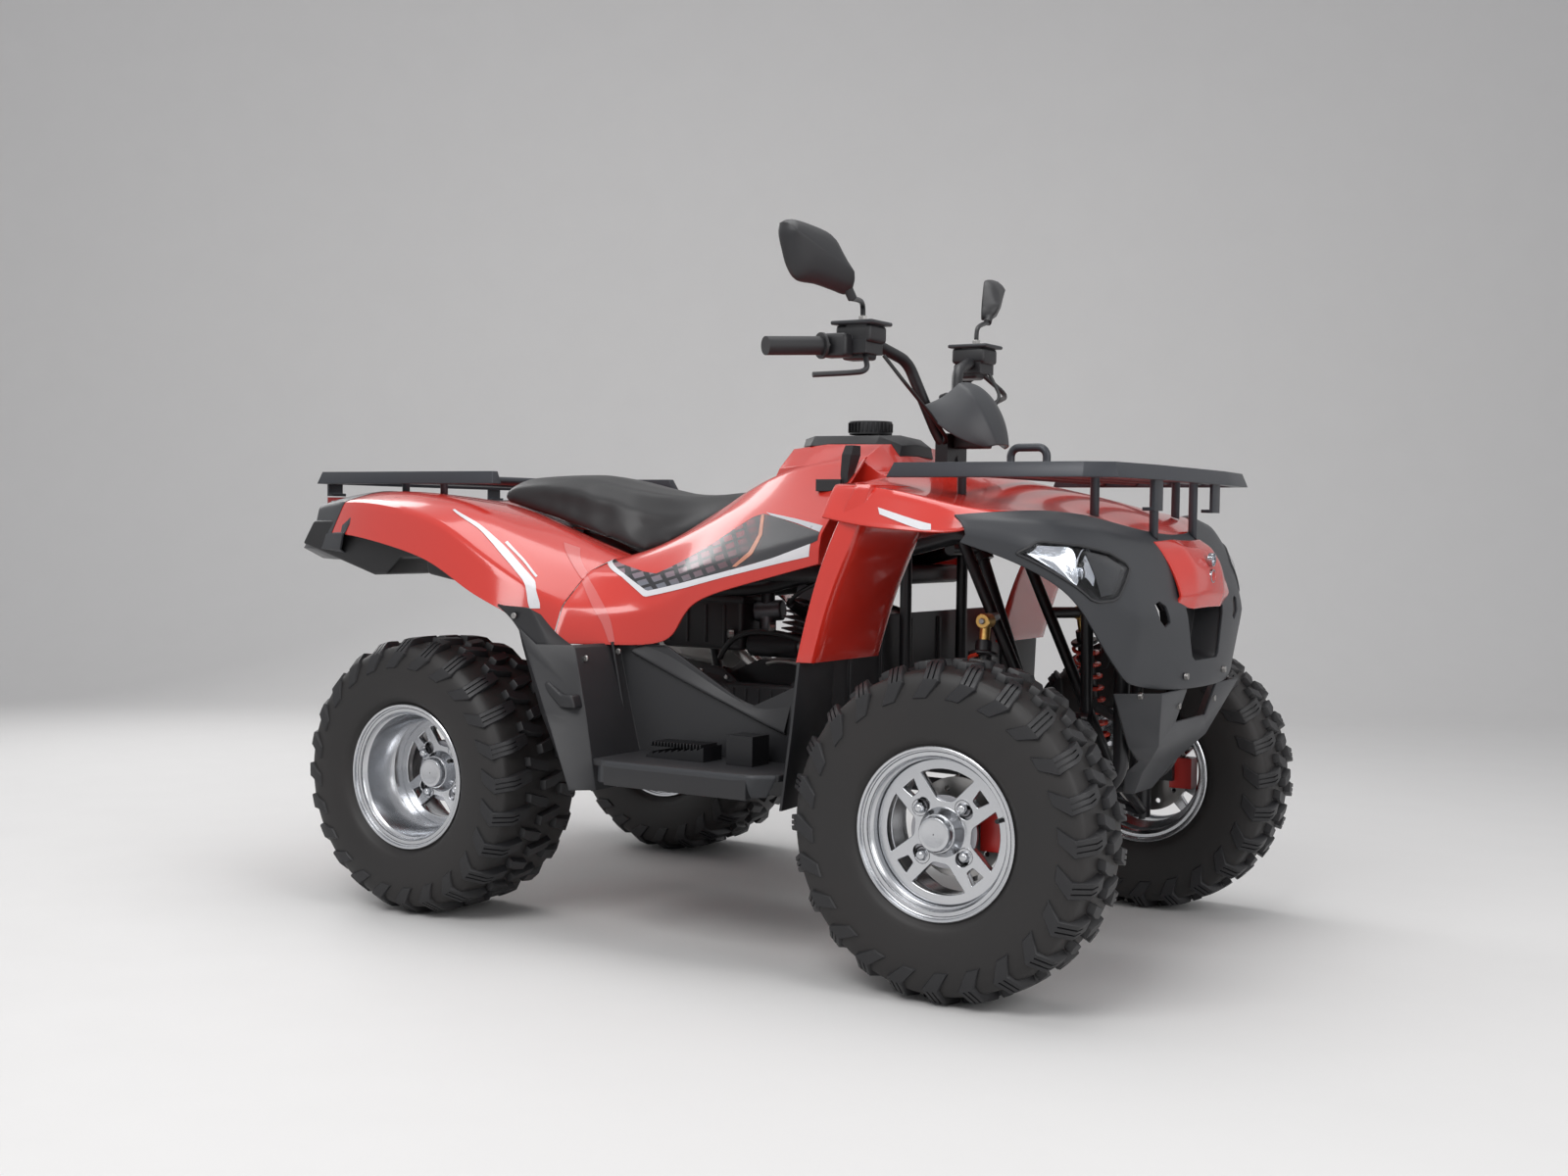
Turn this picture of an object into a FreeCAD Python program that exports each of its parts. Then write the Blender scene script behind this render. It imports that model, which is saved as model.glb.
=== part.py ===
import FreeCAD, Part
import math
import os

Vector = FreeCAD.Vector

# Driving dimensions, in millimetres
WHEELBASE = 1160.0
FRONT_TRACK = 908.0
REAR_TRACK = 848.0
FRONT_TYRE_RADIUS = 280.0
REAR_TYRE_RADIUS = 272.0
FRONT_TYRE_WIDTH = 180.0
REAR_TYRE_WIDTH = 254.0
REAR_REACH = 500.0
BODY_WIDTH = 1000.0
BODY_HEIGHT = 1000.0

# The origin is on the floor under the middle of the overall length
REAR_AXLE_X = (REAR_REACH - WHEELBASE - FRONT_TYRE_RADIUS) / 2

# General stock
GAP = 0.3
OVERRUN = 5.0
PANEL_THICKNESS = 5.0
FRAME_TUBE_RADIUS = 14.0
FRAME_BEND_RADIUS = 60.0
BRACE_TUBE_RADIUS = 11.0
LONGEST_SETBACK_SHARE = 0.45
SHORTEST_MITRE_SHARE = 0.50
SIDES = (-1, 1)
SIDE_NAMES = {-1: "right", 1: "left"}


def along(share):
    """Distance along the vehicle: 0 at the rear axle, 1 at the front axle."""
    return REAR_AXLE_X + share * WHEELBASE


def across(share):
    return share * BODY_WIDTH


def up(share):
    return share * BODY_HEIGHT


def place(x, y, z):
    return Vector(along(x), across(y), up(z))


def save(shape, name):
    shape.exportStep("parts/" + name + ".step")


def fused(shapes):
    whole = shapes[0]
    if len(shapes) > 1:
        whole = whole.fuse(shapes[1:])
    return whole.removeSplitter()


def largest(shape):
    return max(shape.Solids, key=lambda solid: solid.Volume)


def group(shapes):
    return Part.makeCompound([solid for shape in shapes for solid in shape.Solids])


def mirrored(shape):
    return shape.mirror(Vector(0, 0, 0), Vector(0, 1, 0))


def on_both_sides(shape):
    return group([shape, mirrored(shape)])


def block(low, high):
    size = high - low
    return Part.makeBox(size.x, size.y, size.z, low)


def rod(start, end, radius):
    run = end - start
    return Part.makeCylinder(radius, run.Length, start, run)


def disc(centre, radius, width, bore=0):
    """A round plate whose axis runs across the vehicle, centred on its width."""
    start = centre - Vector(0, width / 2, 0)
    plate = Part.makeCylinder(radius, width, start, Vector(0, 1, 0))
    if bore:
        plate = plate.cut(Part.makeCylinder(bore, width, start, Vector(0, 1, 0)))
    return plate


def face_through(points):
    return Part.Face(Part.makePolygon(points + points[:1]))


def prism(points, run):
    return face_through(points).extrude(run)


def bent_path(points, bend):
    """Straight runs joined by tangent arcs of the bend radius, or less on a short run."""
    edges = []
    start = points[0]
    for before, corner, after in zip(points, points[1:], points[2:]):
        inward = (before - corner).normalize()
        outward = (after - corner).normalize()
        half_turn = (math.pi - inward.getAngle(outward)) / 2
        shortest = min((before - corner).Length, (after - corner).Length)
        setback = min(bend * math.tan(half_turn), shortest * LONGEST_SETBACK_SHARE)
        radius = setback / math.tan(half_turn)
        first = corner + inward * setback
        last = corner + outward * setback
        middle_line = (inward + outward).normalize()
        middle = corner + middle_line * (radius / math.cos(half_turn) - radius)
        edges.append(Part.LineSegment(start, first).toShape())
        edges.append(Part.Arc(first, middle, last).toShape())
        start = last
    edges.append(Part.LineSegment(start, points[-1]).toShape())
    return Part.Wire(edges)


def bent_tube(points, radius, bend):
    path = bent_path(points, bend)
    section = Part.Wire(Part.makeCircle(radius, points[0], points[1] - points[0]))
    return path.makePipeShell([section], True, False)


def offset_line(points, thickness):
    """The same open line moved sideways in its plane, with mitred corners."""
    moved = []
    for index, point in enumerate(points):
        before = points[max(index - 1, 0)]
        after = points[min(index + 1, len(points) - 1)]
        first = (point[0] - before[0], point[1] - before[1])
        last = (after[0] - point[0], after[1] - point[1])
        if index == 0:
            first = last
        if index == len(points) - 1:
            last = first
        normals = []
        for run in (first, last):
            length = math.hypot(run[0], run[1])
            normals.append((run[1] / length, -run[0] / length))
        mid = (normals[0][0] + normals[1][0], normals[0][1] + normals[1][1])
        size = math.hypot(mid[0], mid[1])
        mid = (mid[0] / size, mid[1] / size)
        stretch = mid[0] * normals[0][0] + mid[1] * normals[0][1]
        reach = thickness / max(stretch, SHORTEST_MITRE_SHARE)
        moved.append((point[0] + mid[0] * reach, point[1] + mid[1] * reach))
    return moved


def loft(wires):
    return Part.makeLoft(wires, True, True)


def closed_wire(points):
    return Part.makePolygon(points + points[:1])


def skin_along(stations, thickness):
    """A thin panel lofted through cross-sections at stations along the vehicle.

    Each station is (x share, [(y share, z share), ...]), from the middle outwards,
    and the panel's thickness lies below and inside that line.
    """
    wires = []
    for x, line in stations:
        outer = [(across(y), up(z)) for y, z in line]
        inner = offset_line(outer, thickness)
        outline = outer + inner[::-1]
        wires.append(closed_wire([Vector(along(x), y, z) for y, z in outline]))
    return loft(wires)


def skin_across(stations, thickness):
    """A thin panel lofted through upright sections at stations across the vehicle."""
    wires = []
    for y, line in stations:
        outer = [(along(x), up(z)) for x, z in line]
        inner = offset_line(outer, -thickness)
        outline = outer + inner[::-1]
        wires.append(closed_wire([Vector(x, across(y), z) for x, z in outline]))
    return loft(wires)


def skin_upward(stations, thickness):
    """A thin wall lofted through plan outlines at stations up the vehicle."""
    wires = []
    for z, line in stations:
        outer = [(along(x), across(y)) for x, y in line]
        inner = offset_line(outer, thickness)
        outline = outer + inner[::-1]
        wires.append(closed_wire([Vector(x, y, up(z)) for x, y in outline]))
    return loft(wires)


def solid_along(stations):
    """A solid lofted through half sections that are mirrored about the middle."""
    wires = []
    for x, half in stations:
        near = [Vector(along(x), across(y), up(z)) for y, z in half]
        far = [Vector(along(x), across(-y), up(z)) for y, z in half[::-1] if y]
        wires.append(closed_wire(near + far))
    return loft(wires)


def ring_of_facets(centre, profile, count):
    """A ring about a line across the vehicle, made of flat facets.

    The profile is a closed list of (offset across, radius) in millimetres.
    """
    rows = []
    for step in range(count):
        angle = 2 * math.pi * step / count
        ray = Vector(math.cos(angle), 0, math.sin(angle))
        rows.append([centre + Vector(0, y, 0) + ray * radius for y, radius in profile])
    faces = []
    for row, following in zip(rows, rows[1:] + rows[:1]):
        for index in range(len(profile)):
            after = (index + 1) % len(profile)
            corners = [row[index], row[after], following[after], following[index]]
            faces.append(face_through(corners))
    return solid_of(faces)


# Wheels
FRONT_AXLE = Vector(along(1), 0, FRONT_TYRE_RADIUS)
REAR_AXLE = Vector(along(0), 0, REAR_TYRE_RADIUS)
WHEEL_FACETS = 32
RIM_SEAT_RADIUS = 127.0
RIM_LIP_RADIUS = 143.0
RIM_THICKNESS = 7.0
FRONT_RIM_WIDTH = 152.0
REAR_RIM_WIDTH = 212.0
FRONT_DISH_DEPTH = 34.0
REAR_DISH_DEPTH = 104.0
SPOKE_PLATE_THICKNESS = 12.0
BEAD_SHELF_SHARE = 0.39
WELL_SHARE = 0.25
HUB_BORE_RADIUS = 30.0
HUB_CAP_RADIUS = 31.0
HUB_CAP_STAND = 26.0
LUG_PITCHES = 18
CARCASS_SHARES = ((0.500, 0.780), (0.440, 0.880), (0.335, 0.925), (0.080, 0.945))
LUG_TIP_SHARES = ((0.500, 0.780), (0.482, 0.915), (0.365, 0.975), (0.080, 1.000))
LUG_LEADS_SHARES = (0.00, 0.00, 0.15, 0.50)
FLATNESS = 0.001
WINDOW_COUNT = 4
WINDOW_INNER_SHARE = 0.40
WINDOW_OUTER_SHARE = 0.86
WINDOW_SPAN_SHARE = 0.52
SLOT_INNER_SHARE = 0.62
SLOT_OUTER_SHARE = 0.84
SLOT_SPAN_SHARE = 0.17
NUT_CIRCLE_RADIUS = 55.0
NUT_RADIUS = 8.0
NUT_STAND = 9.0
NUT_SIDES = 6


def flat_faces(corners):
    """One face where the corners lie in one plane, or else two triangles."""
    if len(corners) > 3:
        normal = (corners[1] - corners[0]).cross(corners[2] - corners[0]).normalize()
        if abs(normal.dot(corners[3] - corners[0])) > FLATNESS:
            return [face_through(corners[:3]), face_through(corners[2:] + corners[:1])]
    return [face_through(corners)]


def tyre(centre, radius, width, rim_width):
    """A closed carcass from bead to bead with raised lugs, staggered from side to side."""
    bead = rim_width / 2 - RIM_THICKNESS - GAP
    inside = [(bead, RIM_SEAT_RADIUS + GAP), (bead, RIM_LIP_RADIUS + GAP)]
    base = inside + [(width * y, radius * r) for y, r in CARCASS_SHARES]
    tips = inside + [(width * y, radius * r) for y, r in LUG_TIP_SHARES]
    leads = (0,) * len(inside) + LUG_LEADS_SHARES
    foot = len(inside)
    rim_row = 0
    crown = len(base) - 1
    columns = LUG_PITCHES * 2

    def point(side, row, index, column):
        angle = 2 * math.pi * (column + leads[index] * 2) / columns
        y, reach = row[index]
        return centre + Vector(math.cos(angle) * reach, side * y, math.sin(angle) * reach)

    faces = []
    for column in range(columns):
        after = (column + 1) % columns
        for side in SIDES:
            raised = column % 2 == (side > 0)
            for index in range(crown):
                row = tips if raised else base
                spots = ((index, column), (index + 1, column), (index + 1, after), (index, after))
                cell = [point(side, row, i, c) for i, c in spots]
                faces += flat_faces(cell[::side])
                if raised and index >= foot:
                    for near, far, spot in ((1, 0, column), (3, 2, after)):
                        wall = [cell[near], cell[far]]
                        low_far = point(side, base, spots[far][0], spot)
                        low_near = point(side, base, spots[near][0], spot)
                        wall += [low for low, top in ((low_far, cell[far]), (low_near, cell[near]))
                                 if low.distanceToPoint(top) > FLATNESS]
                        faces += flat_faces(wall[::side])
            if raised:
                end = [point(side, tips, crown, after), point(side, tips, crown, column),
                       point(side, base, crown, column), point(side, base, crown, after)]
                faces += flat_faces(end[::side])
        for index, first, last in ((crown, after, column), (rim_row, column, after)):
            strip = [point(1, base, index, first), point(1, base, index, last),
                     point(-1, base, index, last), point(-1, base, index, first)]
            faces += flat_faces(strip)
    return solid_of(faces)


def solid_of(faces):
    whole = Part.Solid(Part.Shell(faces))
    if whole.Volume < 0:
        whole.reverse()
    return whole


def sector(centre, inner, outer, middle_angle, span, depth):
    """A wedge-shaped cutter for a wheel window, with its axis across the vehicle."""
    corners = []
    for radius, way in ((inner, -1), (outer, -1), (outer, 0), (outer, 1), (inner, 1)):
        angle = middle_angle + span * way / 2
        ray = Vector(math.cos(angle), 0, math.sin(angle))
        corners.append(centre + ray * radius - Vector(0, depth, 0))
    return prism(corners, Vector(0, depth * 2, 0))


def rim(centre, side, rim_width, dish_depth):
    """Stepped barrel with rolled lips, a windowed spoke plate, nuts and a hub cap."""
    half = rim_width / 2
    seat = RIM_SEAT_RADIUS
    lip = RIM_LIP_RADIUS
    wall = RIM_THICKNESS
    well = seat - wall * 2
    shelf = half * BEAD_SHELF_SHARE
    floor = half * WELL_SHARE
    right = [(floor, well), (shelf, seat), (half - wall, seat), (half - wall, lip), (half, lip)]
    left = [(-y, radius) for y, radius in right[::-1]]
    inner = [(half, lip - wall), (shelf, seat - wall), (floor, well - wall)]
    inner += [(-y, radius) for y, radius in inner[::-1]]
    outer = left + right
    barrel = ring_of_facets(centre, outer + inner, WHEEL_FACETS)
    face_y = side * (half - dish_depth)
    plate_centre = centre + Vector(0, face_y - side * SPOKE_PLATE_THICKNESS / 2, 0)
    in_well = abs(half - dish_depth) < floor
    plate_radius = well - wall / 2 if in_well else seat - wall / 2
    plate = disc(plate_centre, plate_radius, SPOKE_PLATE_THICKNESS, HUB_BORE_RADIUS)
    windows = []
    for index in range(WINDOW_COUNT):
        turn = 2 * math.pi / WINDOW_COUNT
        middle = turn * index
        inner_r = WINDOW_INNER_SHARE * plate_radius
        outer_r = WINDOW_OUTER_SHARE * plate_radius
        span = WINDOW_SPAN_SHARE * turn
        windows.append(sector(plate_centre, inner_r, outer_r, middle, span, SPOKE_PLATE_THICKNESS))
        slot_in = SLOT_INNER_SHARE * plate_radius
        slot_out = SLOT_OUTER_SHARE * plate_radius
        slot_span = SLOT_SPAN_SHARE * turn
        windows.append(sector(plate_centre, slot_in, slot_out, middle + turn / 2, slot_span,
                              SPOKE_PLATE_THICKNESS))
    plate = plate.cut(windows)
    cap_start = plate_centre - Vector(0, side * SPOKE_PLATE_THICKNESS / 2, 0)
    cap_run = Vector(0, side * (SPOKE_PLATE_THICKNESS + HUB_CAP_STAND), 0)
    cap = rod(cap_start, cap_start + cap_run, HUB_CAP_RADIUS)
    nuts = []
    for index in range(WINDOW_COUNT):
        angle = math.pi * (index * 2 + 1) / WINDOW_COUNT
        ray = Vector(math.cos(angle), 0, math.sin(angle))
        nuts.append(nut(centre + Vector(0, face_y, 0) + ray * NUT_CIRCLE_RADIUS, side))
    return fused([barrel, plate, cap] + nuts)


def nut(centre, side):
    corners = []
    for step in range(NUT_SIDES):
        angle = 2 * math.pi * step / NUT_SIDES
        corners.append(centre + Vector(math.cos(angle), 0, math.sin(angle)) * NUT_RADIUS)
    corners = [corner - Vector(0, side * OVERRUN / 2, 0) for corner in corners]
    return prism(corners, Vector(0, side * (NUT_STAND + OVERRUN / 2), 0))


# Front hubs, steering knuckles and brakes
KINGPIN_INSET = 52.0
KINGPIN_RADIUS = 7.0
BALL_JOINT_RISE = 82.0
BALL_EYE_RADIUS = 17.0
BALL_EYE_HEIGHT = 22.0
UPRIGHT_RADIUS = 17.0
STUB_AXLE_RADIUS = 12.0
HUB_RADIUS = 27.0
FRONT_DISC_RADIUS = 84.0
FRONT_DISC_THICKNESS = 4.0
FRONT_DISC_INSET = 18.0
DISC_HOLE_RADIUS = 5.0
DISC_HOLE_CIRCLE = 66.0
DISC_HOLE_COUNT = 10
CALIPER_CLEARANCE = 1.5
CALIPER_LENGTH = 62.0
CALIPER_HEIGHT = 46.0
CALIPER_WIDTH = 15.0
STEER_ARM_LENGTH = 80.0
STEER_ARM_THICKNESS = 9.0
STEER_ARM_RISE = 22.0


def front_wheel_centre(side):
    return FRONT_AXLE + Vector(0, side * FRONT_TRACK / 2, 0)


def kingpin_centre(side):
    return front_wheel_centre(side) - Vector(0, side * KINGPIN_INSET, 0)


def rear_wheel_centre(side):
    return REAR_AXLE + Vector(0, side * REAR_TRACK / 2, 0)


def front_hub(side):
    """Hub barrel on the stub axle, with the drilled brake disc."""
    wheel = front_wheel_centre(side)
    plate_back = FRONT_RIM_WIDTH / 2 - FRONT_DISH_DEPTH - SPOKE_PLATE_THICKNESS
    start = wheel - Vector(0, side * FRONT_DISC_INSET, 0)
    end = wheel + Vector(0, side * (plate_back - GAP), 0)
    barrel = rod(start, end, HUB_RADIUS)
    brake = disc(start + Vector(0, side * FRONT_DISC_THICKNESS, 0), FRONT_DISC_RADIUS,
                 FRONT_DISC_THICKNESS)
    holes = []
    for index in range(DISC_HOLE_COUNT):
        angle = 2 * math.pi * index / DISC_HOLE_COUNT
        ray = Vector(math.cos(angle), 0, math.sin(angle)) * DISC_HOLE_CIRCLE
        holes.append(disc(start + ray, DISC_HOLE_RADIUS, FRONT_DISC_THICKNESS * 4))
    bore = disc(wheel, STUB_AXLE_RADIUS + GAP, FRONT_RIM_WIDTH)
    return fused([barrel, brake.cut(holes)]).cut(bore)


def knuckle(side):
    """Upright between the two ball joints, stub axle, steering arm and its pin."""
    pin = kingpin_centre(side)
    half = BALL_JOINT_RISE - BALL_EYE_HEIGHT / 2 - GAP * 2
    upright = rod(pin - Vector(0, 0, half), pin + Vector(0, 0, half), UPRIGHT_RADIUS)
    reach = BALL_JOINT_RISE + BALL_EYE_HEIGHT / 2 + OVERRUN
    stud = rod(pin - Vector(0, 0, reach), pin + Vector(0, 0, reach), KINGPIN_RADIUS)
    wheel = front_wheel_centre(side)
    plate_back = FRONT_RIM_WIDTH / 2 - FRONT_DISH_DEPTH - SPOKE_PLATE_THICKNESS
    tip = wheel + Vector(0, side * (plate_back - OVERRUN), 0)
    stub = rod(pin, tip, STUB_AXLE_RADIUS)
    arm_start = pin + Vector(0, 0, STEER_ARM_RISE)
    arm_end = arm_start - Vector(STEER_ARM_LENGTH, 0, 0)
    half_width = Vector(0, STEER_ARM_THICKNESS, 0)
    rise = Vector(0, 0, STEER_ARM_THICKNESS / 2)
    arm = block(arm_end - half_width - rise, arm_start + half_width + rise)
    eye = rod(arm_end - rise, arm_end + rise, STEER_ARM_THICKNESS)
    ball_pin = rod(arm_end, arm_end + Vector(0, 0, TIE_PIN_LENGTH), TIE_PIN_RADIUS)
    return fused([upright, stud, stub, arm, eye, ball_pin, caliper_bracket(side)])


def caliper_bracket(side):
    """Lug that reaches forward from the upright to the inner face of the caliper."""
    pin = kingpin_centre(side)
    wheel = front_wheel_centre(side)
    middle = wheel.y - side * (FRONT_DISC_INSET - FRONT_DISC_THICKNESS)
    face = middle - side * (FRONT_DISC_THICKNESS / 2 + CALIPER_CLEARANCE + CALIPER_WIDTH + GAP)
    back = face - side * CALIPER_WIDTH
    reach = FRONT_DISC_RADIUS - CALIPER_HEIGHT / 2
    half_z = CALIPER_LENGTH / 4
    low = Vector(pin.x, min(face, back), pin.z - half_z)
    high = Vector(pin.x + reach, max(face, back), pin.z + half_z)
    return block(low, high)


def caliper(side):
    """A brake caliper that straddles the disc at its front edge, with its bracket."""
    wheel = front_wheel_centre(side)
    middle = wheel - Vector(0, side * (FRONT_DISC_INSET - FRONT_DISC_THICKNESS), 0)
    centre = middle + Vector(FRONT_DISC_RADIUS - CALIPER_HEIGHT / 4, 0, 0)
    half_x = CALIPER_HEIGHT / 2
    half_z = CALIPER_LENGTH / 2
    gap = FRONT_DISC_THICKNESS / 2 + CALIPER_CLEARANCE
    low = centre - Vector(half_x, gap + CALIPER_WIDTH, half_z)
    high = centre + Vector(half_x, gap + CALIPER_WIDTH, half_z)
    body = block(low, high)
    slot = disc(middle, FRONT_DISC_RADIUS + CALIPER_CLEARANCE, gap * 2)
    body = body.cut(slot)
    return body


# Steering
COLUMN_TILT = 20.0
COLUMN_TOP_X_SHARE = 0.786
COLUMN_TOP_Z_SHARE = 0.909
COLUMN_FOOT_Z_SHARE = 0.395
COLUMN_RADIUS = 13.0
COLUMN_BEARING_RADIUS = 22.0
PITMAN_THICKNESS = 8.0
TIE_PIN_RADIUS = 5.0
TIE_PIN_LENGTH = 20.0
TIE_ROD_RADIUS = 7.0
TIE_EYE_RADIUS = 12.0
TIE_EYE_HEIGHT = 18.0
TIE_INNER_OFFSET = 34.0
TIE_DRIFT_CLEARANCE = 5.0
BAR_RADIUS = 11.0
BAR_BEND_RADIUS = 55.0
CLAMP_SIZE = 26.0
GRIP_RADIUS = 17.0
GRIP_LENGTH = 118.0
GRIP_FLANGE_RADIUS = 24.0
PERCH_SIZE = 34.0
PERCH_PLACE_SHARE = 1.5
MIRROR_STALK_RADIUS = 5.0
MIRROR_WIDTH = 132.0
MIRROR_HEIGHT = 96.0
MIRROR_DEPTH = 34.0


def column_axis():
    tilt = math.radians(COLUMN_TILT)
    return Vector(-math.sin(tilt), 0, math.cos(tilt))


def column_top():
    return place(COLUMN_TOP_X_SHARE, 0, COLUMN_TOP_Z_SHARE)


def column_foot():
    top = column_top()
    drop = (top.z - up(COLUMN_FOOT_Z_SHARE)) / column_axis().z
    return top - column_axis() * drop


def pitman_direction():
    tilt = math.radians(COLUMN_TILT)
    return Vector(-math.cos(tilt), 0, -math.sin(tilt))


def pitman_end(side):
    end = column_foot() + pitman_direction() * STEER_ARM_LENGTH
    return end + Vector(0, side * TIE_INNER_OFFSET, 0)


def steering_column():
    """Tilted shaft with the arm that drives both tie rods."""
    foot = column_foot()
    top = column_top()
    shaft = rod(foot - column_axis() * PITMAN_THICKNESS * 2, top, COLUMN_RADIUS)
    half = Vector(0, TIE_INNER_OFFSET + TIE_EYE_RADIUS, 0)
    toward = pitman_direction()
    thick = column_axis() * PITMAN_THICKNESS
    heel = Vector(0, COLUMN_RADIUS, 0)
    end = foot + toward * (STEER_ARM_LENGTH + TIE_EYE_RADIUS)
    corners = [foot - heel - toward * COLUMN_RADIUS, end - half, end + half]
    corners.append(foot + heel - toward * COLUMN_RADIUS)
    arm = prism([corner - thick for corner in corners], thick)
    return fused([shaft, arm])


def tie_rod(side):
    """Link from the knuckle's pin to the column's arm, with an eye at each end."""
    outer = tie_outer(side)
    inner = tie_inner(side)
    half = Vector(0, 0, TIE_EYE_HEIGHT / 2)
    outer_eye = rod(outer - half, outer + half, TIE_EYE_RADIUS)
    inner_eye = rod(inner - half, inner + half, TIE_EYE_RADIUS)
    link = rod(outer, inner, TIE_ROD_RADIUS)
    bore = rod(outer - half * 2, outer + half * 2, TIE_PIN_RADIUS + GAP)
    return fused([outer_eye, inner_eye, link]).cut(bore)


def tie_outer(side):
    pin = kingpin_centre(side)
    rise = STEER_ARM_RISE + STEER_ARM_THICKNESS / 2 + GAP + TIE_EYE_HEIGHT / 2
    return pin + Vector(-STEER_ARM_LENGTH, 0, rise)


def tie_inner(side):
    drop = TIE_EYE_HEIGHT / 2 + TIE_DRIFT_CLEARANCE + PITMAN_THICKNESS
    drop += (TIE_EYE_RADIUS * math.tan(math.radians(COLUMN_TILT)))
    return pitman_end(side) - Vector(0, 0, drop)


BAR_SHARES = ((0.786, 0.028, 0.927), (0.775, 0.042, 0.960), (0.750, 0.105, 1.085),
              (0.736, 0.190, 1.108), (0.640, 0.392, 1.094))


def bar_points(side):
    return [place(x, side * y, z) for x, y, z in BAR_SHARES]


def handlebar():
    """One bent tube from grip to grip, held by two clamp posts on the column."""
    left = bar_points(1)
    right = bar_points(-1)
    tube = bent_tube(left[::-1] + right, BAR_RADIUS, BAR_BEND_RADIUS)
    top = column_top()
    half = CLAMP_SIZE / 2
    low = Vector(top.x - half, -left[0].y - half, top.z - half)
    high = Vector(top.x + half, left[0].y + half, left[0].z + CLAMP_SIZE)
    clamp = block(low, high).cut(steering_column())
    return largest(fused([tube, clamp]))


def grip(side):
    points = bar_points(side)
    run = (points[-1] - points[-2]).normalize()
    end = points[-1] + run * OVERRUN
    start = end - run * GRIP_LENGTH
    flange = rod(start, start + run * OVERRUN, GRIP_FLANGE_RADIUS)
    body = rod(start, end, GRIP_RADIUS)
    sleeve = rod(start - run * OVERRUN, points[-1], BAR_RADIUS + GAP)
    return fused([body, flange]).cut(sleeve)


LEVER_SHARES = ((0.752, 0.255, 1.070), (0.765, 0.285, 1.052), (0.748, 0.330, 1.046), (0.713, 0.376, 1.041))
LEVER_RADIUS = 5.0
RESERVOIR_LENGTH = 62.0
RESERVOIR_WIDTH = 42.0
RESERVOIR_HEIGHT = 26.0


def hand_control(side):
    """Lever perch clamped on the bar, with its lever and fluid reservoir."""
    points = bar_points(side)
    run = (points[-1] - points[-2]).normalize()
    centre = points[-2] + run * PERCH_SIZE * PERCH_PLACE_SHARE
    half = PERCH_SIZE / 2
    body = rod(centre - run * half, centre + run * half, half)
    reach = Vector(half, 0, 0)
    low = centre + reach + Vector(-half, -RESERVOIR_LENGTH / 2, -half)
    high = centre + reach + Vector(RESERVOIR_WIDTH - half, RESERVOIR_LENGTH / 2, half)
    housing = block(low, high)
    top_low = Vector(low.x, low.y, high.z - OVERRUN)
    cup = block(top_low, Vector(high.x, high.y, high.z + RESERVOIR_HEIGHT))
    lever_points = [place(x, side * y, z) for x, y, z in LEVER_SHARES]
    lever_points[0] = centre + Vector(RESERVOIR_WIDTH / 2, 0, -half / 2)
    lever = bent_tube(lever_points, LEVER_RADIUS, BAR_BEND_RADIUS)
    bore = rod(points[-2] - run * PERCH_SIZE, points[-1], BAR_RADIUS + GAP)
    whole = fused([body, housing, cup, lever]).cut(bore)
    return largest(whole)


CABLE_SHARES = ((0.762, 0.222, 1.086), (0.790, 0.205, 1.040), (0.800, 0.120, 0.985),
                (0.802, 0.050, 0.940), (0.780, 0.030, 0.930))
CABLE_RADIUS = 3.5
CABLE_BEND = 40.0


def front_cable(side, control, bar):
    """Brake line from the lever perch down to the clamp on the column."""
    points = [place(x, side * y, z) for x, y, z in CABLE_SHARES]
    return coped(bent_tube(points, CABLE_RADIUS, CABLE_BEND), [control, bar])


MIRROR_PLACE_SHARES = {-1: (0.745, -0.400, 1.253), 1: (0.672, 0.400, 1.276)}
MIRROR_OUTLINE_SHARES = ((-0.50, 0.30), (-0.32, 0.50), (0.10, 0.50), (0.42, 0.22), (0.50, -0.20),
                         (0.30, -0.50), (-0.20, -0.42), (-0.46, -0.05))
MIRROR_PROFILE_SHARES = ((0.00, 0.96), (0.30, 1.00), (1.00, 0.55))
MIRROR_NECK_SHARES = (0.40, 0.34, 0.40)
MIRROR_KNEE_SHARE = 0.55


def mirror(side):
    """Mirror head with a domed back, on a cranked stalk from the lever perch."""
    centre = place(*MIRROR_PLACE_SHARES[side])
    wires = []
    for depth, share in MIRROR_PROFILE_SHARES:
        points = []
        for y, z in MIRROR_OUTLINE_SHARES:
            offset = Vector(MIRROR_DEPTH * depth, -side * y * MIRROR_WIDTH * share,
                            z * MIRROR_HEIGHT * share)
            points.append(centre + offset)
        wires.append(closed_wire(points))
    head = loft(wires)
    points = bar_points(side)
    run = (points[-1] - points[-2]).normalize()
    foot = points[-2] + run * PERCH_SIZE * PERCH_PLACE_SHARE
    foot = foot + Vector(PERCH_SIZE / 2, 0, PERCH_SIZE / 2 + RESERVOIR_HEIGHT + GAP)
    neck_x, neck_y, neck_z = MIRROR_NECK_SHARES
    socket = centre + Vector(MIRROR_DEPTH * neck_x, 0, 0)
    neck = socket - Vector(0, side * MIRROR_WIDTH * neck_y, MIRROR_HEIGHT * neck_z)
    knee = foot + Vector(0, 0, MIRROR_HEIGHT * MIRROR_KNEE_SHARE)
    stalk = bent_tube([foot, knee, neck, socket], MIRROR_STALK_RADIUS, BAR_BEND_RADIUS / 2)
    return fused([head, stalk])


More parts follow.
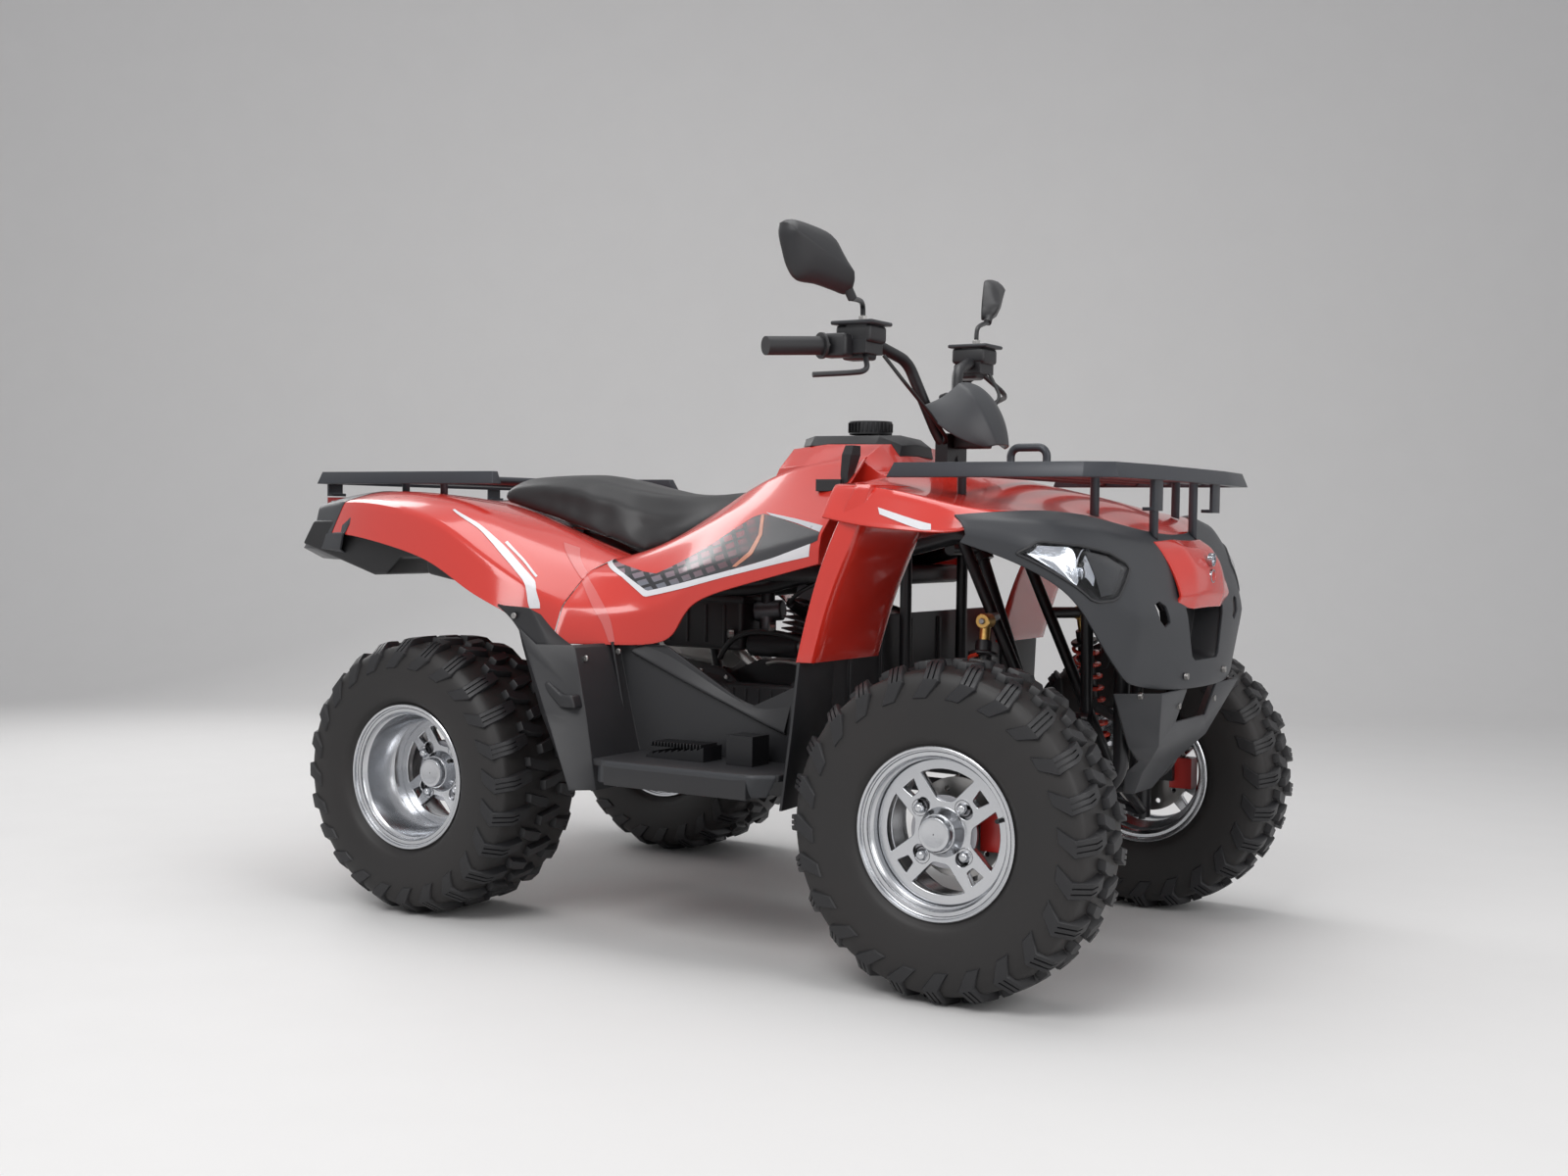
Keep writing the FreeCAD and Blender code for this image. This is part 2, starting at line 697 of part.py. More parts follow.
POD_STATIONS_SHARES = (
    (0.812, ((0.000, 1.030), (0.045, 1.022), (0.070, 0.985), (0.078, 0.950))),
    (0.828, ((0.000, 1.056), (0.055, 1.040), (0.085, 0.985), (0.090, 0.945))),
    (0.855, ((0.000, 1.040), (0.055, 1.022), (0.082, 0.970), (0.085, 0.938))),
    (0.885, ((0.000, 0.980), (0.040, 0.970), (0.062, 0.948), (0.064, 0.930))),
)


def instrument_pod():
    """Hood over the middle of the handlebar, open underneath, with its bracket."""
    hood = solid_along([(x, line + ((0, line[-1][1]),)) for x, line in POD_STATIONS_SHARES])
    top = column_top()
    start = Vector(top.x + CLAMP_SIZE / 2 + GAP, -CLAMP_SIZE / 2, top.z + CLAMP_SIZE / 2)
    station, line = POD_STATIONS_SHARES[1]
    end = Vector(along(station), CLAMP_SIZE / 2, up(line[-1][1]) + OVERRUN)
    return fused([hood, block(start, end)])


# Frame
LOWER_RAIL_SHARES = ((0.250, 0.115, 0.315), (0.345, 0.115, 0.300), (1.060, 0.115, 0.290),
                     (1.137, 0.130, 0.335), (1.137, 0.130, 0.600))
UPPER_RAIL_SHARES = ((-0.290, 0.105, 0.775), (0.000, 0.105, 0.730), (0.235, 0.105, 0.620),
                     (0.480, 0.105, 0.650), (0.860, 0.125, 0.760), (1.090, 0.130, 0.690))


def rail(shares, side):
    points = [place(x, side * y, z) for x, y, z in shares]
    return bent_tube(points, FRAME_TUBE_RADIUS, FRAME_BEND_RADIUS)


def coped(tube, others):
    """The longest piece of a tube after its ends are cut to fit the tubes it meets."""
    return largest(tube.cut(others))


POST_SHARES = (
    ((0.285, 0.115, 0.308), (0.235, 0.105, 0.620)),
    ((0.760, 0.115, 0.295), (0.760, 0.118, 0.730)),
    ((0.860, 0.125, 0.760), (1.050, 0.118, 0.290)),
    ((1.078, 0.117, 0.292), (1.078, 0.130, 0.694)),
    ((1.137, 0.130, 0.595), (1.085, 0.130, 0.692)),
)
SWING_PIVOT_X_SHARE = 0.285
SWING_PIVOT_Z_SHARE = 0.330
SHOCK_CROSS_SHARES = (0.160, 0.105, 0.655)
ENGINE_CROSS_SHARES = (0.690, 0.115, 0.296)
SWING_CROSS_SHARES = (SWING_PIVOT_X_SHARE, 0.113, SWING_PIVOT_Z_SHARE)
CROSS_SHARES = (SWING_CROSS_SHARES, ENGINE_CROSS_SHARES, (0.930, 0.115, 0.292), (1.040, 0.115, 0.290),
                (1.137, 0.130, 0.450), (-0.270, 0.105, 0.772), SHOCK_CROSS_SHARES)
SHOCK_TOP_SHARES = (0.944, 0.215, 0.610)
SHOCK_STAY_SHARES = (0.921, 0.123, 0.612)
SHOCK_EYE_RADIUS = 14.0
DECK_PAD_SHARES = ((-0.255, 0.105), (-0.060, 0.105))
DECK_PAD_WIDTH = 22.0


def deck_pads(rails, moulding):
    """Upright pads that carry the rear moulding on the upper rails."""
    pads = []
    for x, y in DECK_PAD_SHARES:
        for side in SIDES:
            spot = Vector(along(x), across(side * y), 0)
            half = Vector(DECK_PAD_WIDTH / 2, DECK_PAD_WIDTH / 2, 0)
            low = spot - half + Vector(0, 0, height_on(group(rails), spot.x, spot.y) - OVERRUN)
            high = spot + half + Vector(0, 0, height_on(moulding, spot.x, spot.y))
            pads.append(block(low, high).cut(rails + [moulding]))
    return [min(pad.Solids, key=lambda solid: solid.BoundBox.ZMin) for pad in pads]


def frame_braces(rails, moulding):
    """Posts, diagonals and cross tubes between the rails, with the pads for the deck."""
    pieces = []
    for start, end in POST_SHARES:
        for side in SIDES:
            low = place(start[0], side * start[1], start[2])
            high = place(end[0], side * end[1], end[2])
            pieces.append(coped(rod(low, high, BRACE_TUBE_RADIUS), rails))
    posts = list(pieces)
    for x, y, z in CROSS_SHARES:
        cross = rod(place(x, -y, z), place(x, y, z), BRACE_TUBE_RADIUS)
        pieces.append(coped(cross, rails + posts))
    for side in SIDES:
        foot = place(SHOCK_STAY_SHARES[0], side * SHOCK_STAY_SHARES[1], SHOCK_STAY_SHARES[2])
        eye = place(SHOCK_TOP_SHARES[0], side * SHOCK_TOP_SHARES[1], SHOCK_TOP_SHARES[2])
        room = disc(eye, SHOCK_EYE_RADIUS + GAP, (SHOCK_EYE_RADIUS + GAP) * 2)
        pieces.append(coped(rod(foot, eye, BRACE_TUBE_RADIUS), posts + [room]))
    return group(pieces + deck_pads(rails, moulding))


BEARING_HEIGHT = 46.0
BEARING_PLACE_SHARES = (0.12, 0.66)
BEARING_BAR_SHARE = 0.124


def column_bearings(rails):
    """Two bearing blocks that hold the column, each on its own cross bar."""
    pieces = []
    for share in BEARING_PLACE_SHARES:
        spot = column_foot() + (column_top() - column_foot()) * share
        half = column_axis() * BEARING_HEIGHT / 2
        ring = rod(spot - half, spot + half, COLUMN_BEARING_RADIUS)
        reach = Vector(0, across(BEARING_BAR_SHARE), 0)
        bar = rod(spot - reach, spot + reach, BRACE_TUBE_RADIUS)
        bore = rod(spot - half * 2, spot + half * 2, COLUMN_RADIUS + GAP)
        pieces.append(largest(fused([ring, bar]).cut([bore] + rails)))
    return group(pieces)


# Engine
CASE_TOP_SHARE = 0.505
CASE_OUTLINE_SHARES = ((0.330, 0.330), (0.400, 0.300), (0.600, 0.300), (0.655, 0.345), (0.655, 0.440),
                       (0.600, CASE_TOP_SHARE), (0.460, CASE_TOP_SHARE), (0.350, 0.450))
CASE_HALF_WIDTH = 82.0
COVER_RADII = (62.0, 48.0)
COVER_PLACE_SHARES = ((0.425, 0.395), (0.575, 0.400))
COVER_STAND = 34.0
ENGINE_LUG_SHARES = (
    ((SWING_PIVOT_X_SHARE, -0.040, 0.318), (0.345, 0.040, 0.344)),
    ((0.630, -0.040, ENGINE_CROSS_SHARES[2]), (ENGINE_CROSS_SHARES[0], 0.040, 0.352)),
)
CYLINDER_FOOT_SHARES = (0.530, 0.508)
CYLINDER_LEAN = 12.0
FIN_COUNT = 9
FIN_THICKNESS = 3.0
FIN_PITCH = 12.0
FIN_WIDTH = 116.0
HEAD_WIDTH_SHARE = 0.80
HEAD_HEIGHT_SHARE = 2.40
CORE_RADIUS = 44.0


def crankcase(neighbours):
    """Case with a round cover on each side, mounting lugs and the sprocket of the chain."""
    points = [Vector(along(x), -CASE_HALF_WIDTH, up(z)) for x, z in CASE_OUTLINE_SHARES]
    case = prism(points, Vector(0, CASE_HALF_WIDTH * 2, 0))
    pieces = [case]
    for (x, z), radius in zip(COVER_PLACE_SHARES, COVER_RADII):
        start = Vector(along(x), -CASE_HALF_WIDTH - COVER_STAND, up(z))
        end = Vector(along(x), CASE_HALF_WIDTH + COVER_STAND, up(z))
        pieces.append(rod(start, end, radius))
    for low, high in ENGINE_LUG_SHARES:
        pieces.append(block(place(*low), place(*high)))
    sprocket_x, sprocket_z = CHAIN_PLACE_SHARES
    shaft_start = Vector(along(sprocket_x), 0, up(sprocket_z))
    shaft_end = shaft_start + Vector(0, SPROCKET_OFFSET, 0)
    pieces.append(rod(shaft_start, shaft_end, DRIVE_SHAFT_RADIUS))
    pieces.append(disc(shaft_end, DRIVE_SPROCKET_RADIUS + CHAIN_CLEARANCE, SPROCKET_THICKNESS))
    return largest(fused(pieces).cut(neighbours))


def cylinder():
    """Finned cylinder and head, leaning forward on the crankcase."""
    foot = Vector(along(CYLINDER_FOOT_SHARES[0]), 0, up(CYLINDER_FOOT_SHARES[1]))
    axis = Vector(0, 0, 1)
    height = FIN_PITCH * (FIN_COUNT + 1)
    pieces = [Part.makeCylinder(CORE_RADIUS, height, foot, axis)]
    for index in range(FIN_COUNT):
        level = foot + axis * FIN_PITCH * (index + 1)
        half = FIN_WIDTH / 2
        low = level - Vector(half, half, 0)
        pieces.append(Part.makeBox(FIN_WIDTH, FIN_WIDTH, FIN_THICKNESS, low))
    half = FIN_WIDTH * HEAD_WIDTH_SHARE / 2
    head_low = foot + axis * height - Vector(half, half, FIN_THICKNESS)
    pieces.append(Part.makeBox(half * 2, half * 2, FIN_PITCH * HEAD_HEIGHT_SHARE, head_low))
    whole = fused(pieces)
    whole.rotate(foot, Vector(0, 1, 0), CYLINDER_LEAN)
    floor = block(Vector(foot.x - FIN_WIDTH, -FIN_WIDTH, foot.z - FIN_WIDTH),
                  Vector(foot.x + FIN_WIDTH, FIN_WIDTH, up(CASE_TOP_SHARE)))
    return whole.cut(floor)


EXHAUST_SHARES = ((0.575, 0.000, 0.600), (0.680, 0.030, 0.610), (0.700, 0.110, 0.520), (0.640, 0.165, 0.420),
                  (0.400, 0.175, 0.400), (0.240, 0.215, 0.505))
EXHAUST_RADIUS = 16.0
MUFFLER_SHARES = ((0.235, 0.215, 0.507), (-0.150, 0.215, 0.565))
MUFFLER_RADIUS = 52.0
TAIL_PIPE_RADIUS = 12.0
TAIL_PIPE_LENGTH = 40.0


def exhaust(head):
    """Header pipe round the crankcase to a round muffler beside the rear wheel."""
    pipe = bent_tube([place(*point) for point in EXHAUST_SHARES], EXHAUST_RADIUS, FRAME_BEND_RADIUS)
    front = place(*MUFFLER_SHARES[0])
    rear = place(*MUFFLER_SHARES[1])
    run = (rear - front).normalize()
    body = rod(front, rear, MUFFLER_RADIUS)
    tail = rod(rear, rear + run * TAIL_PIPE_LENGTH, TAIL_PIPE_RADIUS)
    return largest(fused([pipe, body, tail]).cut(head))


# Body panels
REAR_DECK_SHARES = (
    (-0.300, ((0.060, 0.816), (0.190, 0.822), (0.330, 0.826), (0.425, 0.800), (0.440, 0.742))),
    (-0.190, ((0.060, 0.824), (0.200, 0.830), (0.370, 0.840), (0.468, 0.815), (0.485, 0.748))),
    (-0.060, ((0.060, 0.806), (0.200, 0.822), (0.385, 0.834), (0.480, 0.800), (0.498, 0.722))),
    (0.040, ((0.060, 0.758), (0.215, 0.800), (0.400, 0.812), (0.485, 0.775), (0.503, 0.695))),
)
REAR_LEG_SHARES = (
    (0.038, ((0.100, 0.760), (0.215, 0.800), (0.400, 0.812), (0.485, 0.775), (0.503, 0.695))),
    (0.120, ((0.172, 0.756), (0.260, 0.778), (0.400, 0.762), (0.485, 0.715), (0.505, 0.635))),
    (0.200, ((0.172, 0.724), (0.260, 0.738), (0.385, 0.710), (0.475, 0.665), (0.502, 0.604))),
    (0.262, ((0.172, 0.702), (0.255, 0.706), (0.345, 0.680), (0.425, 0.615), (0.455, 0.545))),
)


def rear_fender():
    """One moulding over both rear wheels, with a leg in front of each wheel."""
    stations = []
    for x, half in REAR_DECK_SHARES:
        stations.append((x, [(-y, z) for y, z in half[::-1]] + list(half)))
    deck = skin_along(stations, PANEL_THICKNESS)
    leg = skin_along(REAR_LEG_SHARES, PANEL_THICKNESS)
    return fused([deck, leg, mirrored(leg)])


SIDE_PANEL_SHARES = (
    (0.264, ((0.172, 0.702), (0.255, 0.706), (0.345, 0.680), (0.425, 0.615), (0.455, 0.545))),
    (0.330, ((0.170, 0.742), (0.245, 0.722), (0.318, 0.672), (0.372, 0.605), (0.385, 0.542))),
    (0.400, ((0.160, 0.790), (0.225, 0.758), (0.318, 0.672), (0.345, 0.612), (0.352, 0.542))),
    (0.445, ((0.152, 0.822), (0.215, 0.785), (0.320, 0.682), (0.342, 0.640), (0.348, 0.560))),
    (0.460, ((0.150, 0.835), (0.215, 0.792), (0.320, 0.690), (0.338, 0.660), (0.344, 0.628))),
    (0.560, ((0.160, 0.890), (0.235, 0.812), (0.328, 0.715), (0.342, 0.690), (0.346, 0.660))),
    (0.716, ((0.185, 0.905), (0.275, 0.830), (0.345, 0.760), (0.352, 0.735), (0.354, 0.706))),
)


def side_panel(side):
    panel = skin_along(SIDE_PANEL_SHARES, PANEL_THICKNESS)
    return panel if side > 0 else mirrored(panel)


TANK_SHARES = (
    (0.488, ((0.000, 0.856), (0.080, 0.850), (0.118, 0.825), (0.120, 0.700), (0.000, 0.700))),
    (0.520, ((0.000, 0.935), (0.075, 0.925), (0.128, 0.885), (0.140, 0.690), (0.000, 0.690))),
    (0.600, ((0.000, 0.940), (0.100, 0.932), (0.165, 0.890), (0.165, 0.695), (0.000, 0.695))),
    (0.708, ((0.000, 0.936), (0.110, 0.930), (0.185, 0.897), (0.180, 0.722), (0.000, 0.722))),
    (0.738, ((0.000, 0.882), (0.100, 0.880), (0.185, 0.874), (0.180, 0.735), (0.000, 0.735))),
    (0.765, ((0.000, 0.866), (0.100, 0.866), (0.185, 0.864), (0.180, 0.745), (0.000, 0.745))),
)


def tank_cover(rails):
    return largest(solid_along(TANK_SHARES).cut(rails))


TOP_PANEL_SHARES = (
    (0.525, ((0.000, 0.946), (0.040, 0.946), (0.048, 0.930), (0.000, 0.930))),
    (0.560, ((0.000, 0.954), (0.072, 0.950), (0.090, 0.930), (0.000, 0.930))),
    (0.690, ((0.000, 0.953), (0.085, 0.948), (0.100, 0.926), (0.000, 0.926))),
    (0.722, ((0.000, 0.934), (0.060, 0.930), (0.070, 0.908), (0.000, 0.908))),
)
CAP_PLACE_SHARES = (0.633, 0.000, 0.954)
CAP_RADIUS = 42.0
CAP_HEIGHT = 26.0


def top_panel(cover):
    return largest(solid_along(TOP_PANEL_SHARES).cut(cover))


def fuel_cap():
    foot = place(*CAP_PLACE_SHARES)
    return Part.makeCylinder(CAP_RADIUS, CAP_HEIGHT, foot + Vector(0, 0, GAP), Vector(0, 0, 1))


SEAT_SHARES = (
    (-0.082, ((0.000, 0.852), (0.090, 0.850), (0.140, 0.838), (0.150, 0.822), (0.000, 0.822))),
    (-0.050, ((0.000, 0.874), (0.110, 0.869), (0.158, 0.850), (0.168, 0.812), (0.000, 0.812))),
    (0.060, ((0.000, 0.868), (0.110, 0.862), (0.160, 0.838), (0.168, 0.778), (0.000, 0.778))),
    (0.170, ((0.000, 0.842), (0.105, 0.836), (0.155, 0.808), (0.164, 0.738), (0.000, 0.738))),
    (0.250, ((0.000, 0.826), (0.095, 0.820), (0.145, 0.790), (0.158, 0.712), (0.000, 0.712))),
    (0.320, ((0.000, 0.821), (0.088, 0.815), (0.135, 0.792), (0.150, 0.740), (0.000, 0.740))),
    (0.400, ((0.000, 0.829), (0.080, 0.824), (0.122, 0.808), (0.140, 0.790), (0.000, 0.770))),
    (0.484, ((0.000, 0.854), (0.070, 0.850), (0.104, 0.840), (0.115, 0.828), (0.000, 0.800))),
)


def seat():
    return solid_along(SEAT_SHARES)


HOOD_SHARES = (
    (0.790, ((0.000, 0.890), (0.110, 0.888), (0.215, 0.872), (0.340, 0.852), (0.445, 0.846), (0.488, 0.790))),
    (0.860, ((0.000, 0.880), (0.110, 0.874), (0.215, 0.856), (0.340, 0.842), (0.456, 0.844), (0.494, 0.775))),
    (0.930, ((0.000, 0.862), (0.110, 0.856), (0.215, 0.842), (0.340, 0.830), (0.456, 0.828), (0.492, 0.770))),
    (1.000, ((0.000, 0.846), (0.110, 0.840), (0.215, 0.828), (0.340, 0.816), (0.446, 0.806), (0.480, 0.764))),
    (1.060, ((0.000, 0.830), (0.110, 0.824), (0.215, 0.814), (0.340, 0.806), (0.400, 0.803), (0.470, 0.790))),
    (1.120, ((0.000, 0.806), (0.110, 0.800), (0.200, 0.796), (0.250, 0.798), (0.275, 0.798), (0.330, 0.794))),
    (1.180, ((0.000, 0.766), (0.080, 0.764), (0.100, 0.763), (0.120, 0.762), (0.140, 0.760), (0.180, 0.752))),
)
FENDER_LEG_SHARES = (
    (0.540, ((0.744, -0.465), (0.750, -0.490), (0.776, -0.482), (0.774, -0.250))),
    (0.668, ((0.770, -0.470), (0.778, -0.492), (0.808, -0.484), (0.806, -0.250))),
    (0.760, ((0.800, -0.470), (0.810, -0.492), (0.850, -0.484), (0.848, -0.250))),
    (0.845, ((0.830, -0.450), (0.838, -0.470), (0.862, -0.462), (0.860, -0.250))),
)
COLUMN_WELL_CLEARANCE = 22.0
COLUMN_WELL_DEPTH_SHARE = 0.200
BEYOND_X_SHARE = 1.300
BEYOND_Y_SHARE = 0.600


def front_fender():
    """One moulding from the hood to the outer edge above both front wheels."""
    stations = []
    for x, half in HOOD_SHARES:
        far = [(-y, z) for y, z in half[:0:-1]]
        stations.append((x, far + list(half)))
    hood = skin_along(stations, PANEL_THICKNESS)
    leg = skin_upward(FENDER_LEG_SHARES, PANEL_THICKNESS)
    edge = [Vector(along(line[0][0]) - GAP, across(y), 0) for y, line in FASCIA_SHARES]
    edge.append(Vector(along(BEYOND_X_SHARE), 0, 0))
    edge.append(Vector(along(BEYOND_X_SHARE), across(BEYOND_Y_SHARE), 0))
    edge.append(Vector(edge[0].x, across(BEYOND_Y_SHARE), 0))
    beyond = prism(edge, Vector(0, 0, up(1)))
    top = column_top()
    depth = column_axis() * up(COLUMN_WELL_DEPTH_SHARE)
    well = rod(top - depth, top, COLUMN_RADIUS + COLUMN_WELL_CLEARANCE)
    return fused([hood.cut([beyond, mirrored(beyond), well]), leg, mirrored(leg)])


FASCIA_SHARES = (
    (0.476, ((1.000, 0.793), (1.010, 0.783), (1.016, 0.773), (1.018, 0.764), (1.010, 0.752))),
    (0.435, ((1.039, 0.797), (1.067, 0.785), (1.088, 0.765), (1.091, 0.748), (1.078, 0.722))),
    (0.380, ((1.073, 0.801), (1.112, 0.782), (1.140, 0.742), (1.151, 0.705), (1.147, 0.672))),
    (0.330, ((1.095, 0.801), (1.134, 0.780), (1.166, 0.730), (1.179, 0.660), (1.166, 0.590))),
    (0.270, ((1.121, 0.795), (1.155, 0.768), (1.188, 0.710), (1.205, 0.625), (1.188, 0.520))),
    (0.200, ((1.142, 0.783), (1.171, 0.755), (1.198, 0.712), (1.216, 0.630), (1.204, 0.505))),
    (0.110, ((1.164, 0.768), (1.188, 0.740), (1.209, 0.709), (1.222, 0.628), (1.221, 0.500))),
    (0.000, ((1.172, 0.762), (1.194, 0.735), (1.214, 0.700), (1.226, 0.628), (1.228, 0.500))),
)
LAMP_OUTLINE_SHARES = ((0.425, 0.752), (0.395, 0.762), (0.300, 0.757), (0.225, 0.735), (0.232, 0.706),
                       (0.285, 0.655), (0.335, 0.660), (0.390, 0.702))
NOSE_LAMP_SHARES = (0.724, 0.695)
NOSE_LAMP_FRONT_SHARE = 1.2405
NOSE_LAMP_RADIUS = 10.0
NOSE_LAMP_DEPTH = 12.0
LAMP_RECESS = 9.0
LAMP_DEPTH = 34.0
OPENING_START_SHARE = 0.950
GRILLE_OUTLINE_SHARES = ((0.060, 0.625), (0.200, 0.610), (0.170, 0.560), (0.060, 0.555))


def fascia_skin(thickness, setback):
    skin = skin_across(FASCIA_SHARES, thickness)
    skin.translate(Vector(-setback, 0, 0))
    return skin


def opening_prism(outline, side):
    start = along(OPENING_START_SHARE)
    points = [Vector(start, across(side * y), up(z)) for y, z in outline]
    return prism(points, Vector(along(BEYOND_X_SHARE) - start, 0, 0))


def front_fascia():
    """Dark front moulding round the lamps and across the nose, with its openings."""
    half = fascia_skin(PANEL_THICKNESS, 0)
    half = half.cut([opening_prism(LAMP_OUTLINE_SHARES, 1), opening_prism(GRILLE_OUTLINE_SHARES, 1)])
    return fused([half, mirrored(half)])


def headlamps(fascia):
    """Lamp units that fill the openings of the fascia, set back from its face."""
    body = fascia_skin(LAMP_DEPTH, LAMP_RECESS)
    lamp = body.common(opening_prism(LAMP_OUTLINE_SHARES, 1))
    lamp = largest(lamp.cut(fascia))
    return on_both_sides(lamp)


NOSE_SHARES = (
    (0.000, ((1.195, 0.752), (1.214, 0.738), (1.232, 0.712), (1.234, 0.668), (1.226, 0.642))),
    (0.070, ((1.190, 0.755), (1.208, 0.742), (1.228, 0.712), (1.230, 0.664), (1.224, 0.640))),
    (0.125, ((1.178, 0.752), (1.190, 0.736), (1.212, 0.700), (1.222, 0.662), (1.214, 0.648))),
)


def nose_lamps(nose):
    """Two small round lamps one above the other, seated on the nose panel."""
    lamps = []
    for z in NOSE_LAMP_SHARES:
        front = place(NOSE_LAMP_FRONT_SHARE, 0, z)
        lamp = rod(front - Vector(NOSE_LAMP_DEPTH, 0, 0), front, NOSE_LAMP_RADIUS).cut(nose)
        lamps.append(max(lamp.Solids, key=lambda solid: solid.BoundBox.XMax))
    return lamps


def nose_panel(fascia):
    half = skin_across(NOSE_SHARES[::-1], PANEL_THICKNESS)
    whole = fused([half, mirrored(half)])
    return largest(whole.cut(fascia))


LOWER_GUARD_SHARES = (
    (0.302, ((1.116, -0.050), (1.128, -0.042), (1.128, 0.042), (1.116, 0.050))),
    (0.345, ((1.130, -0.088), (1.150, -0.072), (1.150, 0.072), (1.130, 0.088))),
    (0.370, ((1.156, -0.108), (1.168, -0.090), (1.168, 0.090), (1.156, 0.108))),
    (0.400, ((1.157, -0.160), (1.190, -0.120), (1.190, 0.120), (1.157, 0.160))),
    (0.4997, ((1.165, -0.255), (1.219, -0.200), (1.219, 0.200), (1.165, 0.255))),
)


def lower_guard():
    return skin_upward(LOWER_GUARD_SHARES, PANEL_THICKNESS)


FOOTWELL_SHARES = (
    (0.284, ((0.352, -0.515), (0.360, -0.530), (0.385, -0.500), (0.390, -0.352), (0.724, -0.352),
             (0.735, -0.500))),
    (0.420, ((0.278, -0.500), (0.296, -0.512), (0.350, -0.480), (0.358, -0.350), (0.740, -0.350),
             (0.750, -0.498))),
    (0.540, ((0.232, -0.490), (0.246, -0.503), (0.320, -0.470), (0.332, -0.350), (0.746, -0.350),
             (0.757, -0.490))),
    (0.600, ((0.212, -0.485), (0.222, -0.500), (0.262, -0.480), (0.300, -0.400), (0.748, -0.350),
             (0.758, -0.488))),
)
ENGINE_WINDOW_SHARES = ((0.430, 0.545), (0.595, 0.440), (0.690, 0.490), (0.715, 0.545), (0.715, 0.700),
                        (0.430, 0.700))
FOOTWELL_TRIM_SHARES = ((0.262, 0.545), (0.430, 0.545), (0.800, 0.540), (0.800, 0.700), (0.200, 0.700),
                        (0.200, 0.606))


def footwell(side, panels):
    """Leg shield: rear tyre guard, inner wall and front wall in one moulding."""
    wall = skin_upward(FOOTWELL_SHARES, PANEL_THICKNESS)
    depth = Vector(0, across(-1), 0)
    for outline in (ENGINE_WINDOW_SHARES, FOOTWELL_TRIM_SHARES):
        wall = wall.cut(prism([Vector(along(x), 0, up(z)) for x, z in outline], depth))
    wall = wall if side < 0 else mirrored(wall)
    return largest(wall.cut(panels))


BOARD_OUTLINE_SHARES = ((0.395, 0.351), (0.395, 0.520), (0.425, 0.535), (0.690, 0.535),
                        (0.730, 0.500), (0.730, 0.351))
BOARD_TOP_SHARE = 0.345
BOARD_THICKNESS = 12.0
BOARD_RIM_HEIGHT = 44.0
BOARD_RIM_SHARES = ((0.425, 0.515), (0.690, 0.535))
PEG_SHARES = ((0.450, 0.385), (0.560, 0.445))
PEG_REAR_HEIGHT = 10.0
PEG_FRONT_HEIGHT = 27.0
PEG_TEETH = 9
PEG_TOOTH_HEIGHT = 5.0
PEDAL_SHARES = ((0.600, -0.440), (0.648, -0.385))
PEDAL_HEIGHT = 53.0
PEDAL_WALL = 6.0
PEDAL_FLOOR = 9.0


def footboard(well):
    """Foot platform with a deep outer rim."""
    top = up(BOARD_TOP_SHARE)
    points = [Vector(along(x), across(y), top - BOARD_THICKNESS) for x, y in BOARD_OUTLINE_SHARES]
    deck = prism(points, Vector(0, 0, BOARD_THICKNESS))
    rear, front = BOARD_RIM_SHARES
    low = Vector(along(rear[0]), across(rear[1]), top - BOARD_RIM_HEIGHT)
    high = Vector(along(front[0]), across(front[1]), top)
    return largest(fused([deck, block(low, high)]).cut(well))


def foot_peg(side):
    """Serrated ramp on the board, higher at its front."""
    (rear, near), (front, far) = PEG_SHARES
    top = up(BOARD_TOP_SHARE)
    start = along(rear)
    run = along(front) - start
    points = [Vector(start, across(near), top)]
    for index in range(PEG_TEETH):
        for share, drop in ((index / PEG_TEETH, PEG_TOOTH_HEIGHT), ((index + 1) / PEG_TEETH, 0)):
            rise = PEG_REAR_HEIGHT + (PEG_FRONT_HEIGHT - PEG_REAR_HEIGHT) * share
            points.append(Vector(start + run * share, across(near), top + rise - drop))
    points.append(Vector(along(front), across(near), top))
    peg = prism(points, Vector(0, across(far) - across(near), 0))
    return peg if side > 0 else mirrored(peg)


def brake_pedal():
    """Box-shaped foot brake, open towards the rider, on the right board."""
    (rear, near), (front, far) = PEDAL_SHARES
    top = up(BOARD_TOP_SHARE)
    low = Vector(along(rear), across(near), top)
    high = Vector(along(front), across(far), top + PEDAL_HEIGHT)
    room_low = low + Vector(-PEDAL_WALL, PEDAL_WALL, PEDAL_FLOOR)
    room_high = high - Vector(PEDAL_WALL, PEDAL_WALL, PEDAL_WALL)
    return block(low, high).cut(block(room_low, room_high))


def foot_controls():
    return group([foot_peg(side) for side in SIDES] + [brake_pedal()])


# Rear corners, shift lever and belly plate
TAIL_GUARD_SHARES = (
    (0.690, ((-0.322, -0.385), (-0.265, -0.420), (-0.200, -0.435))),
    (0.712, ((-0.345, -0.415), (-0.285, -0.452), (-0.205, -0.470))),
    (0.742, ((-0.326, -0.412), (-0.280, -0.446), (-0.190, -0.480))),
    (0.765, ((-0.314, -0.402), (-0.280, -0.430), (-0.180, -0.474))),
    (0.812, ((-0.301, -0.385), (-0.280, -0.408), (-0.180, -0.450))),
)
TAIL_LAMP_LOW_SHARES = (-0.336, -0.365, 0.766)
TAIL_LAMP_HIGH_SHARES = (-0.288, -0.225, 0.820)
SKID_LOW_SHARES = (0.360, -0.112, 0.288)
SKID_HIGH_SHARES = (0.660, 0.112, 0.294)
SHIFT_SLOT_SHARES = (0.657, -0.253, 0.838)
SHIFT_SLOT_END_SHARES = (0.702, -0.227, 0.860)
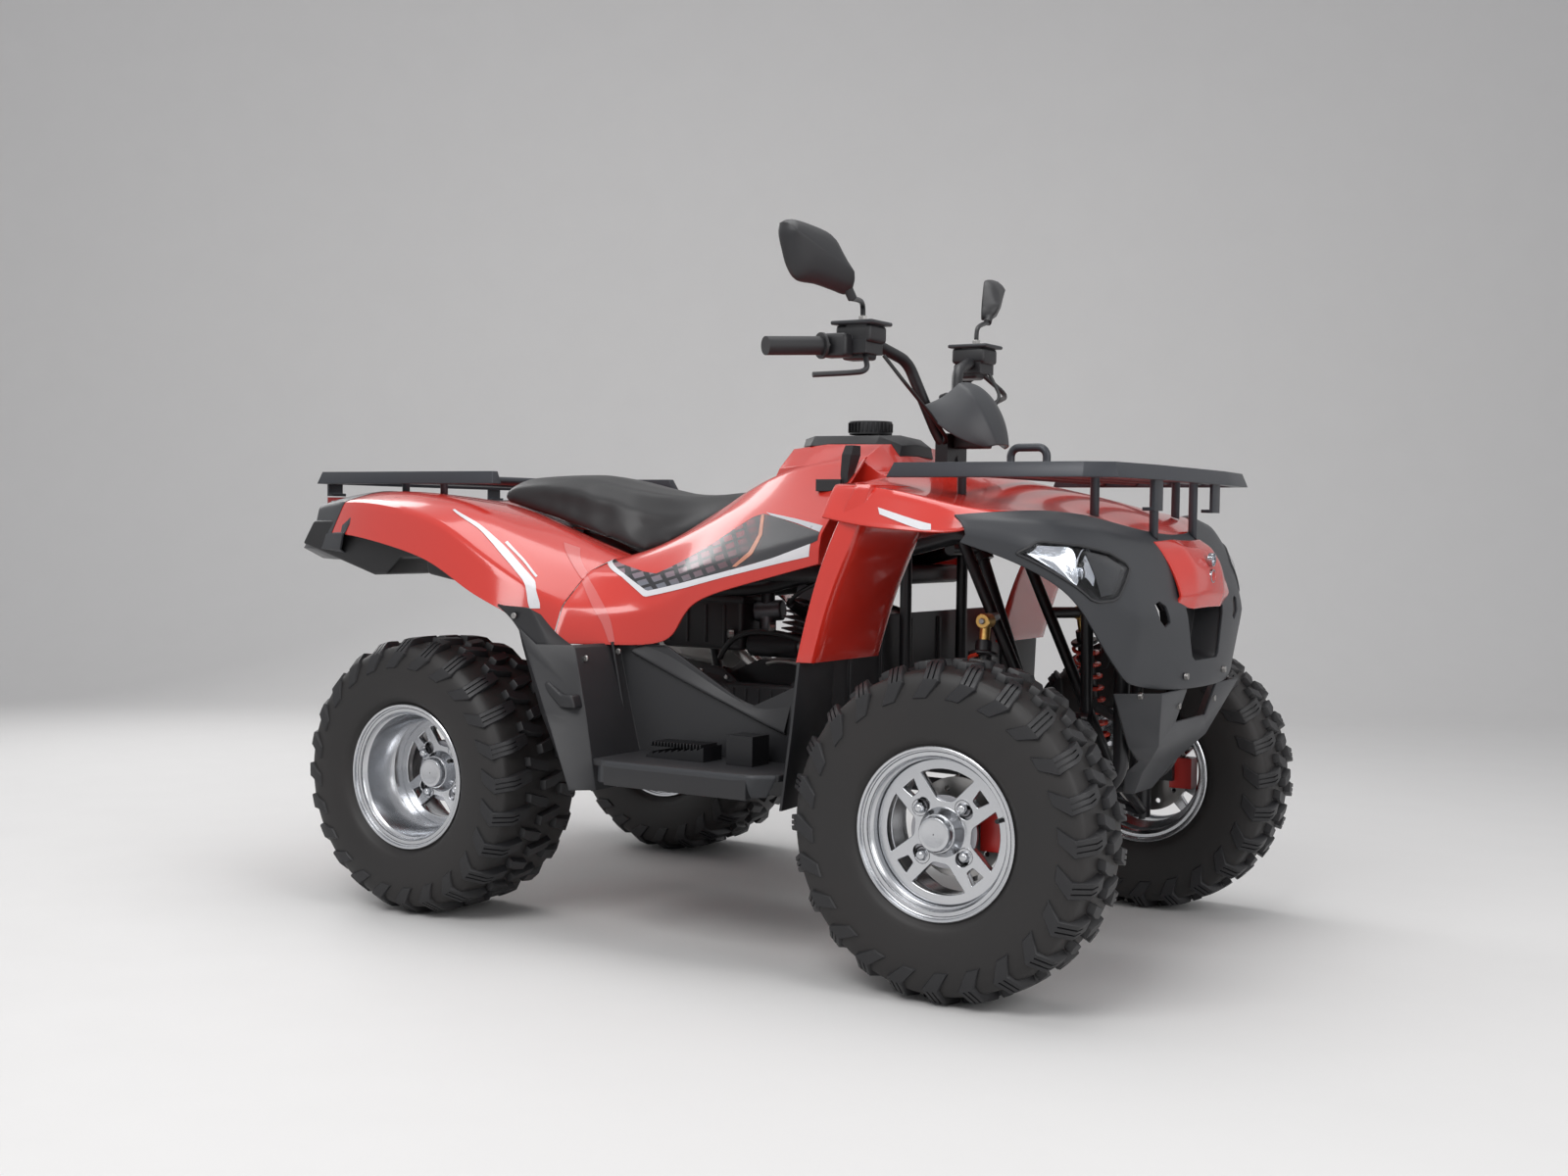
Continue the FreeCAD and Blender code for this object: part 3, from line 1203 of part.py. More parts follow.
SHIFT_LEVER_SHARES = (
    (0.845, (0.706, -0.236), (12.0, 16.0)),
    (0.868, (0.706, -0.236), (16.0, 22.0)),
    (0.905, (0.713, -0.236), (20.0, 34.0)),
    (0.922, (0.716, -0.236), (16.0, 28.0)),
)


def tail_guard(moulding):
    """Dark corner flap that closes the end of the rear moulding's outer edge."""
    skin = skin_upward(TAIL_GUARD_SHARES, PANEL_THICKNESS)
    return largest(skin.cut(moulding))


def tail_lamp(moulding, guard):
    """Lens that hangs under the rear edge of the moulding, inside the corner flap."""
    lamp = block(place(*TAIL_LAMP_LOW_SHARES), place(*TAIL_LAMP_HIGH_SHARES))
    return largest(lamp.cut([moulding, guard]))


def skid_plate(rails):
    """Flat plate under the engine, between the lower rails."""
    return largest(block(place(*SKID_LOW_SHARES), place(*SKID_HIGH_SHARES)).cut(rails))


def upright_rectangle(centre, size):
    half_x = size[0] / 2
    half_y = size[1] / 2
    corners = ((-half_x, -half_y), (half_x, -half_y), (half_x, half_y), (-half_x, half_y))
    return closed_wire([centre + Vector(x, y, 0) for x, y in corners])


def shift_lever(neighbours):
    """Paddle lever that stands in a slotted plate beside the tank."""
    plate = block(place(*SHIFT_SLOT_SHARES), place(*SHIFT_SLOT_END_SHARES))
    wires = []
    for z, spot, size in SHIFT_LEVER_SHARES:
        wires.append(upright_rectangle(place(spot[0], spot[1], z), size))
    whole = fused([plate, loft(wires)]).cut(neighbours)
    return max(whole.Solids, key=lambda solid: solid.BoundBox.ZMax)


# Racks
RACK_BAR_WIDTH = 26.0
RACK_BAR_HEIGHT = 26.0
RACK_BEVEL = 10.0
SLAT_RADIUS = 9.0
FRONT_RACK_SHARES = ((0.840, 0.370), (1.150, 0.362), (1.195, 0.335), (1.210, 0.170))
FRONT_RACK_TOP_SHARE = 0.886
REAR_RACK_SHARES = ((0.034, 0.325), (-0.400, 0.325), (-0.422, 0.280), (-0.431, 0.150))
REAR_RACK_TOP_SHARE = 0.876
POST_RADIUS = 8.0
FRONT_SLAT_SHARES = (0.936, 0.995, 1.053, 1.112)
FRONT_POST_SHARES = ((1.112, 0.200), (0.936, 0.300))
FRONT_NOSE_POST_SHARES = ((1.172, 0.100),)
REAR_SLAT_SHARES = (-0.330, -0.235, -0.140)
REAR_POST_SHARES = ((-0.235, 0.250), (-0.140, 0.250))
GRAB_LOOP_SHARES = ((0.995, -0.250), (1.053, -0.250))
GRAB_LOOP_RISE_SHARE = 0.914
GRAB_LOOP_RADIUS = 7.0
GRAB_LOOP_BEND = 16.0
FRONT_HOOK_SHARES = (1.190, 0.150, 0.808)
REAR_HOOK_SHARES = (-0.412, 0.262, 0.824)
HOOK_THICKNESS = 6.0
HOOK_WIDTH = 40.0
HOOK_TOE = 16.0


def rack_ring(outline, top):
    """A flat bar bent to a closed outline, bevelled on its outer top edge."""
    base = [Vector(x, y, top - RACK_BAR_HEIGHT) for x, y in outline]
    crown = [Vector(x, y, top) for x, y in inset(outline, RACK_BEVEL)]
    hole = [Vector(x, y, top - RACK_BAR_HEIGHT * 2) for x, y in inset(outline, RACK_BAR_WIDTH)]
    ring = loft([closed_wire(base), closed_wire(crown)])
    return ring.cut(prism(hole, Vector(0, 0, RACK_BAR_HEIGHT * 4)))


def inset(outline, distance):
    """A closed outline, listed anticlockwise, moved inwards by a distance."""
    moved = []
    for index, point in enumerate(outline):
        before = outline[index - 1]
        after = outline[(index + 1) % len(outline)]
        first = Vector(point[0] - before[0], point[1] - before[1], 0).normalize()
        last = Vector(after[0] - point[0], after[1] - point[1], 0).normalize()
        normal_a = Vector(-first.y, first.x, 0)
        normal_b = Vector(-last.y, last.x, 0)
        mid = (normal_a + normal_b).normalize()
        reach = distance / mid.dot(normal_a)
        moved.append((point[0] + mid.x * reach, point[1] + mid.y * reach))
    return moved


def grab_loop():
    """Handle bent up from one slat of the front rack and down to the next."""
    level = up(FRONT_RACK_TOP_SHARE) - RACK_BAR_HEIGHT / 2
    feet = [Vector(along(x), across(y), level) for x, y in GRAB_LOOP_SHARES]
    tops = [Vector(foot.x, foot.y, up(GRAB_LOOP_RISE_SHARE)) for foot in feet]
    return bent_tube([feet[0]] + tops + [feet[1]], GRAB_LOOP_RADIUS, GRAB_LOOP_BEND)


def rack_hook(shares, top_share, side, toward):
    """Flat hook that hangs from the rack bar, its toe turned inwards."""
    x, y, z = shares
    top = up(top_share) - RACK_BAR_HEIGHT / 2
    start = Vector(along(x), side * across(y) - HOOK_WIDTH / 2, up(z))
    end = Vector(start.x + HOOK_THICKNESS, start.y + HOOK_WIDTH, top)
    toe_end = Vector(start.x + toward * HOOK_TOE, end.y, start.z + HOOK_THICKNESS)
    toe_low = Vector(min(start.x, toe_end.x), start.y, start.z)
    toe_high = Vector(max(end.x, toe_end.x), end.y, toe_end.z)
    return [block(start, end), block(toe_low, toe_high)]


def rack(half_outline, top_share, slats, posts, nose_posts, moulding, extras):
    """Rack bar open at its inner end, with cross slats and posts down to the moulding."""
    right = [(along(x), across(-y)) for x, y in half_outline]
    left = [(along(x), across(y)) for x, y in half_outline[::-1]]
    outline = right + left
    if right[0][0] > right[-1][0]:
        outline = outline[::-1]
    top = up(top_share)
    open_end = along(half_outline[0][0])
    middle = along(half_outline[-1][0])
    toward = math.copysign(RACK_BAR_WIDTH * 2, middle - open_end)
    half_gap = across(half_outline[0][1]) - RACK_BAR_WIDTH
    low = Vector(min(open_end - toward, open_end + toward), -half_gap, 0)
    high = Vector(max(open_end - toward, open_end + toward), half_gap, top * 2)
    pieces = [rack_ring(outline, top).cut(block(low, high))]
    level = top - RACK_BAR_HEIGHT / 2
    reach = across(min(y for x, y in half_outline[:2])) - RACK_BAR_WIDTH / 2
    for x in slats:
        start = Vector(along(x), -reach, level)
        pieces.append(rod(start, Vector(along(x), reach, level), SLAT_RADIUS))
    for x, y in posts + nose_posts:
        for side in SIDES:
            spot = Vector(along(x), across(side * y), level)
            foot = Vector(spot.x, spot.y, height_on(moulding, spot.x, spot.y) - POST_RADIUS)
            post = rod(foot, spot, POST_RADIUS).cut(moulding)
            pieces.append(max(post.Solids, key=lambda solid: solid.BoundBox.ZMax))
    for x, y in nose_posts:
        for side in SIDES:
            start = Vector(along(slats[-1]), across(side * y), level)
            end = Vector(along(half_outline[-1][0]) - RACK_BAR_WIDTH / 2, start.y, level)
            pieces.append(rod(start, end, POST_RADIUS))
    return fused(pieces + extras)


def height_on(shape, x, y):
    """Height of a moulding's top face under a point."""
    probe = Part.makeLine(Vector(x, y, 0), Vector(x, y, up(2)))
    return shape.common(probe).BoundBox.ZMax


# Front suspension
LOWER_PIVOT_SHARES = ((0.900, 0.1415, 0.288), (1.050, 0.1415, 0.288))
UPPER_PIVOT_SHARES = ((0.985, 0.1435, 0.440), (1.078, 0.1455, 0.440))
ARM_TUBE_RADIUS = 10.0
ARM_BUSH_RADIUS = 12.0
ARM_BUSH_HALF_LENGTH = 16.0
SHOCK_REACH_SHARE = 0.62
SHOCK_BODY_RADIUS = 16.0
SPRING_RADIUS = 26.0
SPRING_WIRE = 5.0
SPRING_TURNS = 6
SPRING_FLATS = 9
SPRING_SEAT_RADIUS = 31.0
SPRING_SEAT_THICKNESS = 6.0
SPRING_START_SHARE = 0.15
SPRING_END_SHARE = 0.74


def ball_eye(side, direction):
    centre = kingpin_centre(side) + Vector(0, 0, direction * BALL_JOINT_RISE)
    half = Vector(0, 0, BALL_EYE_HEIGHT / 2)
    return centre, rod(centre - half, centre + half, BALL_EYE_RADIUS)


def wishbone(side, pivots, direction):
    """An A-shaped arm from its two frame pivots to the ball joint eye."""
    centre, eye = ball_eye(side, direction)
    pieces = [eye]
    for x, y, z in pivots:
        pivot = place(x, side * y, z)
        pieces.append(rod(pivot, centre, ARM_TUBE_RADIUS))
        half = Vector(ARM_BUSH_HALF_LENGTH, 0, 0)
        pieces.append(rod(pivot - half, pivot + half, ARM_BUSH_RADIUS))
    bore = rod(centre - Vector(0, 0, BALL_EYE_HEIGHT), centre + Vector(0, 0, BALL_EYE_HEIGHT),
               KINGPIN_RADIUS + GAP)
    room_start = centre - Vector(0, 0, direction * (BALL_EYE_HEIGHT / 2))
    room_end = room_start - Vector(0, 0, direction * BALL_EYE_HEIGHT * 2)
    room = rod(room_start, room_end, UPRIGHT_RADIUS + OVERRUN)
    return largest(fused(pieces).cut([bore, room]))


def coil(start, run):
    """A coil spring made of flat facets, from its start along a run."""
    line = Vector(run).normalize()
    side = line.cross(Vector(1, 0, 0)).normalize()
    other = line.cross(side)
    count = SPRING_TURNS * SPRING_FLATS
    rows = []
    for step in range(count + 1):
        angle = 2 * math.pi * step / SPRING_FLATS
        ray = side * math.cos(angle) + other * math.sin(angle)
        spot = start + run * (step / count) + ray * SPRING_RADIUS
        out = ray * SPRING_WIRE
        forward = line * SPRING_WIRE
        rows.append([spot + out, spot + forward, spot - out, spot - forward])
    faces = flat_faces(rows[0][::-1]) + flat_faces(rows[-1])
    for row, following in zip(rows, rows[1:]):
        for index in range(len(row)):
            after = (index + 1) % len(row)
            faces += flat_faces([row[index], row[after], following[after], following[index]])
    return solid_of(faces)


def shock(top, foot):
    """Damper between two eyes, with its coil spring held by two seats."""
    run = foot - top
    line = Vector(run).normalize()
    overlap = line * (SHOCK_EYE_RADIUS / 2)
    pieces = [rod(top + overlap, foot - overlap, SHOCK_BODY_RADIUS)]
    half = Vector(0, SHOCK_EYE_RADIUS, 0)
    for spot in (top, foot):
        pieces.append(rod(spot - half, spot + half, SHOCK_EYE_RADIUS))
    start = top + run * SPRING_START_SHARE
    end = top + run * SPRING_END_SHARE
    for spot in (start, end):
        thick = line * SPRING_SEAT_THICKNESS / 2
        pieces.append(rod(spot - thick, spot + thick, SPRING_SEAT_RADIUS))
    return fused(pieces + [coil(start, end - start)])


def front_shock(side):
    top = place(SHOCK_TOP_SHARES[0], side * SHOCK_TOP_SHARES[1], SHOCK_TOP_SHARES[2])
    centre = ball_eye(side, -1)[0]
    x, y, z = LOWER_PIVOT_SHARES[0]
    inner = place(x, side * y, z)
    line = centre - inner
    slope = math.hypot(line.x, line.y) / line.Length
    rise = (ARM_TUBE_RADIUS + SHOCK_EYE_RADIUS * (1 + abs(line.z) / line.Length)) / slope + GAP
    foot = inner + line * SHOCK_REACH_SHARE + Vector(0, 0, rise)
    return shock(top, foot)


# Rear suspension and drive
AXLE_RADIUS = 17.0
CARRIER_RADIUS = 40.0
CARRIER_HALF_WIDTH = 88.0
SWING_PIVOT_SHARES = (SWING_PIVOT_X_SHARE, 0.078, SWING_PIVOT_Z_SHARE)
SWING_ARM_WIDTH = 26.0
SWING_ARM_HEIGHT = 44.0
SWING_CROSS_RADIUS = 17.0
SPROCKET_OFFSET = 150.0
SPROCKET_RADIUS = 84.0
SPROCKET_THICKNESS = 6.0
SPROCKET_TEETH = 30
TOOTH_ROOT_SHARE = 0.93
REAR_DISC_RADIUS = 92.0
REAR_DISC_OFFSET = -150.0
CHAIN_PLACE_SHARES = (0.340, 0.350)
DRIVE_SPROCKET_RADIUS = 30.0
DRIVE_SHAFT_RADIUS = 12.0
CHAIN_WIDTH = 14.0
CHAIN_HEIGHT = 13.0
CHAIN_WAIST = 5.0
CHAIN_LINKS_BIG_ARC = 13
CHAIN_LINKS_SMALL_ARC = 5
CHAIN_LINKS_RUN = 15
CHAIN_CLEARANCE = 1.5
AXLE_FLANGE_RADIUS = 62.0
AXLE_FLANGE_THICKNESS = 12.0


def swingarm():
    """Two box arms from the frame pivot to the axle carrier, with a cross tube."""
    pieces = [disc(REAR_AXLE, CARRIER_RADIUS, CARRIER_HALF_WIDTH * 2)]
    x, y, z = SWING_PIVOT_SHARES
    for side in SIDES:
        pivot = place(x, side * y, z)
        half = SWING_ARM_HEIGHT / 2
        width = SWING_ARM_WIDTH / 2
        corners = []
        for spot, offset in ((REAR_AXLE, -half), (pivot, -half), (pivot, half), (REAR_AXLE, half)):
            corners.append(Vector(spot.x, side * across(y) - width, spot.z + offset))
        pieces.append(prism(corners, Vector(0, width * 2, 0)))
        pieces.append(disc(pivot, half, width * 2))
    cross = swing_cross()
    reach = Vector(0, across(y), 0)
    pieces.append(rod(cross - reach, cross + reach, SWING_CROSS_RADIUS))
    bore = disc(REAR_AXLE, AXLE_RADIUS + GAP * 2, CARRIER_HALF_WIDTH * 4)
    pivot_bore = disc(place(x, 0, z), BRACE_TUBE_RADIUS + GAP, CARRIER_HALF_WIDTH * 4)
    return fused(pieces).cut([bore, pivot_bore])


def swing_cross():
    """Middle of the cross tube that carries the rear damper."""
    pivot = place(*SWING_PIVOT_SHARES)
    return Vector((REAR_AXLE.x + pivot.x) / 2, 0, (REAR_AXLE.z + pivot.z) / 2)


def rear_shock():
    x, y, z = SHOCK_CROSS_SHARES
    top = place(x, 0, z) - Vector(0, 0, BRACE_TUBE_RADIUS + SHOCK_EYE_RADIUS + GAP)
    foot = swing_cross() + Vector(0, 0, SWING_CROSS_RADIUS + SHOCK_EYE_RADIUS + GAP)
    return shock(top, foot)


def rear_shaft():
    """Solid axle from wheel to wheel with a flange behind each rim."""
    reach = REAR_TRACK / 2 + REAR_RIM_WIDTH / 2 - REAR_DISH_DEPTH - SPOKE_PLATE_THICKNESS - GAP
    pieces = [disc(REAR_AXLE, AXLE_RADIUS, reach * 2)]
    for side in SIDES:
        spot = REAR_AXLE + Vector(0, side * (reach - AXLE_FLANGE_THICKNESS / 2), 0)
        pieces.append(disc(spot, AXLE_FLANGE_RADIUS, AXLE_FLANGE_THICKNESS))
    return fused(pieces)


def toothed_disc(centre, radius, thickness, teeth, bore):
    points = []
    for index in range(teeth * 2):
        angle = math.pi * index / teeth
        reach = radius if index % 2 else radius * TOOTH_ROOT_SHARE
        points.append(centre + Vector(math.cos(angle) * reach, -thickness / 2, math.sin(angle) * reach))
    plate = prism(points, Vector(0, thickness, 0))
    return plate.cut(disc(centre, bore, thickness * 2))


def rear_drive_discs():
    """The driven sprocket on one side of the carrier, the brake disc on the other."""
    sprocket_spot = REAR_AXLE + Vector(0, SPROCKET_OFFSET, 0)
    disc_spot = REAR_AXLE + Vector(0, REAR_DISC_OFFSET, 0)
    sprocket = toothed_disc(sprocket_spot, SPROCKET_RADIUS, SPROCKET_THICKNESS, SPROCKET_TEETH,
                            AXLE_RADIUS + GAP)
    brake = disc(disc_spot, REAR_DISC_RADIUS, FRONT_DISC_THICKNESS, AXLE_RADIUS + GAP)
    return group([sprocket, brake])


def chain_line(height, waist):
    """A closed line round both sprockets, drawn in between the links by the waist."""
    big = SPROCKET_RADIUS + CHAIN_CLEARANCE
    small = DRIVE_SPROCKET_RADIUS + CHAIN_CLEARANCE
    front = Vector(along(CHAIN_PLACE_SHARES[0]), 0, up(CHAIN_PLACE_SHARES[1]))
    run = front - REAR_AXLE
    lean = math.atan2(run.z, run.x)
    spread = math.acos((big - small) / run.Length)
    stops = []
    for hub, radius, turn, links in (
            (REAR_AXLE, big, 2 * math.pi - 2 * spread, CHAIN_LINKS_BIG_ARC),
            (front, small, 2 * spread, CHAIN_LINKS_SMALL_ARC)):
        first = lean + spread if radius == big else lean - spread
        for index in range(links * 2 + 1):
            angle = first + turn * index / (links * 2)
            ray = Vector(math.cos(angle), 0, math.sin(angle))
            stops.append((hub + ray * radius, ray, CHAIN_LINKS_RUN if index == links * 2 else 0))
    points = []
    for (spot, ray, links), (following, other, unused) in zip(stops, stops[1:] + stops[:1]):
        steps = links * 2 if links else 1
        for index in range(steps):
            drawn = waist if len(points) % 2 else 0
            points.append(spot + (following - spot) * (index / steps) + ray * (height - drawn))
    return points


def chain():
    """A closed roller chain with waisted links, as one band that the sprockets carry."""
    half = Vector(0, CHAIN_WIDTH / 2 - SPROCKET_OFFSET, 0)
    outer = prism([point - half for point in chain_line(CHAIN_HEIGHT, CHAIN_WAIST)],
                  Vector(0, CHAIN_WIDTH, 0))
    inner = prism([point - half for point in chain_line(0, 0)], Vector(0, CHAIN_WIDTH, 0))
    return outer.cut(inner)


HITCH_PLACE_SHARE = -0.145
HITCH_RISE = 28.0
HITCH_THICKNESS = 10.0
HITCH_HALF_WIDTH = 32.0
HITCH_BORE_RADIUS = 8.0
HITCH_EDGE = 26.0


def tow_hitch():
    """Flat drawbar behind the axle carrier, with the hole for a hitch pin or ball."""
    hole = Vector(along(HITCH_PLACE_SHARE), 0, REAR_AXLE.z + HITCH_RISE)
    low = Vector(hole.x - HITCH_EDGE, -HITCH_HALF_WIDTH, hole.z)
    high = Vector(REAR_AXLE.x, HITCH_HALF_WIDTH, hole.z + HITCH_THICKNESS)
    bore = rod(hole - Vector(0, 0, OVERRUN), hole + Vector(0, 0, HITCH_THICKNESS * 2), HITCH_BORE_RADIUS)
    carrier = disc(REAR_AXLE, CARRIER_RADIUS, CARRIER_HALF_WIDTH * 2)
    return largest(block(low, high).cut([bore, carrier]))


def main():
    os.makedirs("parts", exist_ok=True)
    for side in SIDES:
        name = SIDE_NAMES[side]
        save(tyre(front_wheel_centre(side), FRONT_TYRE_RADIUS, FRONT_TYRE_WIDTH, FRONT_RIM_WIDTH),
             "front_tyre_" + name)
        save(rim(front_wheel_centre(side), side, FRONT_RIM_WIDTH, FRONT_DISH_DEPTH), "front_rim_" + name)
        save(front_hub(side), "front_hub_" + name)
        save(knuckle(side), "knuckle_" + name)
        save(caliper(side), "brake_caliper_" + name)
        save(tie_rod(side), "tie_rod_" + name)
    save(group([tyre(rear_wheel_centre(side), REAR_TYRE_RADIUS, REAR_TYRE_WIDTH, REAR_RIM_WIDTH)
                for side in SIDES]), "rear_tyres")
    save(group([rim(rear_wheel_centre(side), side, REAR_RIM_WIDTH, REAR_DISH_DEPTH)
                for side in SIDES]), "rear_rims")
    save(rear_shaft(), "rear_axle_shaft")
    save(rear_drive_discs(), "rear_drive_discs")
    arm = swingarm()
    save(arm, "swingarm")
    save(tow_hitch(), "tow_hitch")
    links = chain()
    save(links, "drive_chain")
    save(rear_shock(), "rear_shock")
    rear_moulding = rear_fender()
    save(rear_moulding, "rear_fender")
    lower = [rail(LOWER_RAIL_SHARES, side) for side in SIDES]
    upper = [rail(UPPER_RAIL_SHARES, side) for side in SIDES]
    save(group(lower), "lower_rails")
    save(group(upper), "upper_rails")
    braces = frame_braces(lower + upper, rear_moulding)
    save(braces, "frame_braces")
    save(column_bearings(lower + upper), "column_bearings")
    head = cylinder()
    save(crankcase([braces, arm, links]), "crankcase")
    save(head, "cylinder")
    save(exhaust(head), "exhaust")
    cover = tank_cover(lower + upper + [braces])
    side_skins = [side_panel(side) for side in SIDES]
    save(group([largest(skin.cut(cover)) for skin in side_skins]), "side_panels")
    save(cover, "tank_cover")
    save(top_panel(cover), "tank_top_panel")
    save(fuel_cap(), "fuel_cap")
    guard = tail_guard(rear_moulding)
    save(on_both_sides(guard), "tail_guards")
    save(on_both_sides(tail_lamp(rear_moulding, guard)), "tail_lamps")
    save(skid_plate(lower), "skid_plate")
    save(shift_lever(side_skins + [cover]), "shift_lever")
    save(largest(seat().cut([rear_moulding, cover] + side_skins)), "seat")
    hood = front_fender()
    save(hood, "front_fender")
    fascia = front_fascia()
    save(fascia, "front_fascia")
    nose = nose_panel(group([fascia, hood]))
    save(nose, "nose_panel")
    save(group([headlamps(fascia)] + nose_lamps(nose)), "headlamps")
    save(lower_guard(), "lower_guard")
    panels = [rear_moulding, hood] + side_skins
    wells = {side: footwell(side, panels) for side in SIDES}
    for side in SIDES:
        save(wells[side], "footwell_" + SIDE_NAMES[side])
    board = footboard(wells[1])
    save(on_both_sides(board), "footboards")
    save(foot_controls(), "foot_controls")
    nose_top = group([hood, fascia, nose])
    hooks = [grab_loop()]
    for side in SIDES:
        hooks += rack_hook(FRONT_HOOK_SHARES, FRONT_RACK_TOP_SHARE, side, -1)
    save(rack(FRONT_RACK_SHARES, FRONT_RACK_TOP_SHARE, FRONT_SLAT_SHARES, FRONT_POST_SHARES,
              FRONT_NOSE_POST_SHARES, nose_top, hooks), "front_rack")
    hooks = []
    for side in SIDES:
        hooks += rack_hook(REAR_HOOK_SHARES, REAR_RACK_TOP_SHARE, side, 1)
    save(rack(REAR_RACK_SHARES, REAR_RACK_TOP_SHARE, REAR_SLAT_SHARES, REAR_POST_SHARES,
              (), rear_moulding, hooks), "rear_rack")
    arms = []
    for side in SIDES:
        arms.append(wishbone(side, LOWER_PIVOT_SHARES, -1))
        arms.append(wishbone(side, UPPER_PIVOT_SHARES, 1))
    save(group(arms), "suspension_arms")
    save(group([front_shock(side) for side in SIDES]), "front_shocks")
    save(steering_column(), "steering_column")
    bar = handlebar()
    save(bar, "handlebar")
    save(group([grip(side) for side in SIDES]), "grips")
    controls = {side: hand_control(side) for side in SIDES}
    save(group([controls[side] for side in SIDES]), "hand_controls")
    save(group([front_cable(side, controls[side], bar) for side in SIDES]), "front_cables")
    save(group([mirror(side) for side in SIDES]), "mirrors")
    save(instrument_pod(), "instrument_pod")


main()
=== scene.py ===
import math
from contextlib import contextmanager

import bmesh
import bpy
import numpy as np
from mathutils import Matrix, Vector
from mathutils.bvhtree import BVHTree

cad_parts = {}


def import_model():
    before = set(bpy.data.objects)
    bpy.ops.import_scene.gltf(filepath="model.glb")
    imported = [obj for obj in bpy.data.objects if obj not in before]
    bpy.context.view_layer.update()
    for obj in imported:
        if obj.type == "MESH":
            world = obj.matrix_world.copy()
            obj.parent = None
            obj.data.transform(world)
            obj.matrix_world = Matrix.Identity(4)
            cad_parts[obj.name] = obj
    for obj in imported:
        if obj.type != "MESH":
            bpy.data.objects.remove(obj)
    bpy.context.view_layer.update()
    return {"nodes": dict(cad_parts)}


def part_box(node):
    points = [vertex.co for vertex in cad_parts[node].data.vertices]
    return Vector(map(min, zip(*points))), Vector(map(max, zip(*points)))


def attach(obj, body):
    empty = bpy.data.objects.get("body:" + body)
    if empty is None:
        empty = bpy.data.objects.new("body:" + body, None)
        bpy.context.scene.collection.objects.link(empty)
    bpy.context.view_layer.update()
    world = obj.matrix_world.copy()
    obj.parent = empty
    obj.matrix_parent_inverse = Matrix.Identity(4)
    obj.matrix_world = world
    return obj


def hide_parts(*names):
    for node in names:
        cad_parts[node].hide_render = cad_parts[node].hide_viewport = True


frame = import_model()
NODES = frame["nodes"]

REAR_X = -0.47
WHEELBASE = 1.16
SIDES = (-1, 1)
SIDE_NAMES = {-1: "right", 1: "left"}


def along(share):
    """Place along the vehicle at a share of the wheelbase before the rear axle."""
    return REAR_X + share * WHEELBASE


# ---------------------------------------------------------------- materials

def fill(tree, made, inputs):
    """Sets each input of a node, or links it where another node's socket is given."""
    for key, value in inputs.items():
        if isinstance(value, bpy.types.NodeSocket):
            tree.links.new(value, made.inputs[key])
        else:
            made.inputs[key].default_value = value


def node(tree, kind, inputs=None, **settings):
    """A shader node; its settings come first, because they decide which inputs it has."""
    made = tree.nodes.new("ShaderNode" + kind)
    for key, value in settings.items():
        setattr(made, key, value)
    fill(tree, made, inputs or {})
    return made


def material(name, color, rough, metal=0.0, coat=0.0, bump=0.0, scale=400.0, mottle=0.0,
             edge=0.0, transmission=0.0, ior=1.5, mottle_scale=6.0, dirt=None):
    """Principled material with noise in its colour, roughness and normal."""
    made = bpy.data.materials.new(name)
    made.use_nodes = True
    tree = made.node_tree
    shader = tree.nodes["Principled BSDF"]
    fill(tree, shader, {"Base Color": (*color, 1), "Roughness": rough, "Metallic": metal, "Coat Weight": coat,
                        "Coat Roughness": 0.06, "Transmission Weight": transmission, "IOR": ior})
    coords = node(tree, "TexCoord").outputs["Object"]
    noise = node(tree, "TexNoise", {"Scale": mottle_scale, "Detail": 4, "Vector": coords}).outputs["Fac"]
    spread = node(tree, "MapRange", {"To Min": max(rough - 0.05, 0.02), "To Max": min(rough + 0.06, 1),
                                     "Value": noise})
    links = {"Roughness": spread.outputs["Result"]}
    if mottle:
        ramp = node(tree, "MapRange", {"From Min": 0.35, "From Max": 0.75, "To Max": mottle, "Value": noise})
        mix = node(tree, "Mix", {"A": (*color, 1), "B": (*(dirt or [c * 0.6 for c in color]), 1),
                                 "Factor": ramp.outputs["Result"]}, data_type="RGBA")
        links["Base Color"] = mix.outputs["Result"]
    if edge:
        links["Normal"] = node(tree, "Bevel", {"Radius": edge}, samples=4).outputs["Normal"]
    if bump:
        fine = node(tree, "TexNoise", {"Scale": scale, "Detail": 3, "Vector": coords})
        relief = {"Strength": bump, "Distance": 0.001, "Height": fine.outputs["Fac"]}
        if edge:
            relief["Normal"] = links["Normal"]
        links["Normal"] = node(tree, "Bump", relief).outputs["Normal"]
    fill(tree, shader, links)
    return made


RED = material("red_gloss", (0.62, 0.028, 0.016), 0.2, coat=0.6, edge=0.002, mottle=0.1, mottle_scale=3,
               dirt=(0.7, 0.042, 0.026))
BLACK = material("black_grained", (0.016, 0.016, 0.018), 0.44, bump=0.16, scale=900, edge=0.0025, mottle=0.4,
                 dirt=(0.026, 0.027, 0.03))
GREY_BLACK = material("grey_grained", (0.034, 0.036, 0.041), 0.42, bump=0.12, scale=900, edge=0.003, mottle=0.4,
                      dirt=(0.027, 0.029, 0.033))
RACK = material("rack_satin", (0.035, 0.038, 0.046), 0.36, metal=0.2, bump=0.08, scale=1200, edge=0.003)
FRAME = material("frame_satin", (0.014, 0.014, 0.016), 0.34, metal=0.2, bump=0.05, scale=700, edge=0.001)
RUBBER = material("tyre_rubber", (0.012, 0.012, 0.014), 0.48, bump=0.1, scale=500, mottle=0.5,
                  dirt=(0.02, 0.019, 0.019))
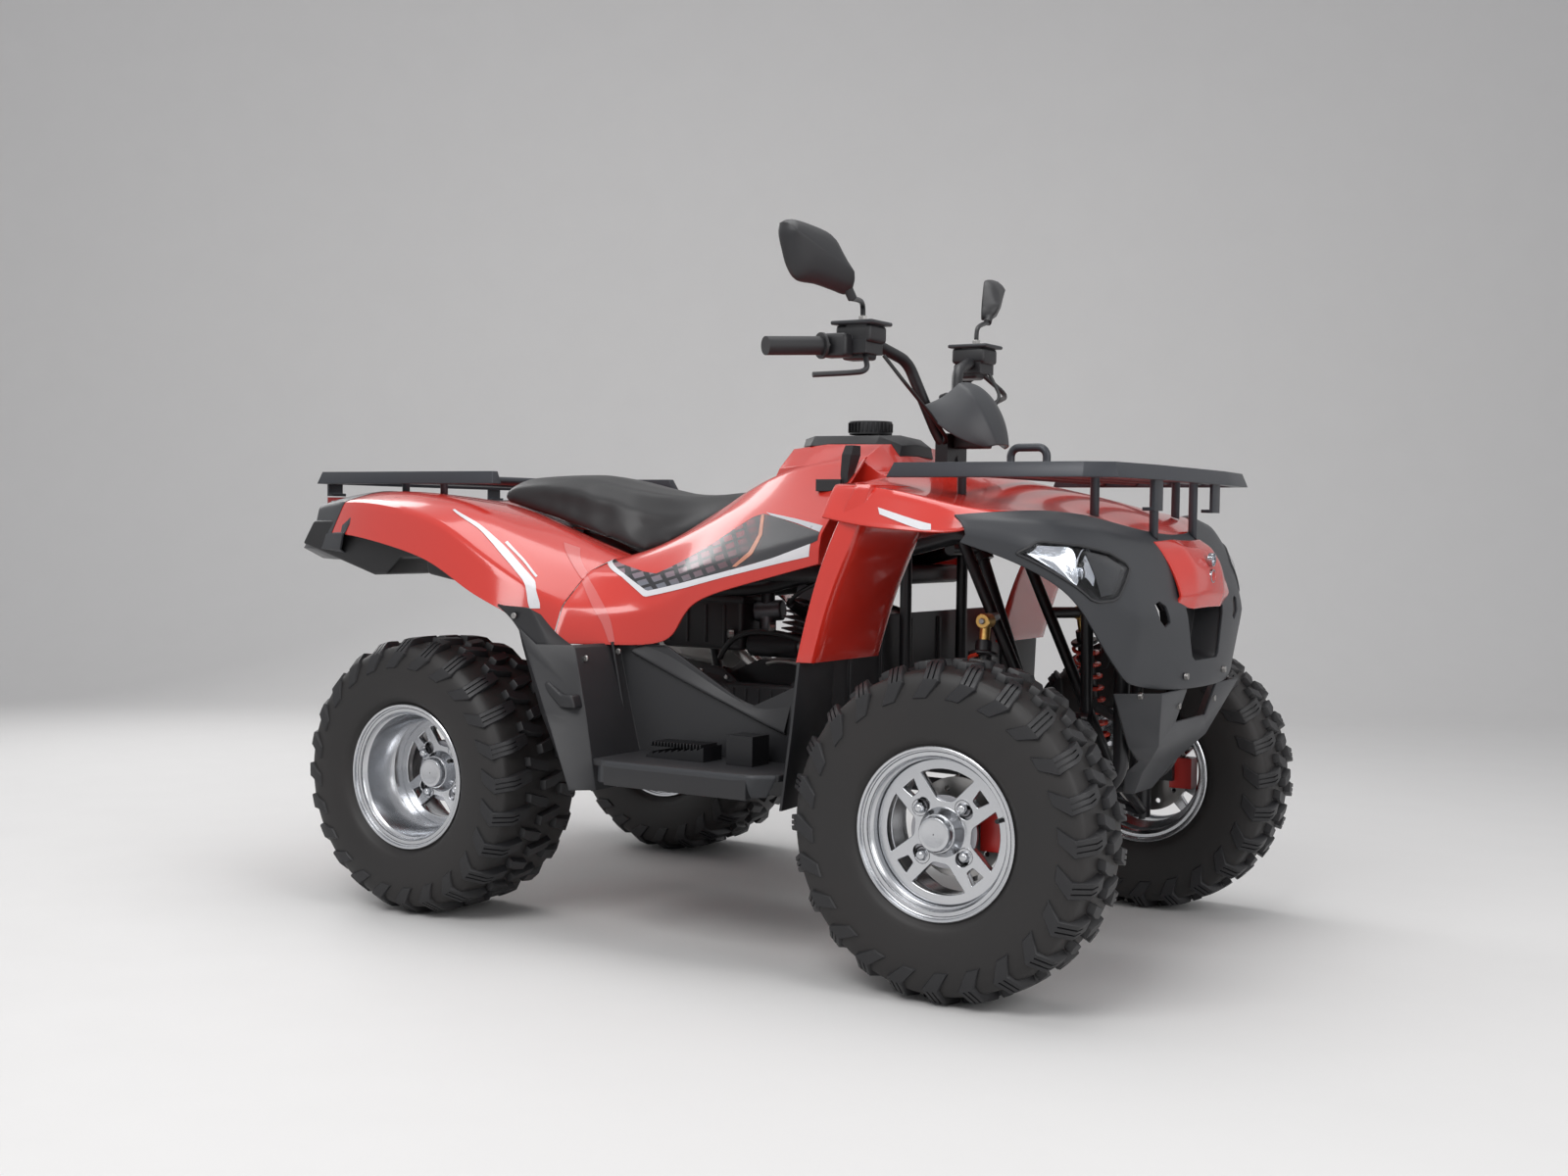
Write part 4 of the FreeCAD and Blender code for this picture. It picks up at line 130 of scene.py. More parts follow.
SIDEWALL = material("sidewall_rubber", (0.013, 0.012, 0.012), 0.55, bump=0.08, scale=420, mottle=0.5,
                    dirt=(0.022, 0.018, 0.017))
VINYL = material("seat_vinyl", (0.014, 0.014, 0.015), 0.44, bump=0.12, scale=650, mottle=0.3,
                 dirt=(0.022, 0.022, 0.024))
ALLOY = material("polished_alloy", (0.56, 0.57, 0.59), 0.22, metal=1.0, bump=0.02, scale=60, edge=0.0012)
MACHINED = material("machined_alloy", (0.34, 0.34, 0.36), 0.34, metal=1.0, bump=0.05, scale=300, edge=0.001)
STEEL = material("steel", (0.4, 0.39, 0.38), 0.34, metal=1.0, bump=0.06, scale=500, mottle=0.5,
                 dirt=(0.2, 0.19, 0.18), edge=0.0008)
CAST = material("cast_dark", (0.035, 0.035, 0.038), 0.46, metal=0.5, bump=0.3, scale=380, edge=0.0015)
FINS = material("cast_light", (0.16, 0.16, 0.17), 0.45, metal=0.8, bump=0.3, scale=380, edge=0.001)
CHROME = material("lamp_chrome", (0.5, 0.52, 0.55), 0.16, metal=1.0, bump=0.9, scale=120)
BRASS = material("gold_fitting", (0.72, 0.45, 0.15), 0.32, metal=1.0, bump=0.05, scale=300)
SPRING = material("spring_red", (0.68, 0.05, 0.022), 0.32, coat=0.4, bump=0.04, scale=300)
CALIPER = material("caliper_red", (0.5, 0.02, 0.015), 0.32, coat=0.3, bump=0.05, scale=300, edge=0.002)
HOSE = material("hose_rubber", (0.009, 0.009, 0.01), 0.48, bump=0.1, scale=800)
GRIP = material("grip_rubber", (0.018, 0.018, 0.02), 0.58, bump=0.15, scale=700)
GLASS = material("clear_lens", (0.97, 0.98, 1.0), 0.03, transmission=1.0, ior=1.2, bump=0.01, scale=20)
MIRROR = material("mirror_glass", (0.8, 0.82, 0.85), 0.04, metal=1.0, bump=0.005, scale=10)
WHITE = material("stripe_white", (0.74, 0.74, 0.76), 0.28, coat=0.4, mottle=0.2, mottle_scale=20,
                 dirt=(0.66, 0.66, 0.7))
SILVER = material("stripe_silver", (0.5, 0.5, 0.53), 0.28, metal=0.3, coat=0.4, mottle=0.2, mottle_scale=12)
# Painted highlight: a lighter pink band laid over the red skins where light falls on them.
PAINTED_PINK_HIGHLIGHT = material("painted_highlight_pink", (0.66, 0.12, 0.11), 0.24, coat=0.5, mottle=0.2, mottle_scale=12)
STREAK = material("film_orange", (0.62, 0.26, 0.16), 0.3, coat=0.4, mottle=0.6, mottle_scale=40,
                  dirt=(0.3, 0.1, 0.07))
TAIL = material("tail_lens", (0.4, 0.01, 0.01), 0.1, transmission=0.4, bump=0.2, scale=120)


def graphic_material():
    """Black film with a slanted grey and red mesh that fades towards the front."""
    film = (0.012, 0.012, 0.016)
    made = material("side_graphic", film, 0.22, coat=0.6)
    tree = made.node_tree
    coords = node(tree, "TexCoord").outputs["Object"]
    turn = node(tree, "Mapping", {"Rotation": (0, math.radians(32), 0), "Scale": (30, 1, 62), "Vector": coords})
    split = node(tree, "SeparateXYZ", {"Vector": turn.outputs["Vector"]})
    steps = []
    for axis in ("X", "Z"):
        wave = node(tree, "Math", {0: split.outputs[axis], 1: 0.5}, operation="PINGPONG")
        steps.append(node(tree, "Math", {0: wave.outputs[0], 1: 0.17}, operation="GREATER_THAN").outputs[0])
    cell = node(tree, "Math", dict(enumerate(steps)), operation="MULTIPLY")
    place = node(tree, "SeparateXYZ", {"Vector": coords})
    fade = node(tree, "MapRange", {"From Min": along(0.4), "From Max": along(0.6), "To Min": 1, "To Max": 0,
                                   "Value": place.outputs["X"]})
    keep = node(tree, "Math", {0: cell.outputs[0], 1: fade.outputs["Result"]}, operation="MULTIPLY")
    tint = node(tree, "MapRange", {"From Min": 0.66, "From Max": 0.76, "Value": place.outputs["Z"]})
    hue = node(tree, "Mix", {"A": (0.16, 0.17, 0.2, 1), "B": (0.42, 0.03, 0.05, 1),
                             "Factor": tint.outputs["Result"]}, data_type="RGBA")
    mix = node(tree, "Mix", {"A": (*film, 1), "B": hue.outputs["Result"], "Factor": keep.outputs[0]},
               data_type="RGBA")
    fill(tree, tree.nodes["Principled BSDF"], {"Base Color": mix.outputs["Result"]})
    return made


GRAPHIC = graphic_material()


# ---------------------------------------------------------------- mesh tools

HAIR = 0.0001    # radius that stands for a closed end on the axis of a turned form
WELD = 1e-6      # points nearer than this are one


def shade(mesh, angle):
    """Smooth faces, with edges sharper than an angle in degrees kept."""
    mesh.polygons.foreach_set("use_smooth", [True] * len(mesh.polygons))
    mesh.set_sharp_from_angle(angle=math.radians(angle))


def paint(mesh, look):
    """One material in place of all others."""
    mesh.materials.clear()
    mesh.materials.append(look)


def linked(name, data, angle=None):
    """An object of some data in the scene, shaded where an angle is given."""
    made = bpy.data.objects.new(name, data)
    bpy.context.scene.collection.objects.link(made)
    if angle is not None:
        shade(data, angle)
    return made


def raw_mesh(name, verts, faces, *looks):
    """A mesh of points and faces, as they are."""
    mesh = bpy.data.meshes.new(name)
    mesh.from_pydata([tuple(v) for v in verts], [], faces)
    for look in looks:
        mesh.materials.append(look)
    return mesh


def from_bmesh(name, work, look=None, angle=None):
    """An object of a bmesh, which is freed."""
    mesh = bpy.data.meshes.new(name)
    work.to_mesh(mesh)
    work.free()
    if look:
        mesh.materials.append(look)
    return linked(name, mesh, angle)


@contextmanager
def opened(mesh):
    """A mesh opened for editing and written back at the end."""
    work = bmesh.new()
    work.from_mesh(mesh)
    yield work
    work.to_mesh(mesh)
    work.free()


def mesh_object(name, verts, faces, look, angle=40):
    """An object of points and faces: welded, with its faces outwards."""
    mesh = raw_mesh(name, verts, faces, look)
    with opened(mesh) as work:
        bmesh.ops.remove_doubles(work, verts=work.verts, dist=WELD)
        bmesh.ops.recalc_face_normals(work, faces=work.faces)
    return linked(name, mesh, angle)


def grid_faces(rows, columns, closed=False, looped=False):
    """Faces over rows of points; closed joins a row's ends, looped joins the last row to the first."""
    faces = []
    for r in range(rows if looped else rows - 1):
        a, b = r * columns, (r + 1) % rows * columns
        for c in range(columns if closed else columns - 1):
            d = (c + 1) % columns
            faces.append([a + c, a + d, b + d, b + c])
    return faces


def modify(made, kind, **settings):
    """Adds a modifier with its settings."""
    modifier = made.modifiers.new(kind.lower(), kind)
    for key, value in settings.items():
        setattr(modifier, key, value)
    return modifier


def evaluated_mesh(made):
    """What an object gives with its modifiers."""
    return bpy.data.meshes.new_from_object(made.evaluated_get(bpy.context.evaluated_depsgraph_get()))


def bake(made, angle=40):
    """Applies every modifier of a piece."""
    mesh = evaluated_mesh(made)
    made.modifiers.clear()
    made.data = mesh
    shade(mesh, angle)
    return made


def joined(name, pieces):
    """Several baked pieces as one object with their materials kept."""
    looks, verts, faces, slots = [], [], [], []
    for piece in pieces:
        base = len(verts)
        verts += [piece.matrix_world @ v.co for v in piece.data.vertices]
        for face in piece.data.polygons:
            look = piece.data.materials[face.material_index]
            if look not in looks:
                looks.append(look)
            faces.append([base + i for i in face.vertices])
            slots.append(looks.index(look))
    mesh = raw_mesh(name, verts, faces, *looks)
    mesh.polygons.foreach_set("material_index", slots)
    made = linked(name, mesh)
    for piece in pieces:
        bpy.data.objects.remove(piece)
    shade(mesh, 38)
    return made


def copied(piece, name):
    """A copy with a mesh of its own."""
    copy = piece.copy()
    copy.data = piece.data.copy()
    copy.name = name
    bpy.context.scene.collection.objects.link(copy)
    return copy


def mirrored(piece, name):
    """A copy on the vehicle's other side."""
    copy = copied(piece, name)
    copy.data.transform(Matrix.Scale(-1, 4, (0, 1, 0)))
    copy.data.flip_normals()
    return copy


def curve_piece(name, curve, look, angle, turn=None):
    """The solid of a curve as a mesh."""
    source = linked(name, curve)
    mesh = evaluated_mesh(source)
    bpy.data.objects.remove(source)
    if turn:
        mesh.transform(turn)
    paint(mesh, look)
    return linked(name, mesh, angle)


def add_spline(curve, kind, points):
    """A run of points in a curve."""
    spline = curve.splines.new(kind)
    spline.points.add(len(points) - 1)
    for control, point in zip(spline.points, points):
        control.co = (*point, 1)
    return spline


def tube(name, points, radius, look, resolution=3, steps=6, smooth=True):
    """A round tube along a smooth or a bent line, as a mesh."""
    curve = bpy.data.curves.new(name, "CURVE")
    curve.dimensions = "3D"
    curve.bevel_depth = radius
    curve.bevel_resolution = resolution
    curve.use_fill_caps = True
    spline = add_spline(curve, "NURBS" if smooth else "POLY", points)
    if smooth:
        spline.order_u = min(4, len(points))
        spline.use_endpoint_u = True
        spline.resolution_u = steps
    return curve_piece(name, curve, look, 50)


def revolve(name, profile, centre, axis, look, steps=96, angle=32, closed=True):
    """A profile of (distance along, radius) turned about an axis through the centre."""
    axis = Vector(axis).normalized()
    side = axis.cross(Vector((0.31, 0.2, 0.93))).normalized()
    other = axis.cross(side)
    verts = []
    for step in range(steps):
        turn = 2 * math.pi * step / steps
        ray = side * math.cos(turn) + other * math.sin(turn)
        verts += [Vector(centre) + axis * a + ray * r for a, r in profile]
    return mesh_object(name, verts, grid_faces(steps, len(profile), closed, looped=True), look, angle)


def rod(name, start, end, radius, look, chamfer=0.0, steps=32):
    """A cylinder between two points with its ends chamfered."""
    start, end = Vector(start), Vector(end)
    length = (end - start).length
    cut = chamfer or min(radius, length) * 0.06
    profile = [(0, HAIR), (0, radius - cut), (cut, radius), (length - cut, radius), (length, radius - cut),
               (length, HAIR)]
    return revolve(name, profile, start, end - start, look, steps, 30, closed=False)


def box(name, low, high, look, round_edge=0.002, turn=None):
    """A box between two corners with its edges rounded, turned at the end."""
    work = bmesh.new()
    bmesh.ops.create_cube(work, size=1)
    low, high = Vector(low), Vector(high)
    for vert in work.verts:
        vert.co = Vector([low[i] + (vert.co[i] + 0.5) * (high[i] - low[i]) for i in range(3)])
    if turn:
        work.transform(turn)
    bmesh.ops.bevel(work, geom=work.edges, offset=round_edge, segments=3, affect="EDGES", profile=0.5)
    return from_bmesh(name, work, look, 35)


def side_box(name, side, low, high, look, round_edge):
    """A box whose corners are given for the left side, on either side."""
    near, far = sorted((side * low[1], side * high[1]))
    return box(name, (low[0], near, low[2]), (high[0], far, high[2]), look, round_edge)


def screw(name, place, axis, root=0.0):
    """A domed screw head."""
    return revolve(name, [(root, HAIR), (root, 0.0062), (0.0022, 0.0055), (0.003, 0.003), (0.0022, HAIR)], place,
                   axis, STEEL, 20, closed=False)


def about(centre, degrees, axis):
    """A turn about a line through a point."""
    centre = Vector(centre)
    return Matrix.Translation(centre) @ Matrix.Rotation(math.radians(degrees), 4, axis) @ Matrix.Translation(-centre)


def polar(radius, angle, centre=(0, 0)):
    """A point in a plane by its distance and angle from a centre."""
    return centre[0] + radius * math.cos(angle), centre[1] + radius * math.sin(angle)


def smooth_line(points, count):
    """A Catmull-Rom line through the points, sampled evenly by index."""
    points = [Vector(p) for p in points]
    padded = [points[0] * 2 - points[1]] + points + [points[-1] * 2 - points[-2]]
    line = []
    for index in range(count):
        t = index / (count - 1) * (len(points) - 1)
        k = min(int(t), len(points) - 2)
        u = t - k
        a, b, c, d = padded[k:k + 4]
        line.append(0.5 * ((2 * b) + (c - a) * u + (2 * a - 5 * b + 4 * c - d) * u * u
                           + (3 * b - a - 3 * c + d) * u ** 3))
    return line


def resampled(points, count):
    """Points spaced evenly along an open line of straight runs."""
    points = [Vector(p) for p in points]
    stops = [0.0]
    for a, b in zip(points, points[1:]):
        stops.append(stops[-1] + (b - a).length)
    line = []
    for index in range(count):
        t = stops[-1] * index / (count - 1)
        k = max(i for i in range(len(stops) - 1) if stops[i] <= t + 1e-12)
        u = (t - stops[k]) / (stops[k + 1] - stops[k])
        line.append(points[k].lerp(points[k + 1], min(u, 1)))
    return line


def closed_line(maker, outline, count):
    """A closed outline of pairs as that many points, by smooth_line or resampled."""
    line = maker([(*p, 0) for p in outline + outline[:1]], count + 1)[:-1]
    return [(p.x, p.y) for p in line]


def skin_of(target):
    """A piece's faces, ready for rays."""
    return BVHTree.FromPolygons([target.matrix_world @ v.co for v in target.data.vertices],
                                [f.vertices for f in target.data.polygons])


def decal(name, first, last, targets, look, columns=60, rows=10, lift=0.0008, smooth=False):
    """A film laid on the right side's panels between two lines of (x, z)."""
    trees = [skin_of(target) for target in targets]
    maker = smooth_line if smooth else resampled
    verts = []
    for a, b in zip(maker(first, columns), maker(last, columns)):
        for row in range(rows):
            spot_on = a.lerp(b, row / (rows - 1))
            hits = [tree.ray_cast(Vector((spot_on.x, -1.0, spot_on.y)), Vector((0, 1, 0))) for tree in trees]
            hits = [hit for hit in hits if hit[0] is not None]
            if not hits:
                hits = [tree.find_nearest(Vector((spot_on.x, -0.35, spot_on.y))) for tree in trees]
            place, normal = min(hits, key=lambda hit: hit[3])[:2]
            if normal.y > 0:
                normal = -normal
            verts.append(place + normal * lift)
    return mesh_object(name, verts, grid_faces(columns, rows), look, 80)


def put(piece, body, *nodes, slot=None):
    """Gives a piece its body and hides the CAD nodes it stands for; slot is not used."""
    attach(piece, body)
    if nodes:
        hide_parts(*nodes)
    return piece


# ---------------------------------------------------------------- wheels

TREAD_PITCHES = 24
# share of a block's half width, and how far its top drops there; 1.0 stands for the bottom of a sipe
LUG_COLUMNS = ((-1.0, 0.0012), (-0.91, 0.0), (-0.44, 0.0), (-0.41, 1.0), (-0.27, 1.0), (-0.24, 0.0), (0.24, 0.0),
               (0.27, 1.0), (0.41, 1.0), (0.44, 0.0), (0.91, 0.0), (1.0, 0.0012))
SIPE_DEPTH = 0.004
SIPE_WALL = 0.0004
LUG_DRAFT = 0.0016
LUG_ROOT = 0.003
BEAD_RADIUS = 0.1275
BOLT_CIRCLE = 0.055
SPOKE_DEPTH = 0.012
CORNER_STEPS = 5
LUG_CHAMFER = 0.0012
SHOULDER_LEAD = 0.004
MIDDLE_OFFSET = 0.62    # of a pitch, from the shoulder's block to the middle one
# end, middle on the left, tyre width, rim width, dish, turn of the spokes in degrees
WHEELS = (("front", (0.69, 0.454, 0.28), 0.18, 0.152, 0.034, 4),
          ("rear", (REAR_X, 0.424, 0.272), 0.254, 0.212, 0.104, 8))


def tyre_line(radius, width, rim_width):
    """Outer line of the carcass from the right bead to the left, as (across, radius)."""
    bead = rim_width / 2 - 0.0075
    half = [(bead, BEAD_RADIUS), (bead + 0.001, 0.14), (bead + 0.006, 0.1475), (width * 0.455, 0.158),
            (width * 0.478, radius * 0.68), (width * 0.478, radius * 0.78), (width * 0.46, radius * 0.865),
            (width * 0.425, radius * 0.915), (width * 0.37, radius * 0.94), (width * 0.2, radius * 0.952)]
    return half + [(0.0, radius * 0.955)] + [(-y, r) for y, r in half[::-1]]


def profile_sampler(line):
    """Place and outward normal on a profile by distance from its middle, signed."""
    points = smooth_line(line, 161)
    middle = len(points) // 2
    stops = [0.0]
    for a, b in zip(points, points[1:]):
        stops.append(stops[-1] + (b - a).length)
    base = stops[middle]

    def at(distance):
        t = min(max(base - distance, 0.0), stops[-1] - 1e-9)
        k = max(0, int(np.searchsorted(stops, t)) - 1)
        u = (t - stops[k]) / (stops[k + 1] - stops[k])
        spot = points[k].lerp(points[k + 1], u)
        run = (points[k + 1] - points[k]).normalized()
        normal = Vector((-run.y, run.x))
        if normal.y < -0.2 or (abs(normal.y) <= 0.2 and normal.x * spot.x < 0):
            normal = -normal
        return spot, normal
    return at


def distance_at(at, radius, reach):
    """Distance over the profile at which it has come down to a radius."""
    steps = [reach * k / 400 for k in range(401)]
    return next(s for s in steps if s > reach * 0.3 and at(s)[0].y <= radius)


def lug_block(work, at, centre, turn, side, keys, slit=None):
    """One raised block over the profile: chamfered top, sloping walls, and two cut sipes.

    keys are (distance from the middle, lead, half width, height), slit the sipes' first and last distance."""
    stops = [keys[0][0], keys[0][0] + 0.001] + [key[0] for key in keys[1:-1]] + [keys[-1][0] - 0.001, keys[-1][0]]
    if slit:
        low, high = slit
        stops = sorted(stops + [low, low + SIPE_WALL, high - SIPE_WALL, high])
    first, last = stops[0], stops[-1]
    stops = [first - LUG_DRAFT] + stops + [last + LUG_DRAFT]
    columns = [(-1.0, None)] + list(LUG_COLUMNS if slit else (c for c in LUG_COLUMNS if c[1] != 1.0)) + [(1.0, None)]
    places = [key[0] for key in keys]
    rows = []
    for number, s in enumerate(stops):
        lead, wide, high_lift = (float(np.interp(s, places, [key[k] for key in keys])) for k in (1, 2, 3))
        rim_row = number in (0, len(stops) - 1)
        chamfer_row = number in (1, len(stops) - 2)
        row = []
        for u, drop in columns:
            lift = high_lift - (LUG_CHAMFER if chamfer_row else 0.0)
            offset = lead + u * wide
            if drop is None:
                lift, offset = -LUG_ROOT, offset + u * LUG_DRAFT
            elif drop == 1.0:
                cut = slit and slit[0] + SIPE_WALL / 2 < s < slit[1] - SIPE_WALL / 2
                lift -= SIPE_DEPTH if cut else 0.0
            else:
                lift -= drop if not chamfer_row else drop * 0.4
            if rim_row:
                lift = -LUG_ROOT
            place, normal = at(side * s)
            place = place + normal * lift
            angle = turn + offset / place.y
            row.append(work.verts.new(Vector((math.cos(angle) * place.y, place.x,
                                              math.sin(angle) * place.y)) + centre))
        rows.append(row)
    for a, b in zip(rows, rows[1:]):
        for k in range(len(a) - 1):
            work.faces.new((a[k], a[k + 1], b[k + 1], b[k]))


def tyre(name, centre, radius, width, rim_width):
    """Carcass with a rounded sidewall, a rim guard, and rows of sharp lugs with real sipes."""
    centre = Vector(centre)
    line = tyre_line(radius, width, rim_width)
    at = profile_sampler(line)
    outer = [tuple(p) for p in smooth_line(line, 61)]
    inner = [(y * 0.9, max(r - 0.01, BEAD_RADIUS)) for y, r in outer[::-1]]
    carcass = revolve(name + "_carcass", outer + inner, centre, (0, 1, 0), SIDEWALL, 144, 40)
    work = bmesh.new()
    pitch = 2 * math.pi / TREAD_PITCHES
    tread = radius * 0.045
    half = width * 0.5
    reach = half + radius * 0.3
    edge, knee, foot = (distance_at(at, radius * share, reach) for share in (0.944, 0.885, 0.79))
    lead = SHOULDER_LEAD
    shoulder = ((half * 0.34, lead + 0.016, 0.0105, tread), (edge - 0.012, lead + 0.008, 0.0125, tread),
                (edge, lead + 0.005, 0.0135, tread * 0.97), (knee, lead, 0.014, 0.0075),
                (knee + (foot - knee) * 0.5, lead + 0.01, 0.013, 0.0048), (foot, lead + 0.02, 0.012, 0.003))
    middle = ((-half * 0.05, -0.012, 0.009, tread), (half * 0.18, -0.006, 0.0105, tread),
              (half * 0.36, 0.002, 0.0085, tread))
    for index in range(TREAD_PITCHES):
        for hand in (-1, 1):
            turn = pitch * (index + (0.5 if hand > 0 else 0.0))
            lug_block(work, at, centre, turn, hand, shoulder, (edge - 0.014, knee - 0.002))
            lug_block(work, at, centre, turn + pitch * MIDDLE_OFFSET, hand, middle)
    bmesh.ops.recalc_face_normals(work, faces=work.faces)
    return joined(name, [carcass, from_bmesh(name + "_lugs", work, RUBBER)])


def softened(points, radius):
    """A closed outline with its corners rounded."""
    out = []
    for a, b, c in zip(points[-1:] + points[:-1], points, points[1:] + points[:1]):
        a, b, c = Vector(a), Vector(b), Vector(c)
        u, v = a - b, c - b
        d = min(radius, u.length * 0.45, v.length * 0.45)
        p, q = b + u.normalized() * d, b + v.normalized() * d
        for k in range(CORNER_STEPS + 1):
            t = k / CORNER_STEPS
            out.append(tuple(p.lerp(b, t).lerp(b.lerp(q, t), t)))
    return out


def spoke_plate(name, centre, face_y, side, radius, turn):
    """The polished spoke face: four large windows, four small ones, bevelled edges."""
    curve = bpy.data.curves.new(name, "CURVE")
    curve.dimensions = "2D"
    curve.fill_mode = "BOTH"
    curve.extrude = SPOKE_DEPTH / 2
    curve.bevel_depth = 0.0018
    curve.bevel_resolution = 2
    wide, foot, low, high = (math.radians(half) for half in (29, 16, 6.5, 8.5))
    outlines = [[polar(radius - 0.002, 2 * math.pi * i / 120) for i in range(120)]]
    for index in range(4):
        middle = turn + index * math.pi / 2
        spoke = middle + math.pi / 4
        large = [polar(radius * 0.875, middle + wide * (i / 7 - 1)) for i in range(15)]
        outlines.append(softened(large + [polar(0.052, middle + foot), polar(0.052, middle - foot)], 0.007))
        outlines.append(softened([polar(radius * share, spoke + a) for share, a in (
            (0.63, -low), (0.845, -high), (0.845, high), (0.63, low))], 0.004))
        outlines.append([polar(0.0135, t * math.pi / 12, polar(BOLT_CIRCLE, spoke)) for t in range(24)])
    for points in outlines:
        add_spline(curve, "POLY", [(*p, 0) for p in points]).use_cyclic_u = True
    upright = Matrix.Rotation(math.radians(90) * side, 4, "X")
    return curve_piece(name, curve, ALLOY, 30, Matrix.Translation(
        (centre[0], face_y - side * SPOKE_DEPTH / 2, centre[2])) @ upright)


def acorn(name, place, side):
    """A domed hexagon nut."""
    rings = ((-0.01, 0.01), (0.004, 0.01), (0.0052, 0.0088), (0.009, 0.0078), (0.0118, 0.0052), (0.0128, 0.0))
    sixth, verts = math.radians(60), []
    for number, (out, r) in enumerate(rings):
        for k in range(24):
            angle = math.radians(15 * k)
            flat = math.cos(sixth / 2) / math.cos(angle % sixth - sixth / 2) if number < 2 else 1
            verts.append((place[0] + r * flat * math.cos(angle), place[1] + side * out,
                          place[2] + r * flat * math.sin(angle)))
    return mesh_object(name, verts, grid_faces(len(rings), 24, True), ALLOY, 30)


def rim(name, centre, side, rim_width, dish, turn):
    """Polished barrel with a stepped lip, the spoke face, nuts in wells and a plain cap."""
    half = rim_width / 2
    lip, seat_radius, well = 0.143, 0.127, 0.113
    outer = [(half, lip - 0.002), (half - 0.0015, lip), (half - 0.0055, lip - 0.0004), (half - 0.007, 0.1395),
             (half - 0.0075, seat_radius), (half * 0.39, seat_radius), (half * 0.25, well)]
    inner = [(half - 0.001, 0.1375), (half - 0.006, 0.1365), (half - 0.01, 0.1275), (half - 0.017, 0.1245),
             (half - 0.02, 0.1205), (half * 0.4, 0.1195), (half * 0.24, 0.1062)]
    outline = outer + [(-a, r) for a, r in outer[::-1]] + [(-a, r) for a, r in inner] + inner[::-1]
    barrel = revolve(name + "_barrel", [(side * a, r) for a, r in outline], centre, (0, 1, 0), ALLOY, 112, 28)
    deep = half - dish
    face_y = centre[1] + side * deep
    reach = 0.1195 if abs(deep) > half * 0.4 else 0.1065 + max(0, (abs(deep) - half * 0.24)) * 0.6
    pieces = [barrel, spoke_plate(name + "_face", centre, face_y, side, reach, turn)]
    for part, profile, look, angle in (
            ("hub", [(-0.018, 0.03), (-0.018, 0.05), (-0.01, 0.06), (-0.004, 0.06), (-0.004, 0.03)],
             MACHINED, 32),
            ("boss", [(-0.002, 0.001), (-0.002, 0.042), (0.006, 0.04), (0.012, 0.0345), (0.019, 0.033),
                      (0.021, 0.0315), (0.021, 0.001)], ALLOY, 32),
            ("cap", [(0.019, 0.001), (0.019, 0.03), (0.03, 0.0292), (0.0335, 0.027), (0.0345, 0.0225),
                     (0.0338, 0.02), (0.0338, 0.001)], ALLOY, 40)):
        pieces.append(revolve(f"{name}_{part}", profile, (centre[0], face_y, centre[2]), (0, side, 0), look, 64, angle))
    for index in range(4):
        x, z = polar(BOLT_CIRCLE, turn + math.pi / 4 + index * math.pi / 2, (centre[0], centre[2]))
        pieces.append(revolve(f"{name}_well_{index}", [(-0.013, 0.001), (-0.013, 0.015), (0.0016, 0.015),
                                                       (0.002, 0.0135), (-0.009, 0.0128), (-0.01, 0.001)],
                              (x, face_y, z), (0, side, 0), CAST, 32))
        pieces.append(acorn(f"{name}_nut_{index}", (x, face_y, z), side))
    x, z = polar(0.112, turn + math.radians(12), (centre[0], centre[2]))
    foot = Vector((x, centre[1] + side * (half - 0.024), z))
    pieces.append(rod(name + "_valve", foot - Vector((0, side * 0.01, 0)), foot + Vector((0, side * 0.014, 0)), 0.004,
                      HOSE, steps=16))
    return joined(name, pieces)


def wheels():
    """The four tyres and rims; the rear pair rides on the axle."""
    for end, (x, y, radius), width, rim_width, dish, turn in WHEELS:
        for side in SIDES:
            name = f"{end}_{SIDE_NAMES[side]}"
            centre = (x, side * y, radius)
            if end == "front":
                body = "front_wheel_" + SIDE_NAMES[side]
                nodes = ["front_tyre_" + SIDE_NAMES[side], "front_rim_" + SIDE_NAMES[side]]
            else:
                body, nodes = "rear_axle", ["rear_tyres", "rear_rims"] if side == SIDES[0] else []
            put(tyre("tyre_" + name, centre, radius, width, rim_width), body, *nodes[:1], slot="tyre_rubber")
            put(rim("rim_" + name, centre, side, rim_width, dish, math.radians(turn)), body, *nodes[1:],
                slot="wheel_alloy")


wheels()


# ---------------------------------------------------------------- body panels

def spot(x, y, z):
    """A point with its place along given as a share of the wheelbase."""
    return Vector((along(x), y, z))


def cutter(outline, plane, low, high):
    """A closed prism from an outline in a plane; plane names its two axes."""
    one, two = ("xyz".index(letter) for letter in plane)
    work = bmesh.new()
    ends = []
    for depth in (low, high):
        ends.append([])
        for pair in outline:
            corner = [depth] * 3
            corner[one], corner[two] = pair
            ends[-1].append(work.verts.new(corner))
    first, last = ends
    work.faces.new(first)
    work.faces.new(last[::-1])
    for i in range(len(outline)):
        j = (i + 1) % len(outline)
        work.faces.new([first[i], last[i], last[j], first[j]])
    bmesh.ops.recalc_face_normals(work, faces=work.faces)
    return from_bmesh("cutter", work)


def drum(start, end, radius):
    """A closed cylinder to cut with."""
    work = bmesh.new()
    bmesh.ops.create_cone(work, cap_ends=True, segments=48, radius1=radius, radius2=radius,
                          depth=(end - start).length)
    made = from_bmesh("cutter", work)
    turn = (end - start).to_track_quat("Z", "Y").to_matrix().to_4x4()
    made.data.transform(Matrix.Translation((start + end) / 2) @ turn)
    return made


def block(name, outline, side, low, high, look, width):
    """A prism with rounded edges from an outline of (x, z), between two distances from the middle."""
    made = cutter(outline, "xz", *sorted((side * low, side * high)))
    made.name = name
    made.data.materials.append(look)
    modify(made, "BEVEL", width=width, segments=3, limit_method="ANGLE", angle_limit=math.radians(20))
    return bake(made, 30)


